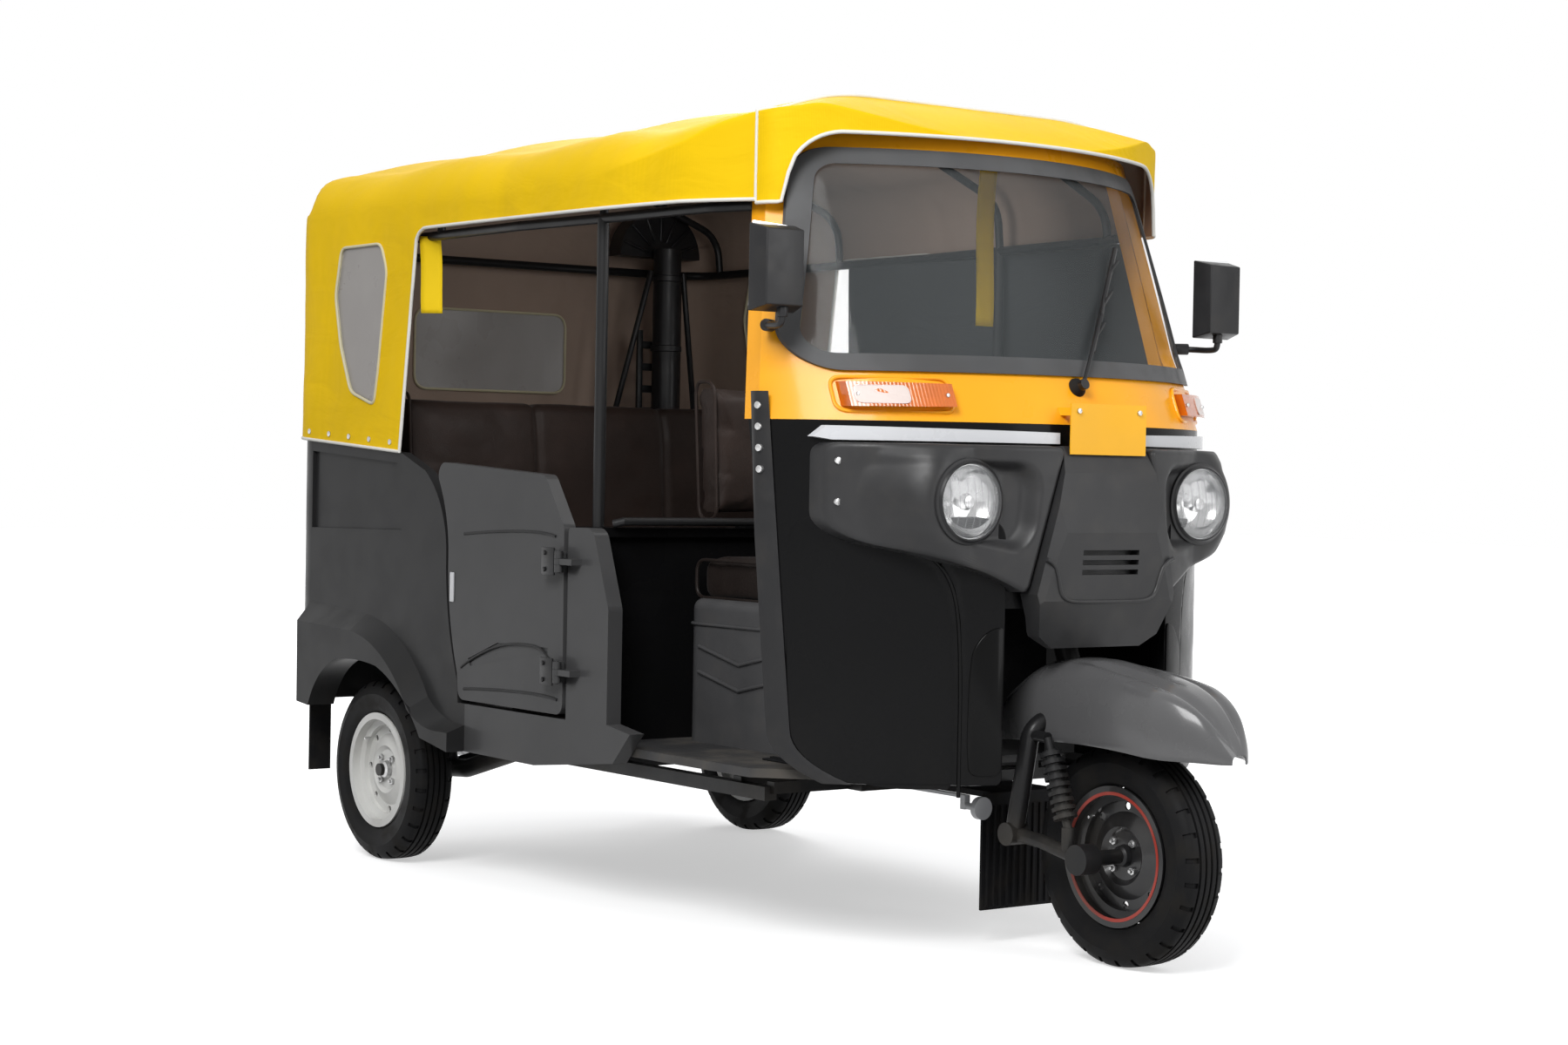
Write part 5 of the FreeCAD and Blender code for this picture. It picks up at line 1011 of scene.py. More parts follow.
    def front_foot(self, place: Vector) -> float:
        """Returns the height of the front sheet's lower edge, the brow over the windscreen."""
        wide = abs(place.x)
        if wide < self.brow_flat:
            return self.brow_top
        if wide < self.brow_half:
            share = (wide - self.brow_flat) / self.brow_turn
            return self.brow_side + self.brow_turn * math.sqrt(1 - share ** 2)
        return max(self.brow_low, self.brow_side - 4.5 * (wide - self.brow_half))

    def rib(self, place: Vector, foot: float, target: Vector, wall_rows: int,
            roof_rows: int) -> list[Vector]:
        """Returns one rib of the sheet, up the wall and over the roof to a target on plan."""
        top = self.roof(place.x, place.y)
        rib = [Vector((place.x, place.y, foot + (top - foot) * row / wall_rows)) for row in range(wall_rows)]
        for row in range(roof_rows + 1):
            spot = place.lerp(target, (row / roof_rows) ** 1.9)
            rib.append(Vector((spot.x, spot.y, self.roof(spot.x, spot.y))))
        return rib

    def relax(self, piece: Piece, repeats: int) -> None:
        """Smooths a sheet's inner points, so that its shoulders round over."""
        mesh = piece.data
        uses: dict[tuple[int, int], int] = {}
        for face in mesh.polygons:
            for key in face.edge_keys:
                uses[key] = uses.get(key, 0) + 1
        rim = {index for key, count in uses.items() if count == 1 for index in key}
        pick(piece)
        bpy.ops.object.mode_set(mode="EDIT")
        bpy.ops.mesh.select_all(action="DESELECT")
        bpy.ops.object.mode_set(mode="OBJECT")
        for vertex in mesh.vertices:
            vertex.select = vertex.index not in rim
        bpy.ops.object.mode_set(mode="EDIT")
        bpy.ops.mesh.select_mode(type="VERT")
        bpy.ops.mesh.vertices_smooth(factor=0.5, repeat=repeats)
        bpy.ops.object.mode_set(mode="OBJECT")

    def hang(self, piece: Piece) -> None:
        """Sags the cloth between its bows and gives it soft pulls and puckers."""
        mesh = piece.data
        shifts = []
        for vertex in mesh.vertices:
            here, facing = vertex.co, vertex.normal
            level = max(0.0, facing.z) ** 2
            shift = 0.0
            for low, high in zip(self.bows, self.bows[1:]):
                if low < here.y < high:
                    shift -= self.sag * level * math.sin(math.pi * (here.y - low) / (high - low)) ** 2
            shift += self.ridge * level * max(math.exp(-((here.y - bow) / 0.016) ** 2) for bow in self.bows)
            pull = noise.noise(Vector((here.x * 5.0, here.y * 11.0, here.z * 5.0)))
            fine = noise.noise(Vector((here.x * 19.0, here.y * 23.0, here.z * 17.0 + 7.0)))
            shift += (self.pulls * pull + self.puckers * fine) * (0.55 + 0.45 * (1 - level))
            if here.z < 1.0 + 0.5 * (here.y < self.opening_top):
                shift *= 0.4
            shifts.append(facing * shift)
        for vertex, shift in zip(mesh.vertices, shifts):
            vertex.co = vertex.co + shift
        mesh.update()

    def thicken(self, piece: Piece) -> None:
        """Gives a sheet its thickness, with the brown lining as its inner face."""
        piece.data.materials.clear()
        piece.data.materials.append(finish("hood_yellow"))
        piece.data.materials.append(finish("lining_brown"))
        modify(piece, "SOLIDIFY", thickness=self.thickness, offset=-1.0, material_offset=1,
               material_offset_rim=0)

    def window_cutters(self) -> list[Piece]:
        """Returns the prisms that open the quarter and rear windows."""
        side = self.window_outline()
        cutters = []
        for sign in (-1, 1):
            cutters.append(prism(f"window_cutter_{sign}", [Vector((sign * 0.54, y, z)) for y, z in side],
                                 Vector((sign * 0.16, 0, 0))))
        cutters.append(prism("window_cutter_rear", [Vector((x, 1.28, z)) for x, z in self.rear_outline()],
                             Vector((0, 0.16, 0))))
        return cutters

    def rear_outline(self) -> list[Pair]:
        """Returns the rear window's outline as (x, z) points with rounded corners."""
        return rounded_loop([(-0.268, 1.163), (0.196, 1.163), (0.196, 1.376), (-0.268, 1.376)], 0.040, 8)

    def panes(self) -> Piece:
        """Returns the clear vinyl panes, each a little larger than its opening and sewn on inside."""
        side = [Vector((0.6215, y, z)) for y, z in self.window_outline()]
        pieces = []
        for sign in (-1, 1):
            route = [Vector((sign * point.x, point.y, point.z)) for point in side]
            pieces.append(prism("pane", route, Vector((sign * 0.0010, 0, 0))))
        rear = [Vector((x, 1.3670, z)) for x, z in self.rear_outline()]
        pieces.append(prism("pane", rear, Vector((0, 0.0010, 0))))
        panes = assembled("window_panes", pieces, "window_vinyl")
        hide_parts("hood_windows")
        return panes

    def window_outline(self) -> list[Pair]:
        """Returns the quarter window's outline as (y, z) points with rounded corners."""
        corners = [(1.092, 1.492), (0.890, 1.492), (0.858, 1.427), (0.895, 1.190), (0.913, 1.104),
                   (1.035, 1.137), (1.090, 1.250), (1.121, 1.375)]
        return rounded_loop(corners, 0.022)

    def sewn(self, name: str, ribs: Sequence[Sequence[Vector]], repeats: int,
             windows: bool) -> tuple[Piece, float]:
        """Makes one sheet of the hood.

        Args:
            name: Name of the piece.
            ribs: The ribs that it follows.
            repeats: How often it is smoothed.
            windows: Whether the windows are cut into it.

        Returns:
            The sheet and its area, measured while it was one layer thick.
        """
        sheet = grid_sheet(name, ribs)
        self.relax(sheet, repeats)
        self.hang(sheet)
        area = surface(sheet)
        self.thicken(sheet)
        for cutter in self.window_cutters() if windows else ():
            modify(sheet, "BOOLEAN", operation="DIFFERENCE", solver="EXACT", object=cutter)
            bpy.data.objects.remove(cutter, do_unlink=True)
        soften(sheet, 0, angle=50)
        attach(sheet, Body.CHASSIS.value)
        return sheet, area

    def build(self) -> None:
        """Adds both sheets, their piping, window welts and snaps."""
        outline = self.main_outline()
        ribs = [self.rib(place, self.main_foot(place),
                         Vector((0.0, min(max(place.y, self.seam), 0.95))), 20, 30) for place in outline]
        main, main_area = self.sewn("hood_canvas", ribs, 3, True)
        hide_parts("hood_main")
        brow_outline = self.front_outline()
        brow_ribs = [self.rib(place, self.front_foot(place), Vector((place.x * 0.94, self.seam)), 10, 14)
                     for place in brow_outline]
        brow, brow_area = self.sewn("hood_brow", brow_ribs, 2, False)
        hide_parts("hood_front")
        trims = self.piping(outline, brow_outline)
        snaps = self.snaps()
        trims[:3] + [snaps, self.panes()]
        LOG.info("hood sheets: %.3f and %.3f square metres", main_area, brow_area)

    def trim(self, name: str, route: Sequence[Vector], radius: float = 0.004) -> Piece:
        """Returns a white piping along points on the hood."""
        line = bent_rod(name, [tuple(point) for point in route], radius, smooth=False, sides=3)
        return dress(line, "piping_white")

    def piping(self, outline: Sequence[Vector], brow_outline: Sequence[Vector]) -> list[Piece]:
        """Returns the white piping on the edges and the seam, and the welts round the windows."""
        side = [place for place in outline if place.y < 1.36 and place.x > 0]
        edge = [Vector((place.x + 0.001, place.y, self.main_foot(place) + 0.002)) for place in side]
        right = self.trim("piping_right", [Vector((-point.x, point.y, point.z)) for point in edge])
        left = self.trim("piping_left", edge)
        welts = []
        for sign in (-1, 1):
            for out in (0.6265, 0.6200):
                route = [Vector((sign * out, y, z)) for y, z in self.window_outline()]
                welts.append(bent_rod(f"welt_{sign}", route + route[:1], 0.0035, smooth=False, sides=3))
        for back in (1.3725, 1.3660):
            rear = [Vector((x, back, z)) for x, z in self.rear_outline()]
            welts.append(bent_rod("welt_rear", rear + rear[:1], 0.0035, smooth=False, sides=3))
        welt = assembled("window_welts", welts, "welt_cream")
        lip = self.trim("piping_brow", [Vector((place.x, place.y - 0.002, self.front_foot(place) + 0.001))
                                        for place in brow_outline])
        seam = [Vector((self.front_half, self.seam, 1.503 + 0.03 * step)) for step in range(6)]
        spans = 60
        for step in range(spans + 1):
            x = self.front_half * (1 - 2 * step / spans)
            seam.append(Vector((x, self.seam, self.roof(x, self.seam) + 0.001)))
        seam += [Vector((-point.x, point.y, point.z)) for point in reversed(seam[:6])]
        return [right, left, welt, lip, self.trim("piping_seam", seam, 0.0035)]

    def snaps(self) -> Piece:
        """Returns the press studs along the hood's lower rear edge."""
        studs = []
        for sign in (-1, 1):
            for step in range(5):
                y = 0.83 + 0.105 * step
                z = self.main_foot(Vector((0, y))) + 0.022
                studs.append(rod(f"stud_{sign}_{step}", (sign * 0.6245, y, z), (sign * 0.6295, y, z),
                                 0.007, 0.002))
        for step in range(9):
            x = -0.44 + 0.11 * step
            studs.append(rod(f"stud_rear_{step}", (x, 1.370, 1.050), (x, 1.3755, 1.050), 0.007, 0.002))
        return assembled("hood_studs", studs, "bolt_steel")


def rounded_loop(corners: Sequence[Pair], radius: float,
                 steps: int = 5) -> list[Pair]:
    """Returns a closed outline whose corners are rounded.

    Args:
        corners: The sharp corners in order.
        radius: How far each rounding reaches along its sides.
        steps: Spans of each rounding.

    Returns:
        The points of the outline.
    """
    loop: list[Pair] = []
    count = len(corners)
    for index in range(count):
        before, here, after = (Vector(corners[(index + shift) % count]) for shift in (-1, 0, 1))
        near = min(radius, (here - before).length / 2.2, (after - here).length / 2.2)
        start = here + (before - here).normalized() * near
        end = here + (after - here).normalized() * near
        for step in range(steps + 1):
            share = step / steps
            spot = start * (1 - share) ** 2 + here * 2 * share * (1 - share) + end * share ** 2
            loop.append((spot.x, spot.y))
    return loop


@dataclass
class SideCurtain:
    """The dark curtain that closes the left side, with its wavy white edge."""

    plane: float = 0.5865
    low: float = 0.852
    high: float = 1.498
    rear: float = 0.614
    columns: int = 110
    levels: int = 40

    def front_edge(self, z: float) -> float:
        """Returns how far forward the curtain reaches at a height."""
        stations = ((0.85, -0.530), (1.125, -0.530), (1.20, -0.558), (1.33, -0.510), (1.50, -0.430))
        for (low, start), (high, end) in zip(stations, stations[1:]):
            if z <= high:
                return start + (end - start) * (z - low) / (high - low)
        return stations[-1][1]

    def point(self, share: float, z: float) -> Vector:
        """Returns a point of the curtain; share runs from its front to its rear edge."""
        front = self.front_edge(z)
        y = front + (self.rear - front) * share
        loose = min(1.0, (self.high - z) / 0.25) * (0.35 + 0.65 * (1 - share) ** 2)
        wave = math.sin(y * 34.0 + 1.3 * math.sin(z * 5.0)) * 0.0065
        wave += math.sin(y * 13.0 + 2.0) * 0.004
        ripple = noise.noise(Vector((y * 6.0, z * 4.0, 3.0))) * 0.004
        return Vector((self.plane + 0.011 * loose + (wave + ripple) * loose, y, z))

    def build(self) -> None:
        """Adds the curtain and its piping."""
        rise = self.high - self.low
        heights = [self.low + rise * level / self.levels for level in range(self.levels + 1)]
        rows = [[self.point(step / self.columns, z) for z in heights] for step in range(self.columns + 1)]
        cloth = grid_sheet("curtain_cloth", rows)
        modify(cloth, "SOLIDIFY", thickness=0.0015, offset=0.0)
        dress(cloth, "curtain_grey")
        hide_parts("side_curtain")
        border = [tuple(point) for point in reversed(rows[0])] + [tuple(row[0]) for row in rows[1:]]
        piping = bent_rod("curtain_piping", border, 0.0045, smooth=False, sides=3)
        dress(piping, "piping_white")


@dataclass
class Strap:
    """A flat webbing strap that hangs from the hood frame."""

    name: str
    top: Triple
    foot: Triple
    width: float = 0.050
    along: Triple = (0.0, 1.0, 0.0)

    def build(self) -> None:
        """Adds the strap with a slight curl."""
        top, foot, side = Vector(self.top), Vector(self.foot), Vector(self.along).normalized()
        rows = []
        for step in range(17):
            share = step / 16
            spot = top.lerp(foot, share)
            out = side.cross(foot - top).normalized() * 0.006 * math.sin(share * 5.0)
            rows.append([spot + out + side * self.width * (column / 4 - 0.5) for column in range(5)])
        strap = grid_sheet(self.name, rows)
        modify(strap, "SOLIDIFY", thickness=0.0014, offset=0.0)
        dress(strap, "strap_yellow")


@dataclass
class Cushion:
    """A stuffed vinyl cushion with piped edges and sewn channels.

    Its outline is the side section, carried across from side to side.
    """

    name: str
    node: str
    half: float
    section: Outline
    look: str
    channels: tuple[float, ...] = ()
    voxel: float = 0.008
    cap: float = 0.012
    shrink: float = 0.010

    def body(self) -> Piece:
        """Returns the slightly smaller block that swells."""
        centre = Vector((sum(y for y, _ in self.section) / len(self.section),
                         sum(z for _, z in self.section) / len(self.section)))
        inner = []
        for y, z in self.section:
            spot = Vector((y, z))
            inner.append(spot + (centre - spot).normalized() * self.shrink)
        loop = rounded_loop([(spot.x, spot.y) for spot in inner], 0.022)
        outline = [Vector((-(self.half - self.shrink), y, z)) for y, z in loop]
        return prism(self.name, outline, Vector((2 * (self.half - self.shrink), 0, 0)))

    def stuffed(self, piece: Piece) -> None:
        """Swells a cushion by a short cloth simulation, held within the cap."""
        modify(piece, "REMESH", mode="VOXEL", voxel_size=self.voxel)
        rest = [vertex.co.copy() for vertex in piece.data.vertices]
        cloth = piece.modifiers.new("stuffing", "CLOTH")
        cloth.settings.use_pressure = True
        cloth.settings.uniform_pressure_force = 4.0
        cloth.settings.effector_weights.gravity = 0.0
        cloth.settings.quality = 4
        for step in range(1, 21):
            bpy.context.scene.frame_set(step)
        pick(piece)
        bpy.ops.object.modifier_apply(modifier=cloth.name)
        bpy.context.scene.frame_set(1)
        for vertex, start in zip(piece.data.vertices, rest):
            shift = vertex.co - start
            if shift.length > self.cap:
                vertex.co = start + shift.normalized() * self.cap
        modify(piece, "SUBSURF", levels=1, render_levels=1)

    def stitched(self, piece: Piece) -> None:
        """Sinks the sewn channels, each at a share of the way across."""
        shifts = []
        for vertex in piece.data.vertices:
            depth = 0.0
            for channel in self.channels:
                off = (vertex.co.x / self.half - channel) * self.half
                depth += 0.0065 * math.exp(-(off / 0.010) ** 2)
            crumple = noise.noise(Vector((vertex.co.x * 9, vertex.co.y * 14, vertex.co.z * 14))) * 0.0022
            shifts.append(vertex.normal * (depth + crumple))
        for vertex, shift in zip(piece.data.vertices, shifts):
            vertex.co = vertex.co - shift
        piece.data.update()

    def held_in(self, piece: Piece) -> None:
        """Keeps the cushion within its seat's box, flat where it rests."""
        low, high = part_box(self.node)
        for vertex in piece.data.vertices:
            for index, (under, over) in enumerate(((0.004, 0.004), (0.004, 0.004), (0.0, 0.006))):
                vertex.co[index] = min(max(vertex.co[index], low[index] - under), high[index] + over)
        piece.data.update()

    def build(self) -> None:
        """Adds the cushion and its piping."""
        piece = self.body()
        self.stuffed(piece)
        self.stitched(piece)
        self.held_in(piece)
        pick(piece)
        bpy.ops.object.shade_smooth()
        dress(piece, self.look)
        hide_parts(self.node)
        welts = []
        loop = rounded_loop(self.section, 0.03)
        for sign in (-1, 1):
            route = [(sign * (self.half - 0.010), y, z) for y, z in loop]
            welts.append(bent_rod(f"{self.name}_welt_{sign}", route + route[:1], 0.004, smooth=False,
                                  sides=3))
        dress(merged(f"{self.name}_piping", welts), self.look)


@dataclass
class Tyre:
    """A tyre with a ribbed and blocked tread, in place of a plain ring."""

    name: str
    node: str
    body: Body
    centre: Triple
    radius: float = 0.218
    bead: float = 0.1405
    blocks: int = 56

    def profile(self) -> list[Pair]:
        """Returns the section as radius and distance across."""
        crown, shoulder = self.radius, self.radius - 0.006
        outer = [(self.bead, -0.040), (self.bead + 0.006, -0.0455), (self.bead + 0.022, -0.0510),
                 (self.bead + 0.042, -0.0528), (self.bead + 0.044, -0.0536), (self.bead + 0.046, -0.0528),
                 (self.radius - 0.016, -0.0490), (shoulder, -0.0415), (crown - 0.002, -0.0360)]
        grooves = []
        for across in (-0.0225, -0.0075, 0.0075, 0.0225):
            for step, depth in ((-0.0028, 0.0), (-0.0018, 0.0055), (0.0018, 0.0055), (0.0028, 0.0)):
                spot = across + step
                grooves.append((crown - 0.9 * spot * spot - depth, spot))
        mirror = [(reach, -across) for reach, across in reversed(outer)]
        return outer + grooves + mirror + [(self.bead, 0.040), (self.bead, -0.040)]

    def on_block(self, face: bpy.types.MeshPolygon) -> bool:
        """Returns whether a face of the ring lies on one of the raised shoulder blocks."""
        place = face.center
        reach = math.hypot(place.y, place.z)
        turn = (math.atan2(place.z, place.y) % math.tau) / math.tau * self.blocks * 2
        side = 0 if place.x > 0 else 1
        shoulder = 0.026 < abs(place.x) < 0.046 and reach > self.radius - 0.014
        return shoulder and (int(turn) + side * 2) % 4 == 0

    def build(self) -> None:
        """Adds the tyre."""
        ring = lathe(self.name, self.profile(), (0, 0, 0), (1, 0, 0), self.blocks * 2)
        select_faces(ring, self.on_block)
        bpy.ops.mesh.inset(thickness=0.0009)
        bpy.ops.mesh.extrude_region_shrink_fatten(TRANSFORM_OT_shrink_fatten={"value": -0.0045})
        bpy.ops.mesh.select_all(action="SELECT")
        bpy.ops.mesh.normals_make_consistent(inside=False)
        bpy.ops.object.mode_set(mode="OBJECT")
        ring.data.transform(Matrix.Translation(Vector(self.centre)))
        bpy.ops.object.shade_smooth_by_angle(angle=math.radians(30))
        dress(ring, "tyre_rubber", self.body)
        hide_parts(self.node)


@dataclass
class WheelDetail:
    """Hub cap, studs, nuts, valve and rim ring on one side of a wheel."""

    name: str
    body: Body
    centre: Triple
    side: int
    face: float
    ring: str | None = None
    studs: int = 4
    stud_circle: float = 0.038

    def at(self, out: float, reach: float = 0.0, angle: float = 0.0) -> Triple:
        """Returns a point at a distance out from the wheel's middle and round its axle."""
        x, y, z = self.centre
        return (x + self.side * out, y + reach * math.cos(angle), z + reach * math.sin(angle))

    def build(self) -> None:
        """Adds the details."""
        metal = []
        fittings = (("stud", 0.013, 0.004, 0.0008, 12), ("nut", 0.007, 0.0085, 0.001, 6))
        for number in range(self.studs):
            angle = math.tau * (number + 0.5) / self.studs
            foot = self.at(self.face, self.stud_circle, angle)
            for kind, height, *shape in fittings:
                metal.append(rod(kind, foot, self.at(self.face + height, self.stud_circle, angle), *shape))
        metal.append(rod("axle_nut", self.at(self.face), self.at(self.face + 0.012), 0.0145, 0.0015, 6))
        metal.append(rod("valve", self.at(self.face - 0.004, 0.112, 0.7),
                         self.at(self.face + 0.022, 0.106, 0.7), 0.003, 0.0005, 12))
        dress(merged(f"{self.name}_studs", metal), "bolt_steel", self.body)
        dome = ((0.0, 0.021), (0.012, 0.019), (0.020, 0.012), (0.0225, 0.001), (0.0, 0.0))
        cap = lathe(f"{self.name}_cap", [(reach, self.face + out) for reach, out in dome], self.centre,
                    (self.side, 0, 0), 40)
        dress(cap, "satin_black" if self.ring else "bolt_steel", self.body)
        if self.ring:
            lip = [(0.121, 0.0462), (0.1275, 0.0468), (0.1275, 0.0450), (0.121, 0.0445)]
            band = lathe(f"{self.name}_ring", lip, self.centre, (self.side, 0, 0), 72)
            dress(band, self.ring, self.body)


@dataclass
class Fender:
    """The front fender's softly lobed shell, which follows the wheel and ends in a rounded bill."""

    tip: float = -1.366
    back: float = -0.771
    half: float = 0.108
    crown: float = 0.600
    low: float = 0.424
    nose_start: float = -1.000
    bill: float = 0.112
    crease: float = 0.013
    bulge: float = 0.010
    stations: int = 60
    columns: int = 48

    def spine(self, share: float) -> Pair:
        """Returns the place and height of the crown line at a share from back to tip."""
        y = self.back + (self.tip - self.back) * share
        if y > self.nose_start:
            rise = (self.back - y) / (self.back - self.nose_start)
            return y, self.crown - 0.075 * (1 - math.sin(min(1.0, rise * 1.4) * math.pi / 2))
        fall = (self.nose_start - y) / (self.nose_start - self.tip)
        return y, self.crown - 0.055 * fall ** 1.2 - self.bill * fall ** 6

    def build(self) -> None:
        """Adds the shell over the front wheel."""
        rows = []
        length = self.back - self.tip
        for step in range(self.stations + 1):
            share = 0.992 * (1 - (1 - step / self.stations) ** 1.6)
            y, top = self.spine(share)
            wide = self.half * max(0.02, min(1.0, (1 - share) * length / 0.15)) ** 0.5
            wide *= 0.80 + 0.20 * min(1.0, share / 0.15)
            foot = min(self.low + 0.012 * math.sin(min(1.0, share / 0.8) * math.pi), top - 0.012)
            lobed = min(1.0, max(0.0, (share - 0.30) / 0.25)) * (1 - eased(share, 0.90, 0.99))
            row = []
            for column in range(self.columns + 1):
                turn = math.pi * column / self.columns
                lobe = math.copysign(abs(math.cos(turn)) ** 0.66, math.cos(turn))
                lift = math.sin(turn) ** 0.60
                crease = self.crease * lobed * math.exp(-((abs(lobe) - 0.42) / 0.09) ** 2)
                bulge = self.bulge * lobed * math.exp(-((abs(lobe) - 0.78) / 0.16) ** 2)
                height = foot + (top - foot) * lift - crease + bulge
                row.append(Vector((-wide * lobe * (1 + bulge), y, height)))
            rows.append(row)
        shell = grid_sheet("front_fender_shell", rows)
        modify(shell, "SOLIDIFY", thickness=0.004, offset=-1.0)
        modify(shell, "SUBSURF", levels=1, render_levels=1)
        soften(shell, 0, angle=60)
        dress(shell, "fender_grey", Body.STEERING)
        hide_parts("front_fender")


@dataclass
class Mirrors:
    """Both mirrors: rounded housings on bent arms with a pivot boot."""

    across: float = 0.605
    front: float = -0.690
    height: float = 1.360

    def build(self) -> None:
        """Adds the right mirror and its mirror image."""
        clear_selection()
        bpy.ops.mesh.primitive_cube_add(size=1.0, location=(0, 0, 0))
        shell = bpy.context.object
        shell.scale = (0.112, 0.046, 0.172)
        settle(shell, "mirror_shell")
        select_faces(shell, lambda face: face.normal.y < -0.9)
        bpy.ops.transform.resize(value=(0.80, 1.0, 0.86))
        select_faces(shell, lambda face: face.normal.y > 0.9)
        bpy.ops.mesh.inset(thickness=0.006)
        bpy.ops.mesh.extrude_region_move(TRANSFORM_OT_translate={"value": (0, -0.009, 0)})
        bpy.ops.object.mode_set(mode="OBJECT")
        soften(shell, 0.0105, 4, 40)
        place = Vector((-self.across, self.front + 0.001, self.height - 0.002))
        shell.data.transform(Matrix.Translation(place))
        bends = [(-0.556, -0.604, 1.250), (-0.586, -0.622, 1.250), (-0.599, -0.680, 1.246),
                 (-0.599, -0.698, 1.252), (-0.599, -0.696, 1.285)]
        arm = bent_rod("mirror_arm", bends, 0.0068, True, 5)
        root = rod("mirror_root", (-0.558, -0.605, 1.250), (-0.584, -0.621, 1.250), 0.0125, 0.002)
        nut = rod("mirror_nut", (-0.599, -0.696, 1.262), (-0.599, -0.696, 1.282), 0.0115, 0.002, 6)
        right = merged("mirror_right", [shell, arm, root, nut])
        paired(right, "mirror_left", "satin_black")
        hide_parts("mirror_housings")


CAB_RADIUS = 0.681
CAB_FRONT = 0.955
CAB_AXIS = 0.274


def skin_y(radius: float, front: float, x: float) -> float:
    """Returns how far forward an upright curved skin stands at a distance across."""
    return -front + radius - math.sqrt(radius * radius - x * x)


def cab_y(x: float, ahead: float = 0.0) -> float:
    """Returns how far forward the cab's curved skin stands, or a place that much ahead of it."""
    return skin_y(CAB_RADIUS, CAB_FRONT + ahead, x)


def band_y(x: float, z: float, lift: float = 0.0) -> float:
    """Returns how far forward the raked windscreen surround stands, or a skin lifted off it."""
    share = (z - 1.065) / 0.590
    return skin_y(CAB_RADIUS + share * 0.019 + lift, CAB_FRONT - share * 0.255 + lift, x)


def eased(value: float, low: float, high: float) -> float:
    """Returns a smooth share of the way from a low to a high value."""
    share = max(0.0, min(1.0, (value - low) / (high - low)))
    return share * share * (3 - 2 * share)


@dataclass
class MouldedPanel:
    """A sculpted panel over the curved front: a net over its outline with a rounded rim."""

    name: str
    corners: Outline
    proud: float
    corner: float = 0.026
    rim: float = 0.011
    columns: int = 96
    rows: int = 80

    def depth(self, x: float, z: float) -> float:
        """Returns how far the face stands ahead of the cab's skin; panels with a relief change it."""
        return self.proud

    def edge_distance(self, loop: Sequence[Pair], x: float, z: float) -> float:
        """Returns the distance from a point to the nearest part of an outline."""
        best = 9.0
        for (ax, az), (bx, bz) in zip(loop, loop[1:] + loop[:1]):
            dx, dz = bx - ax, bz - az
            along = max(0.0, min(1.0, ((x - ax) * dx + (z - az) * dz) / (dx * dx + dz * dz + 1e-12)))
            best = min(best, math.hypot(x - ax - along * dx, z - az - along * dz))
        return best

    def span(self, loop: Sequence[Pair], z: float) -> Pair:
        """Returns the outline's ends at a height."""
        hits = []
        for (ax, az), (bx, bz) in zip(loop, loop[1:] + loop[:1]):
            if (az - z) * (bz - z) < 0:
                hits.append(ax + (bx - ax) * (z - az) / (bz - az))
        return min(hits), max(hits)

    def net(self) -> list[list[Vector]]:
        """Returns the rows of points of the face and its rim."""
        loop = rounded_loop(list(self.corners), self.corner, 6)
        low, high = min(z for _, z in loop), max(z for _, z in loop)
        rows = []
        for level in range(self.rows + 1):
            z = low + (high - low) * (0.5 - 0.49995 * math.cos(math.pi * level / self.rows))
            left, right = self.span(loop, z)
            row = []
            for column in range(self.columns + 1):
                x = left + (right - left) * (0.5 - 0.5 * math.cos(math.pi * column / self.columns))
                away = self.edge_distance(loop, x, z)
                fall = self.rim * (1 - math.sqrt(max(0.0, 1 - (1 - min(1.0, away / self.rim)) ** 2)))
                wall = max(0.0, self.proud - self.rim - 0.001) * (1 - min(1.0, away / 0.0016))
                row.append(Vector((x, skin_y(CAB_RADIUS, CAB_FRONT + self.depth(x, z) - fall - wall, x), z)))
            rows.append(row)
        return rows

    def face(self) -> Piece:
        """Returns the panel as a thin shell."""
        piece = grid_sheet(self.name, self.net())
        forward = piece.data.polygons[len(piece.data.polygons) // 2].normal.y < 0
        modify(piece, "SOLIDIFY", thickness=0.003, offset=-1.0 if forward else 1.0)
        soften(piece, 0, angle=50)
        return piece


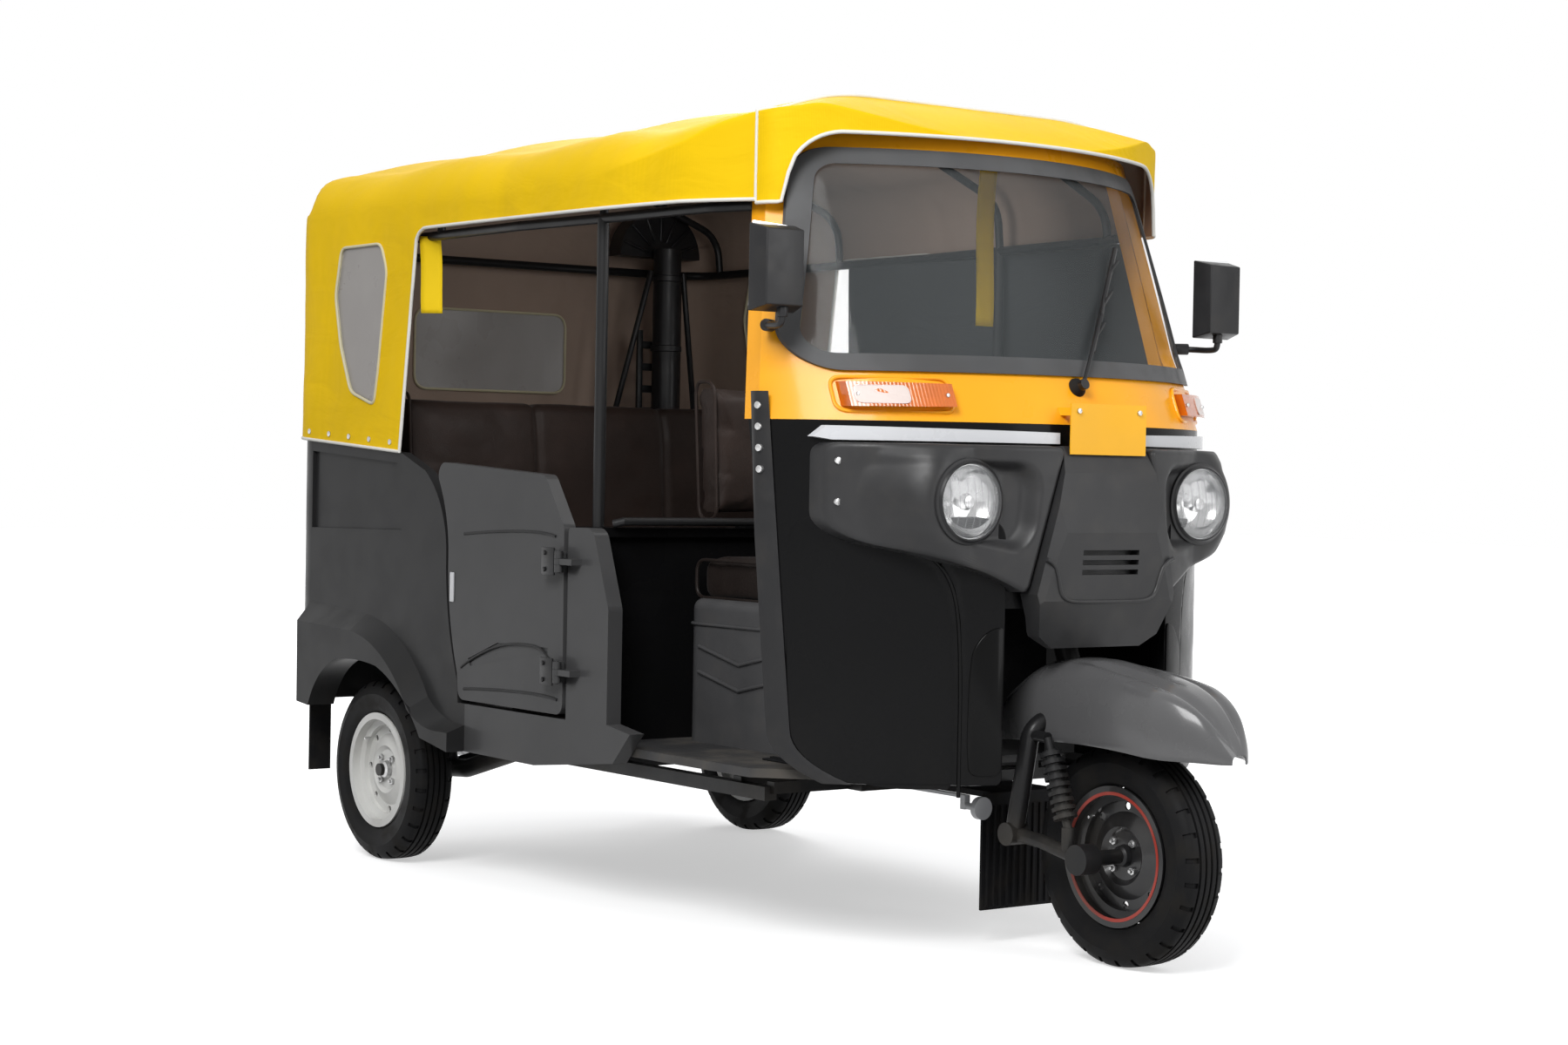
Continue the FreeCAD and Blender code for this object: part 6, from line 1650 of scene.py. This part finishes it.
@dataclass
class Bezel(MouldedPanel):
    """The right headlamp bezel, with its hollow beside the lamp and its swell round it."""

    lamp: Pair = (-LAMP_X, LAMP_Z)
    lamp_face: float = -0.929
    hollow: Outline = (
        (-0.560, 1.004), (-0.560, 0.876), (-0.300, 0.826), (-0.208, 0.808), (-0.174, 0.850),
        (-0.164, 0.955), (-0.196, 0.992))

    def inside(self, loop: Sequence[Pair], x: float, z: float) -> bool:
        """Returns whether a point lies inside an outline."""
        within = False
        for (ax, az), (bx, bz) in zip(loop, loop[1:] + loop[:1]):
            if (az > z) != (bz > z) and x < ax + (bx - ax) * (z - az) / (bz - az):
                within = not within
        return within

    def depth(self, x: float, z: float) -> float:
        """Returns how far the face stands ahead of the cab's skin."""
        loop = rounded_loop(list(self.hollow), 0.030, 4)
        reach = self.edge_distance(loop, x, z) if self.inside(loop, x, z) else 0.0
        dish = 0.031 * eased(reach, 0.0, 0.026) * eased(x, -0.500, -0.350)
        face = skin_y(CAB_RADIUS, CAB_FRONT + self.proud - dish, x)
        away = math.hypot(x - self.lamp[0], z - self.lamp[1])
        face += (1 - eased(away, 0.084, 0.175)) * min(0.0, self.lamp_face - face)
        return -face - CAB_FRONT + CAB_RADIUS - math.sqrt(CAB_RADIUS ** 2 - x * x)

    def build(self) -> None:
        """Adds both bezels, open behind the lamps, and a collar round each lamp."""
        right = self.face()
        x, z = self.lamp
        select_faces(right, lambda face: math.hypot(face.center.x - x, face.center.z - z) < 0.0795)
        bpy.ops.mesh.delete(type="FACE")
        bpy.ops.object.mode_set(mode="OBJECT")
        collar = lathe("lamp_collar", [(0.0765, 0.050), (0.0765, -0.004), (0.0790, -0.008), (0.0845, -0.005),
                                       (0.0855, 0.002), (0.0850, 0.050), (0.0765, 0.050)],
                       (self.lamp[0], self.lamp_face, self.lamp[1]), (0, 1, 0), 72)
        right = merged("bezel_right", [right, collar])
        paired(right, "bezel_left", "bezel_grey")
        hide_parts("headlamp_bezels")


@dataclass
class ShieldRelief(MouldedPanel):
    """The moulded field of a leg shield: a step that runs along the bezel and down beside the wheel."""

    step: Outline = (
        (-0.520, 0.880), (-0.460, 0.850), (-0.389, 0.824), (-0.340, 0.792), (-0.314, 0.745),
        (-0.302, 0.680), (-0.297, 0.560), (-0.297, 0.400), (-0.297, 0.330))
    # Outline of the darker plate that paints the shade in the shield's concave pocket.
    pocket_shade: Outline = (
        (-0.256, 0.655), (-0.281, 0.620), (-0.286, 0.560), (-0.288, 0.440), (-0.284, 0.372),
        (-0.222, 0.372), (-0.222, 0.668))
    lip: float = 0.0015

    def depth(self, x: float, z: float) -> float:
        """Returns how far the face stands ahead of the cab's skin."""
        side = 9.0
        for (ax, az), (bx, bz) in zip(self.step, self.step[1:]):
            dx, dz = bx - ax, bz - az
            along = max(0.0, min(1.0, ((x - ax) * dx + (z - az) * dz) / (dx * dx + dz * dz)))
            reach = math.hypot(x - ax - along * dx, z - az - along * dz)
            if reach < abs(side):
                side = math.copysign(reach, (x - ax) * dz - (z - az) * dx)
        raised = 1 - eased(side, -0.005, 0.005)
        return self.lip + (self.proud - self.lip) * raised

    def build(self) -> None:
        """Adds the field on both leg shields, with a darker plate in its pocket as painted shade and a dark
        rod along its step as a painted shadow line.
        """
        right = self.face()
        # Painted shade: a thin plate, darker than the shield, sits in the concave pocket and stands for its
        # shade.
        loop = rounded_loop(list(self.pocket_shade), 0.020, 6)
        outline = [Vector((x, skin_y(CAB_RADIUS, CAB_FRONT + self.proud - 0.001, x), z)) for x, z in loop]
        pocket_shade = prism("shield_pocket_shade_right", outline, Vector((0, -0.0045, 0)))
        soften(pocket_shade, 0.0018, 2)
        # Painted shadow: a dark rod along the step stands for the shade line under it.
        route = [(x, cab_y(x, 0.0090), z) for x, z in self.step[1:]]
        step_shadow = bent_rod("shield_step_shadow_right", route, 0.0042, True, 3)
        paired(right, "shield_relief_left", "shield_black")
        paired(step_shadow, "shield_step_shadow_left", "painted_shade_black")
        paired(pocket_shade, "shield_pocket_shade_left", "painted_shade_black")


@dataclass
class FrontTrim:
    """What is fixed on the cab: bolts, post strips, signal and lamp parts, wiper parts, nose line."""

    bolt: tuple[float, float, int] = (0.0075, 0.0015, 12)

    def bolts(self) -> None:
        """Adds the bright bolts of the post strips, bezels and plate."""
        heads = []
        for sign in (-1, 1):
            for z in (1.092, 1.050, 1.008, 0.966):
                y = -0.612 - 0.050 * (1.120 - z) / 0.70
                heads.append(rod("bolt", (sign * 0.589, y, z), (sign * 0.5985, y - 0.003, z), *self.bolt))
            for x, z, ahead, back in ((0.512, 0.985, 0.046, 0.003), (0.512, 0.905, 0.046, 0.003),
                                      (0.300, 0.742, 0.0, 0.002)):
                y = cab_y(x, ahead)
                heads.append(rod("bolt", (sign * x, y + back, z), (sign * x, y - 0.004, z), *self.bolt))
            heads.append(rod("screw", (sign * 0.082, -0.984, 1.092), (sign * 0.082, -0.9915, 1.092),
                             0.0055, 0.0012, 12))
        assembled("front_bolts", heads, "bolt_steel")

    def post_strips(self) -> None:
        """Adds the black strips that run down the rear edges of the cab's front."""
        rows = []
        for level in range(61):
            z = 0.352 + (1.120 - 0.352) * level / 60
            lean = -0.612 - 0.050 * (1.120 - z) / 0.70 - 0.085 * max(0.0, (0.450 - z) / 0.098) ** 2
            row = []
            for step in range(7):
                y = lean + 0.040 * (step / 6 - 0.5)
                x = math.sqrt(CAB_RADIUS ** 2 - (-y - CAB_AXIS) ** 2) if y < -0.6124 else 0.591
                row.append(Vector((-x - 0.0050 + 0.0020 * abs(step / 3 - 1) ** 3, y, z)))
            rows.append(row)
        right = grid_sheet("post_strip_right", rows)
        modify(right, "SOLIDIFY", thickness=0.003, offset=0.0)
        soften(right, 0, angle=40)
        paired(right, "post_strip_left", "satin_black")

    def signals(self) -> None:
        """Adds the raised mouldings, pale ends and screws of the front signals."""
        border = rounded_loop([(0.306, 1.083), (0.494, 1.083), (0.494, 1.150), (0.306, 1.150)], 0.020, 6)
        end = rounded_loop([(0.392, 1.0985), (0.478, 1.0985), (0.478, 1.1345), (0.392, 1.1345)], 0.012, 4)
        mouldings, pales, screws = [], [], []
        for sign in (-1, 1):
            ring = [(sign * x, band_y(x, z) - 0.0015, z) for x, z in border]
            mouldings.append(bent_rod("moulding", ring + ring[:1], BEAD, False, 3))
            inner = [Vector((sign * x, band_y(x, z, 0.0238), z)) for x, z in end]
            pales.append(prism("pale_end", inner if sign < 0 else inner[::-1], Vector((0, -0.0025, 0))))
            for x, z in ((0.328, 1.1165), (0.472, 1.1165)):
                y = band_y(x, z, 0.024)
                screws.append(rod("screw", (sign * x, y, z), (sign * x, y - 0.004, z), 0.004, 0.0008, 12))
        assembled("signal_mouldings", mouldings, "cab_yellow")
        assembled("signal_clear_ends", pales, "signal_pale")
        assembled("signal_screws", screws, "bolt_steel")

    def lamps(self) -> None:
        """Adds the dark rims, bulbs and lens ribs of the headlamps."""
        rim = [(0.0730, 0.004), (0.0765, 0.006), (0.0800, 0.002), (0.0800, -0.012), (0.0745, -0.012),
               (0.0730, 0.004)]
        bulb = [(0.0, 0.0), (0.012, -0.002), (0.017, -0.012), (0.015, -0.026), (0.010, -0.040), (0.0, -0.040)]
        rims, bulbs, ribs = [], [], []
        for sign in (-1, 1):
            centre = (sign * LAMP_X, -0.935, LAMP_Z)
            rims.append(lathe("rim", rim, centre, (0, -1, 0), 64))
            bulbs.append(lathe("bulb", bulb, centre, (0, -1, 0), 32))
            for step in range(-3, 4):
                x = step * 0.018
                reach = math.sqrt(max(0.0, 0.066 ** 2 - x ** 2))
                route = [(centre[0] + x, -0.9335 - 0.018 * (1 - (x * x + z * z) / 0.0046) - 0.0005,
                          LAMP_Z + z) for z in (reach * (row / 5 - 1) for row in range(11))]
                ribs.append(bent_rod("rib", route, 0.0011, True, 1))
        assembled("lamp_rims", rims, "satin_black")
        assembled("lamp_bulbs", bulbs, "bright_metal")
        assembled("lamp_lens_ribs", ribs, "lamp_glass")

    def wiper(self) -> None:
        """Adds the wiper's rubber boot and the clips of its blade."""
        pivot = Vector((-0.028, band_y(0.028, 1.140), 1.140))
        cone = [(0.0, 0.020), (0.008, 0.019), (0.012, 0.012), (0.019, 0.004), (0.021, -0.004), (0.0, -0.004)]
        boot = lathe("wiper_boot", cone, pivot, (0, -0.92, 0.30), 32)
        dress(boot, "flap_rubber")
        parts = []
        low, high = Vector((0.030, 0, 1.215)), Vector((0.205, 0, 1.440))
        way = (high - low).normalized() * 0.022
        for share in (0.2, 0.5, 0.8):
            spot = low.lerp(high, share)
            y = band_y(spot.x, spot.z) - 0.018
            parts.append(rod("clip", (spot.x - way.x, y, spot.z - way.z), (spot.x + way.x, y, spot.z + way.z),
                             0.0032, 0.0006, 12))
        assembled("wiper_clips", parts, "satin_black")

    def nose_line(self) -> None:
        """Adds the raised line that frames the nose's vents."""
        half = ((0.172, 0.800), (0.150, 0.792), (0.138, 0.765), (0.128, 0.728), (0.104, 0.716),
                (0.05, 0.715), (0.0, 0.715))
        route = [(-x, self.nose_y(z) - 0.0002, z) for x, z in half]
        route += [(-x, y, z) for x, y, z in reversed(route[:-1])]
        line = bent_rod("nose_line", route, BEAD, True, 3)
        dress(line, "bezel_grey")

    def nose_y(self, z: float) -> float:
        """Returns how far forward the nose's face stands at a height."""
        stations = ((0.717, -0.995), (0.852, -1.005), (0.970, -0.997))
        for (low, near), (high, far) in zip(stations, stations[1:]):
            if z <= high:
                return near + (far - near) * (z - low) / (high - low)
        return stations[-1][1]

    def build(self) -> None:
        """Adds all of the front trim."""
        self.bolts()
        self.post_strips()
        self.signals()
        self.lamps()
        self.wiper()
        self.nose_line()


@dataclass
class Doors:
    """Pressed ribs, reflectors and hinge plates of the half doors."""

    skin: float = 0.626

    def build(self) -> None:
        """Adds the details of both doors."""
        right: dict[str, list[Piece]] = {"rib": [], "hinge": [], "mark": []}
        ribs = (((0.075, 0.812), (0.12, 0.822), (0.36, 0.815), (0.47, 0.806)),
                ((0.072, 0.530), (0.110, 0.555), (0.150, 0.572), (0.30, 0.566), (0.44, 0.520),
                 (0.475, 0.500)),
                ((0.060, 0.458), (0.10, 0.466), (0.36, 0.460), (0.462, 0.452)))
        for route in ribs:
            right["rib"].append(bent_rod("rib", [(-self.skin, y, z) for y, z in route], 0.0032, True, 3))
        for level in (0.520, 0.759):
            right["hinge"] += [
                block("plate", (-0.6525, 0.042, level - 0.030), (-0.6475, 0.092, level + 0.030), 0.0018),
                block("standoff", (-0.648, 0.054, level - 0.020), (-0.6255, 0.086, level + 0.020), 0.003),
                *(rod("bolt", (-0.652, 0.078, level + z), (-0.656, 0.078, level + z), 0.0055, 0.001, 6)
                  for z in (-0.018, 0.018))]
        right["mark"].append(block("reflector", (-0.6295, 0.5125, 0.648), (-0.6255, 0.5285, 0.716), 0.0015))
        looks = {"rib": "body_grey", "hinge": "satin_black", "mark": "trim_white"}
        for key, parts in right.items():
            piece = merged(f"door_{key}s_right", parts)
            twin = copied(piece, f"door_{key}s_left", MIRROR)
            dress(piece, looks[key], Body.DOOR_RIGHT)
            dress(twin, looks[key], Body.DOOR_LEFT)


@dataclass
class Cabin:
    """What the driver uses: grips, levers, dial, mat, pedal, seat box mouldings, bulkhead rail."""

    seat_levels: Pair = (0.505, 0.560)
    seat_front: float = -0.4715
    seat_half: float = 0.3765
    dial: Triple = (-0.215, -0.745, 1.048)
    dial_aim: Triple = (0, 0.34, 0.94)

    def controls(self) -> None:
        """Adds the handlebar's grips, levers and switch pods."""
        low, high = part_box("handlebar")
        rear, level = high.y - 0.017, (low.z + high.z) / 2 - 0.006
        grips, levers = [], []
        for sign in (-1, 1):
            ends = [(sign * 0.206, rear - 0.030, level + 0.008), (sign * 0.294, rear, level)]
            grips.append(bent_rod("grip", ends, 0.0195, False, 5))
            for step in range(5):
                spot = 0.222 + step * 0.016
                y = rear - 0.030 + (spot - 0.206) / 0.088 * 0.030
                grips.append(rod("ring", (sign * spot, y, level + 0.006),
                                 (sign * (spot + 0.005), y + 0.002, level + 0.005), 0.0212, 0.0008, 32))
            bends = [(sign * 0.176, rear - 0.060, level + 0.012), (sign * 0.200, rear - 0.085, level + 0.012),
                     (sign * 0.300, rear - 0.052, level + 0.004)]
            levers.append(bent_rod("lever", bends, BEAD, True, 3))
            levers.append(block("pod", (min(sign * 0.150, sign * 0.192), rear - 0.072, level - 0.018),
                                (max(sign * 0.150, sign * 0.192), rear - 0.026, level + 0.030), 0.006, 3))
        dress(merged("bar_grips", grips), "flap_rubber", Body.STEERING)
        dress(merged("bar_levers", levers), "satin_black", Body.STEERING)

    def dash(self) -> None:
        """Adds the dial housing, its bright ring and the lid on the dashboard."""
        cup = [(0.0, 0.0), (0.055, 0.0), (0.060, 0.010), (0.060, 0.046), (0.054, 0.052), (0.048, 0.048),
               (0.0, 0.048)]
        rim = [(0.047, 0.0475), (0.052, 0.0505), (0.056, 0.0535), (0.054, 0.0560), (0.046, 0.0500)]
        housing = lathe("dial_housing", cup, self.dial, self.dial_aim, 48)
        dress(housing, "satin_black")
        ring = lathe("dial_ring", rim, self.dial, self.dial_aim, 48)
        dress(ring, "bright_metal")
        glove = block("dash_lid", (0.12, -0.693, 1.016), (0.40, -0.6865, 1.052), 0.004)
        dress(glove, "bezel_grey")

    def floor(self) -> None:
        """Adds the ribbed mat and the brake pedal."""
        ribs = [block("mat", (-0.47, -0.575, 0.3722), (0.47, -0.480, 0.3765), 0.002)]
        for step in range(17):
            x = -0.448 + 0.056 * step
            ribs.append(block("rib", (x - 0.005, -0.570, 0.376), (x + 0.005, -0.484, 0.3795), 0.0012))
        assembled("floor_mat", ribs, "flap_rubber")
        pedal = [rod("stalk", (-0.250, -0.632, 0.372), (-0.250, -0.600, 0.452), 0.006, 0.001),
                 block("pad", (-0.282, -0.612, 0.446), (-0.218, -0.588, 0.462), 0.004)]
        assembled("brake_pedal", pedal, "frame_black")

    def seat_box(self) -> None:
        """Adds the moulded chevrons and the parting line of the driver's seat box."""
        side, front, rear = self.seat_half, self.seat_front, -0.0585
        bars = []
        for sign in (-1, 1):
            for level in self.seat_levels:
                bends = ((-0.415, 0.020), (-0.265, -0.012), (-0.115, 0.020))
                bars.append(bent_rod("chevron", [(sign * side, y, level + rise) for y, rise in bends], BEAD,
                                     False, 3))
        for level in self.seat_levels:
            bends = ((-0.28, 0.020), (0.0, -0.012), (0.28, 0.020))
            bars.append(bent_rod("chevron", [(x, front, level + rise) for x, rise in bends], BEAD, False, 3))
        outline = rounded_loop([(-side, front), (side, front), (side, rear), (-side, rear)], 0.052, 8)
        bars.append(bent_rod("parting", [(x, y, 0.628) for x, y in outline + outline[:1]], 0.0034, False, 3))
        assembled("seat_box_mouldings", bars, "seat_box_grey")

    def bulkhead(self) -> None:
        """Adds the rail on top of the bulkhead."""
        bends = [(-0.556, -0.044, 0.842), (-0.540, -0.060, 0.848), (0.540, -0.060, 0.848),
                 (0.556, -0.044, 0.842)]
        rail = bent_rod("bulkhead_rail", bends, 0.009, False, 4)
        dress(rail, "frame_black")

    def build(self) -> None:
        """Adds everything in the cabin."""
        self.controls()
        self.dash()
        self.floor()
        self.seat_box()
        self.bulkhead()


@dataclass
class Tower:
    """The intake tower's ribbed dome, clamps, ladder bracket and struts."""

    x: float = 0.416
    y: float = 1.200

    def build(self) -> None:
        """Adds the details round the tower."""
        bars = []
        for sign in (-1, 1):
            bars.append(rod("strut", (self.x + sign * 0.150, 1.262, 1.020),
                            (self.x + sign * 0.052, 1.200, 1.500), 0.008, 0.001, 16))
        for level in (1.060, 1.120, 1.180, 1.240, 1.300):
            bars.append(block("rung", (self.x - 0.062, 1.236, level - 0.010),
                              (self.x + 0.062, 1.242, level + 0.010), 0.001))
        for sign in (-1, 1):
            bars.append(block("stile", (self.x + sign * 0.060 - 0.008, 1.234, 0.980),
                              (self.x + sign * 0.060 + 0.008, 1.244, 1.340), 0.001))
        for level in (1.080, 1.290, 1.480):
            bars.append(lathe("clamp", [(0.0385, -0.009), (0.0425, -0.007), (0.0425, 0.007), (0.0385, 0.009)],
                              (self.x, self.y, level), (0, 0, 1), 48))
        for step in range(-3, 4):
            angle = math.radians(90 + step * 24)
            inner = (self.x + 0.045 * math.cos(angle), 1.2335, 1.540 + 0.045 * math.sin(angle))
            outer = (self.x + 0.126 * math.cos(angle), 1.2335, 1.540 + 0.126 * math.sin(angle))
            bars.append(rod("dome_rib", inner, outer, 0.0045, 0.0008, 12))
        assembled("tower_bracket", bars, "satin_black")


@dataclass
class RearTrim:
    """Tail lamp lenses, hatch handle, engine fins, exhaust and mud flap ribs."""

    def lamps(self) -> None:
        """Adds the amber sections, frames and screws of the tail lamps."""
        ambers, frames, screws = [], [], []
        for sign in (-1, 1):
            low, high = sorted((sign * 0.418, sign * 0.507))
            ambers.append(block("amber", (low, 1.3815, 0.786), (high, 1.3845, 0.826), 0.0012))
            corners = ((0.409, 0.689), (0.516, 0.689), (0.516, 0.835), (0.409, 0.835))
            ring = [(sign * x, 1.3555, z) for x, z in corners]
            frames.append(bent_rod("frame", ring + ring[:1], BEAD, False, 3))
            for z in (0.704, 0.820):
                screws.append(rod("screw", (sign * 0.4625, 1.382, z), (sign * 0.4625, 1.3865, z),
                                  0.004, 0.0008, 12))
        assembled("tail_amber", ambers, "amber")
        assembled("tail_frames", frames, "satin_black")
        assembled("tail_screws", screws, "bolt_steel")

    def hatch(self) -> None:
        """Adds the hatch's turn handle and border pressing."""
        corners = [(-0.285, 0.430), (0.285, 0.430), (0.285, 0.745), (-0.285, 0.745)]
        ring = [(x, 1.3532, z) for x, z in rounded_loop(corners, 0.03, 8)]
        border = bent_rod("hatch_border", ring + ring[:1], 0.0030, False, 3)
        dress(border, "body_grey", Body.HATCH)
        handle = [rod("boss", (0, 1.352, 0.446), (0, 1.362, 0.446), 0.016, 0.002),
                  block("lever", (-0.034, 1.360, 0.438), (0.034, 1.368, 0.454), 0.003)]
        dress(merged("hatch_handle", handle), "bolt_steel", Body.HATCH)

    def underside(self) -> None:
        """Adds the engine's fins and the silencer with its pipes."""
        fins = []
        for step in range(8):
            z = 0.262 + 0.028 * step
            fins.append(block("fin", (-0.176, 0.852, z), (0.176, 1.098, z + 0.006), 0.0015))
        assembled("engine_fins", fins, "cast_alloy")
        tail = [(-0.235, 1.195, 0.262), (-0.235, 1.260, 0.262), (-0.235, 1.330, 0.240)]
        down = [(-0.168, 0.860, 0.300), (-0.215, 0.870, 0.290), (-0.235, 0.935, 0.264)]
        pipe = [rod("silencer", (-0.235, 0.930, 0.262), (-0.235, 1.200, 0.262), 0.046, 0.010, 32),
                bent_rod("tailpipe", tail, 0.015, True, 4), bent_rod("downpipe", down, 0.014, True, 4)]
        assembled("exhaust", pipe, "damper_grey")

    def flaps(self) -> None:
        """Adds the ribs of the front mud flap."""
        ribs = []
        for step in range(13):
            x = -0.108 + 0.018 * step
            ribs.append(block("rib", (x - 0.0028, -0.7705, 0.082), (x + 0.0028, -0.7655, 0.288), 0.0012))
        assembled("front_flap_ribs", ribs, "flap_rubber")

    def build(self) -> None:
        """Adds all of the rear and underside trim."""
        self.lamps()
        self.hatch()
        self.underside()
        self.flaps()


SEATS: tuple[Cushion, ...] = (
    Cushion("driver_pad", "driver_cushion", 0.360,
            ((-0.462, 0.684), (-0.066, 0.684), (-0.066, 0.766), (-0.462, 0.766)), "seat_brown"),
    Cushion("driver_back_pad", "driver_backrest", 0.288,
            ((-0.036, 0.852), (0.032, 0.852), (0.054, 1.140), (0.044, 1.158), (0.000, 1.158),
             (-0.018, 1.140)),
            "back_brown", (), 0.007, 0.010, 0.008),
    Cushion("bench_pad", "bench_cushion", 0.558,
            ((0.488, 0.562), (0.843, 0.562), (0.843, 0.698), (0.488, 0.698)), "seat_red",
            (-0.34, 0.34), 0.010),
    Cushion("bench_back_pad", "bench_back", 0.558,
            ((0.851, 0.562), (0.923, 0.562), (0.953, 1.138), (0.881, 1.138), (0.851, 0.742)),
            "back_brown", (-0.34, 0.34), 0.010, 0.010, 0.008),
)
FRONT_HUB = (0, -1.070, 0.218)
RIGHT_HUB = (-0.550, 0.930, 0.218)
LEFT_HUB = (0.550, 0.930, 0.218)
WHEELS: tuple[Tyre | WheelDetail, ...] = (
    Tyre("tyre_front", "front_tyre", Body.FRONT_WHEEL, FRONT_HUB),
    Tyre("tyre_rear_right", "rear_right_tyre", Body.REAR_WHEEL_RIGHT, RIGHT_HUB),
    Tyre("tyre_rear_left", "rear_left_tyre", Body.REAR_WHEEL_LEFT, LEFT_HUB),
    WheelDetail("front_wheel_left_side", Body.FRONT_WHEEL, FRONT_HUB, 1, 0.014, "ring_red"),
    WheelDetail("rear_wheel_right_side", Body.REAR_WHEEL_RIGHT, RIGHT_HUB, -1, 0.014),
    WheelDetail("rear_wheel_left_side", Body.REAR_WHEEL_LEFT, LEFT_HUB, 1, 0.014),
    WheelDetail("front_wheel_right_side", Body.FRONT_WHEEL, FRONT_HUB, -1, 0.014, "ring_red"),
)
STRAPS: tuple[Strap, ...] = (
    Strap("strap_rear", (-0.598, 0.702, 1.500), (-0.596, 0.688, 1.318), 0.052, (0.7, -0.7, 0.0)),
    Strap("strap_front", (0.300, -0.262, 1.660), (0.300, -0.250, 1.300), 0.052, (1.0, 0.0, 0.0)),
)
FRONT_PANELS: tuple[Bezel | ShieldRelief, ...] = (
    Bezel("bezel_right", ((-0.530, 1.022), (-0.530, 0.862), (-0.486, 0.828), (-0.282, 0.774),
                          (-0.198, 0.731), (-0.187, 0.742), (-0.128, 0.964), (-0.112, 1.022)), 0.046),
    ShieldRelief("shield_relief_right", ((-0.556, 0.880), (-0.556, 0.440), (-0.505, 0.352), (-0.225, 0.352),
                                         (-0.217, 0.362), (-0.217, 0.880)), 0.016, 0.05, 0.004),
)


def main() -> None:
    """Dresses the whole vehicle."""
    logging.basicConfig(level=logging.INFO, format="%(name)s: %(message)s")
    dress_frame()
    for part in (Hood(), SideCurtain(), *STRAPS, *SEATS, *WHEELS, Fender(), Mirrors(), *FRONT_PANELS,
                 FrontTrim(), Doors(), Cabin(), Tower(), RearTrim(), Studio()):
        part.build()
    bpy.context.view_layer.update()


if __name__ == "__main__":
    main()
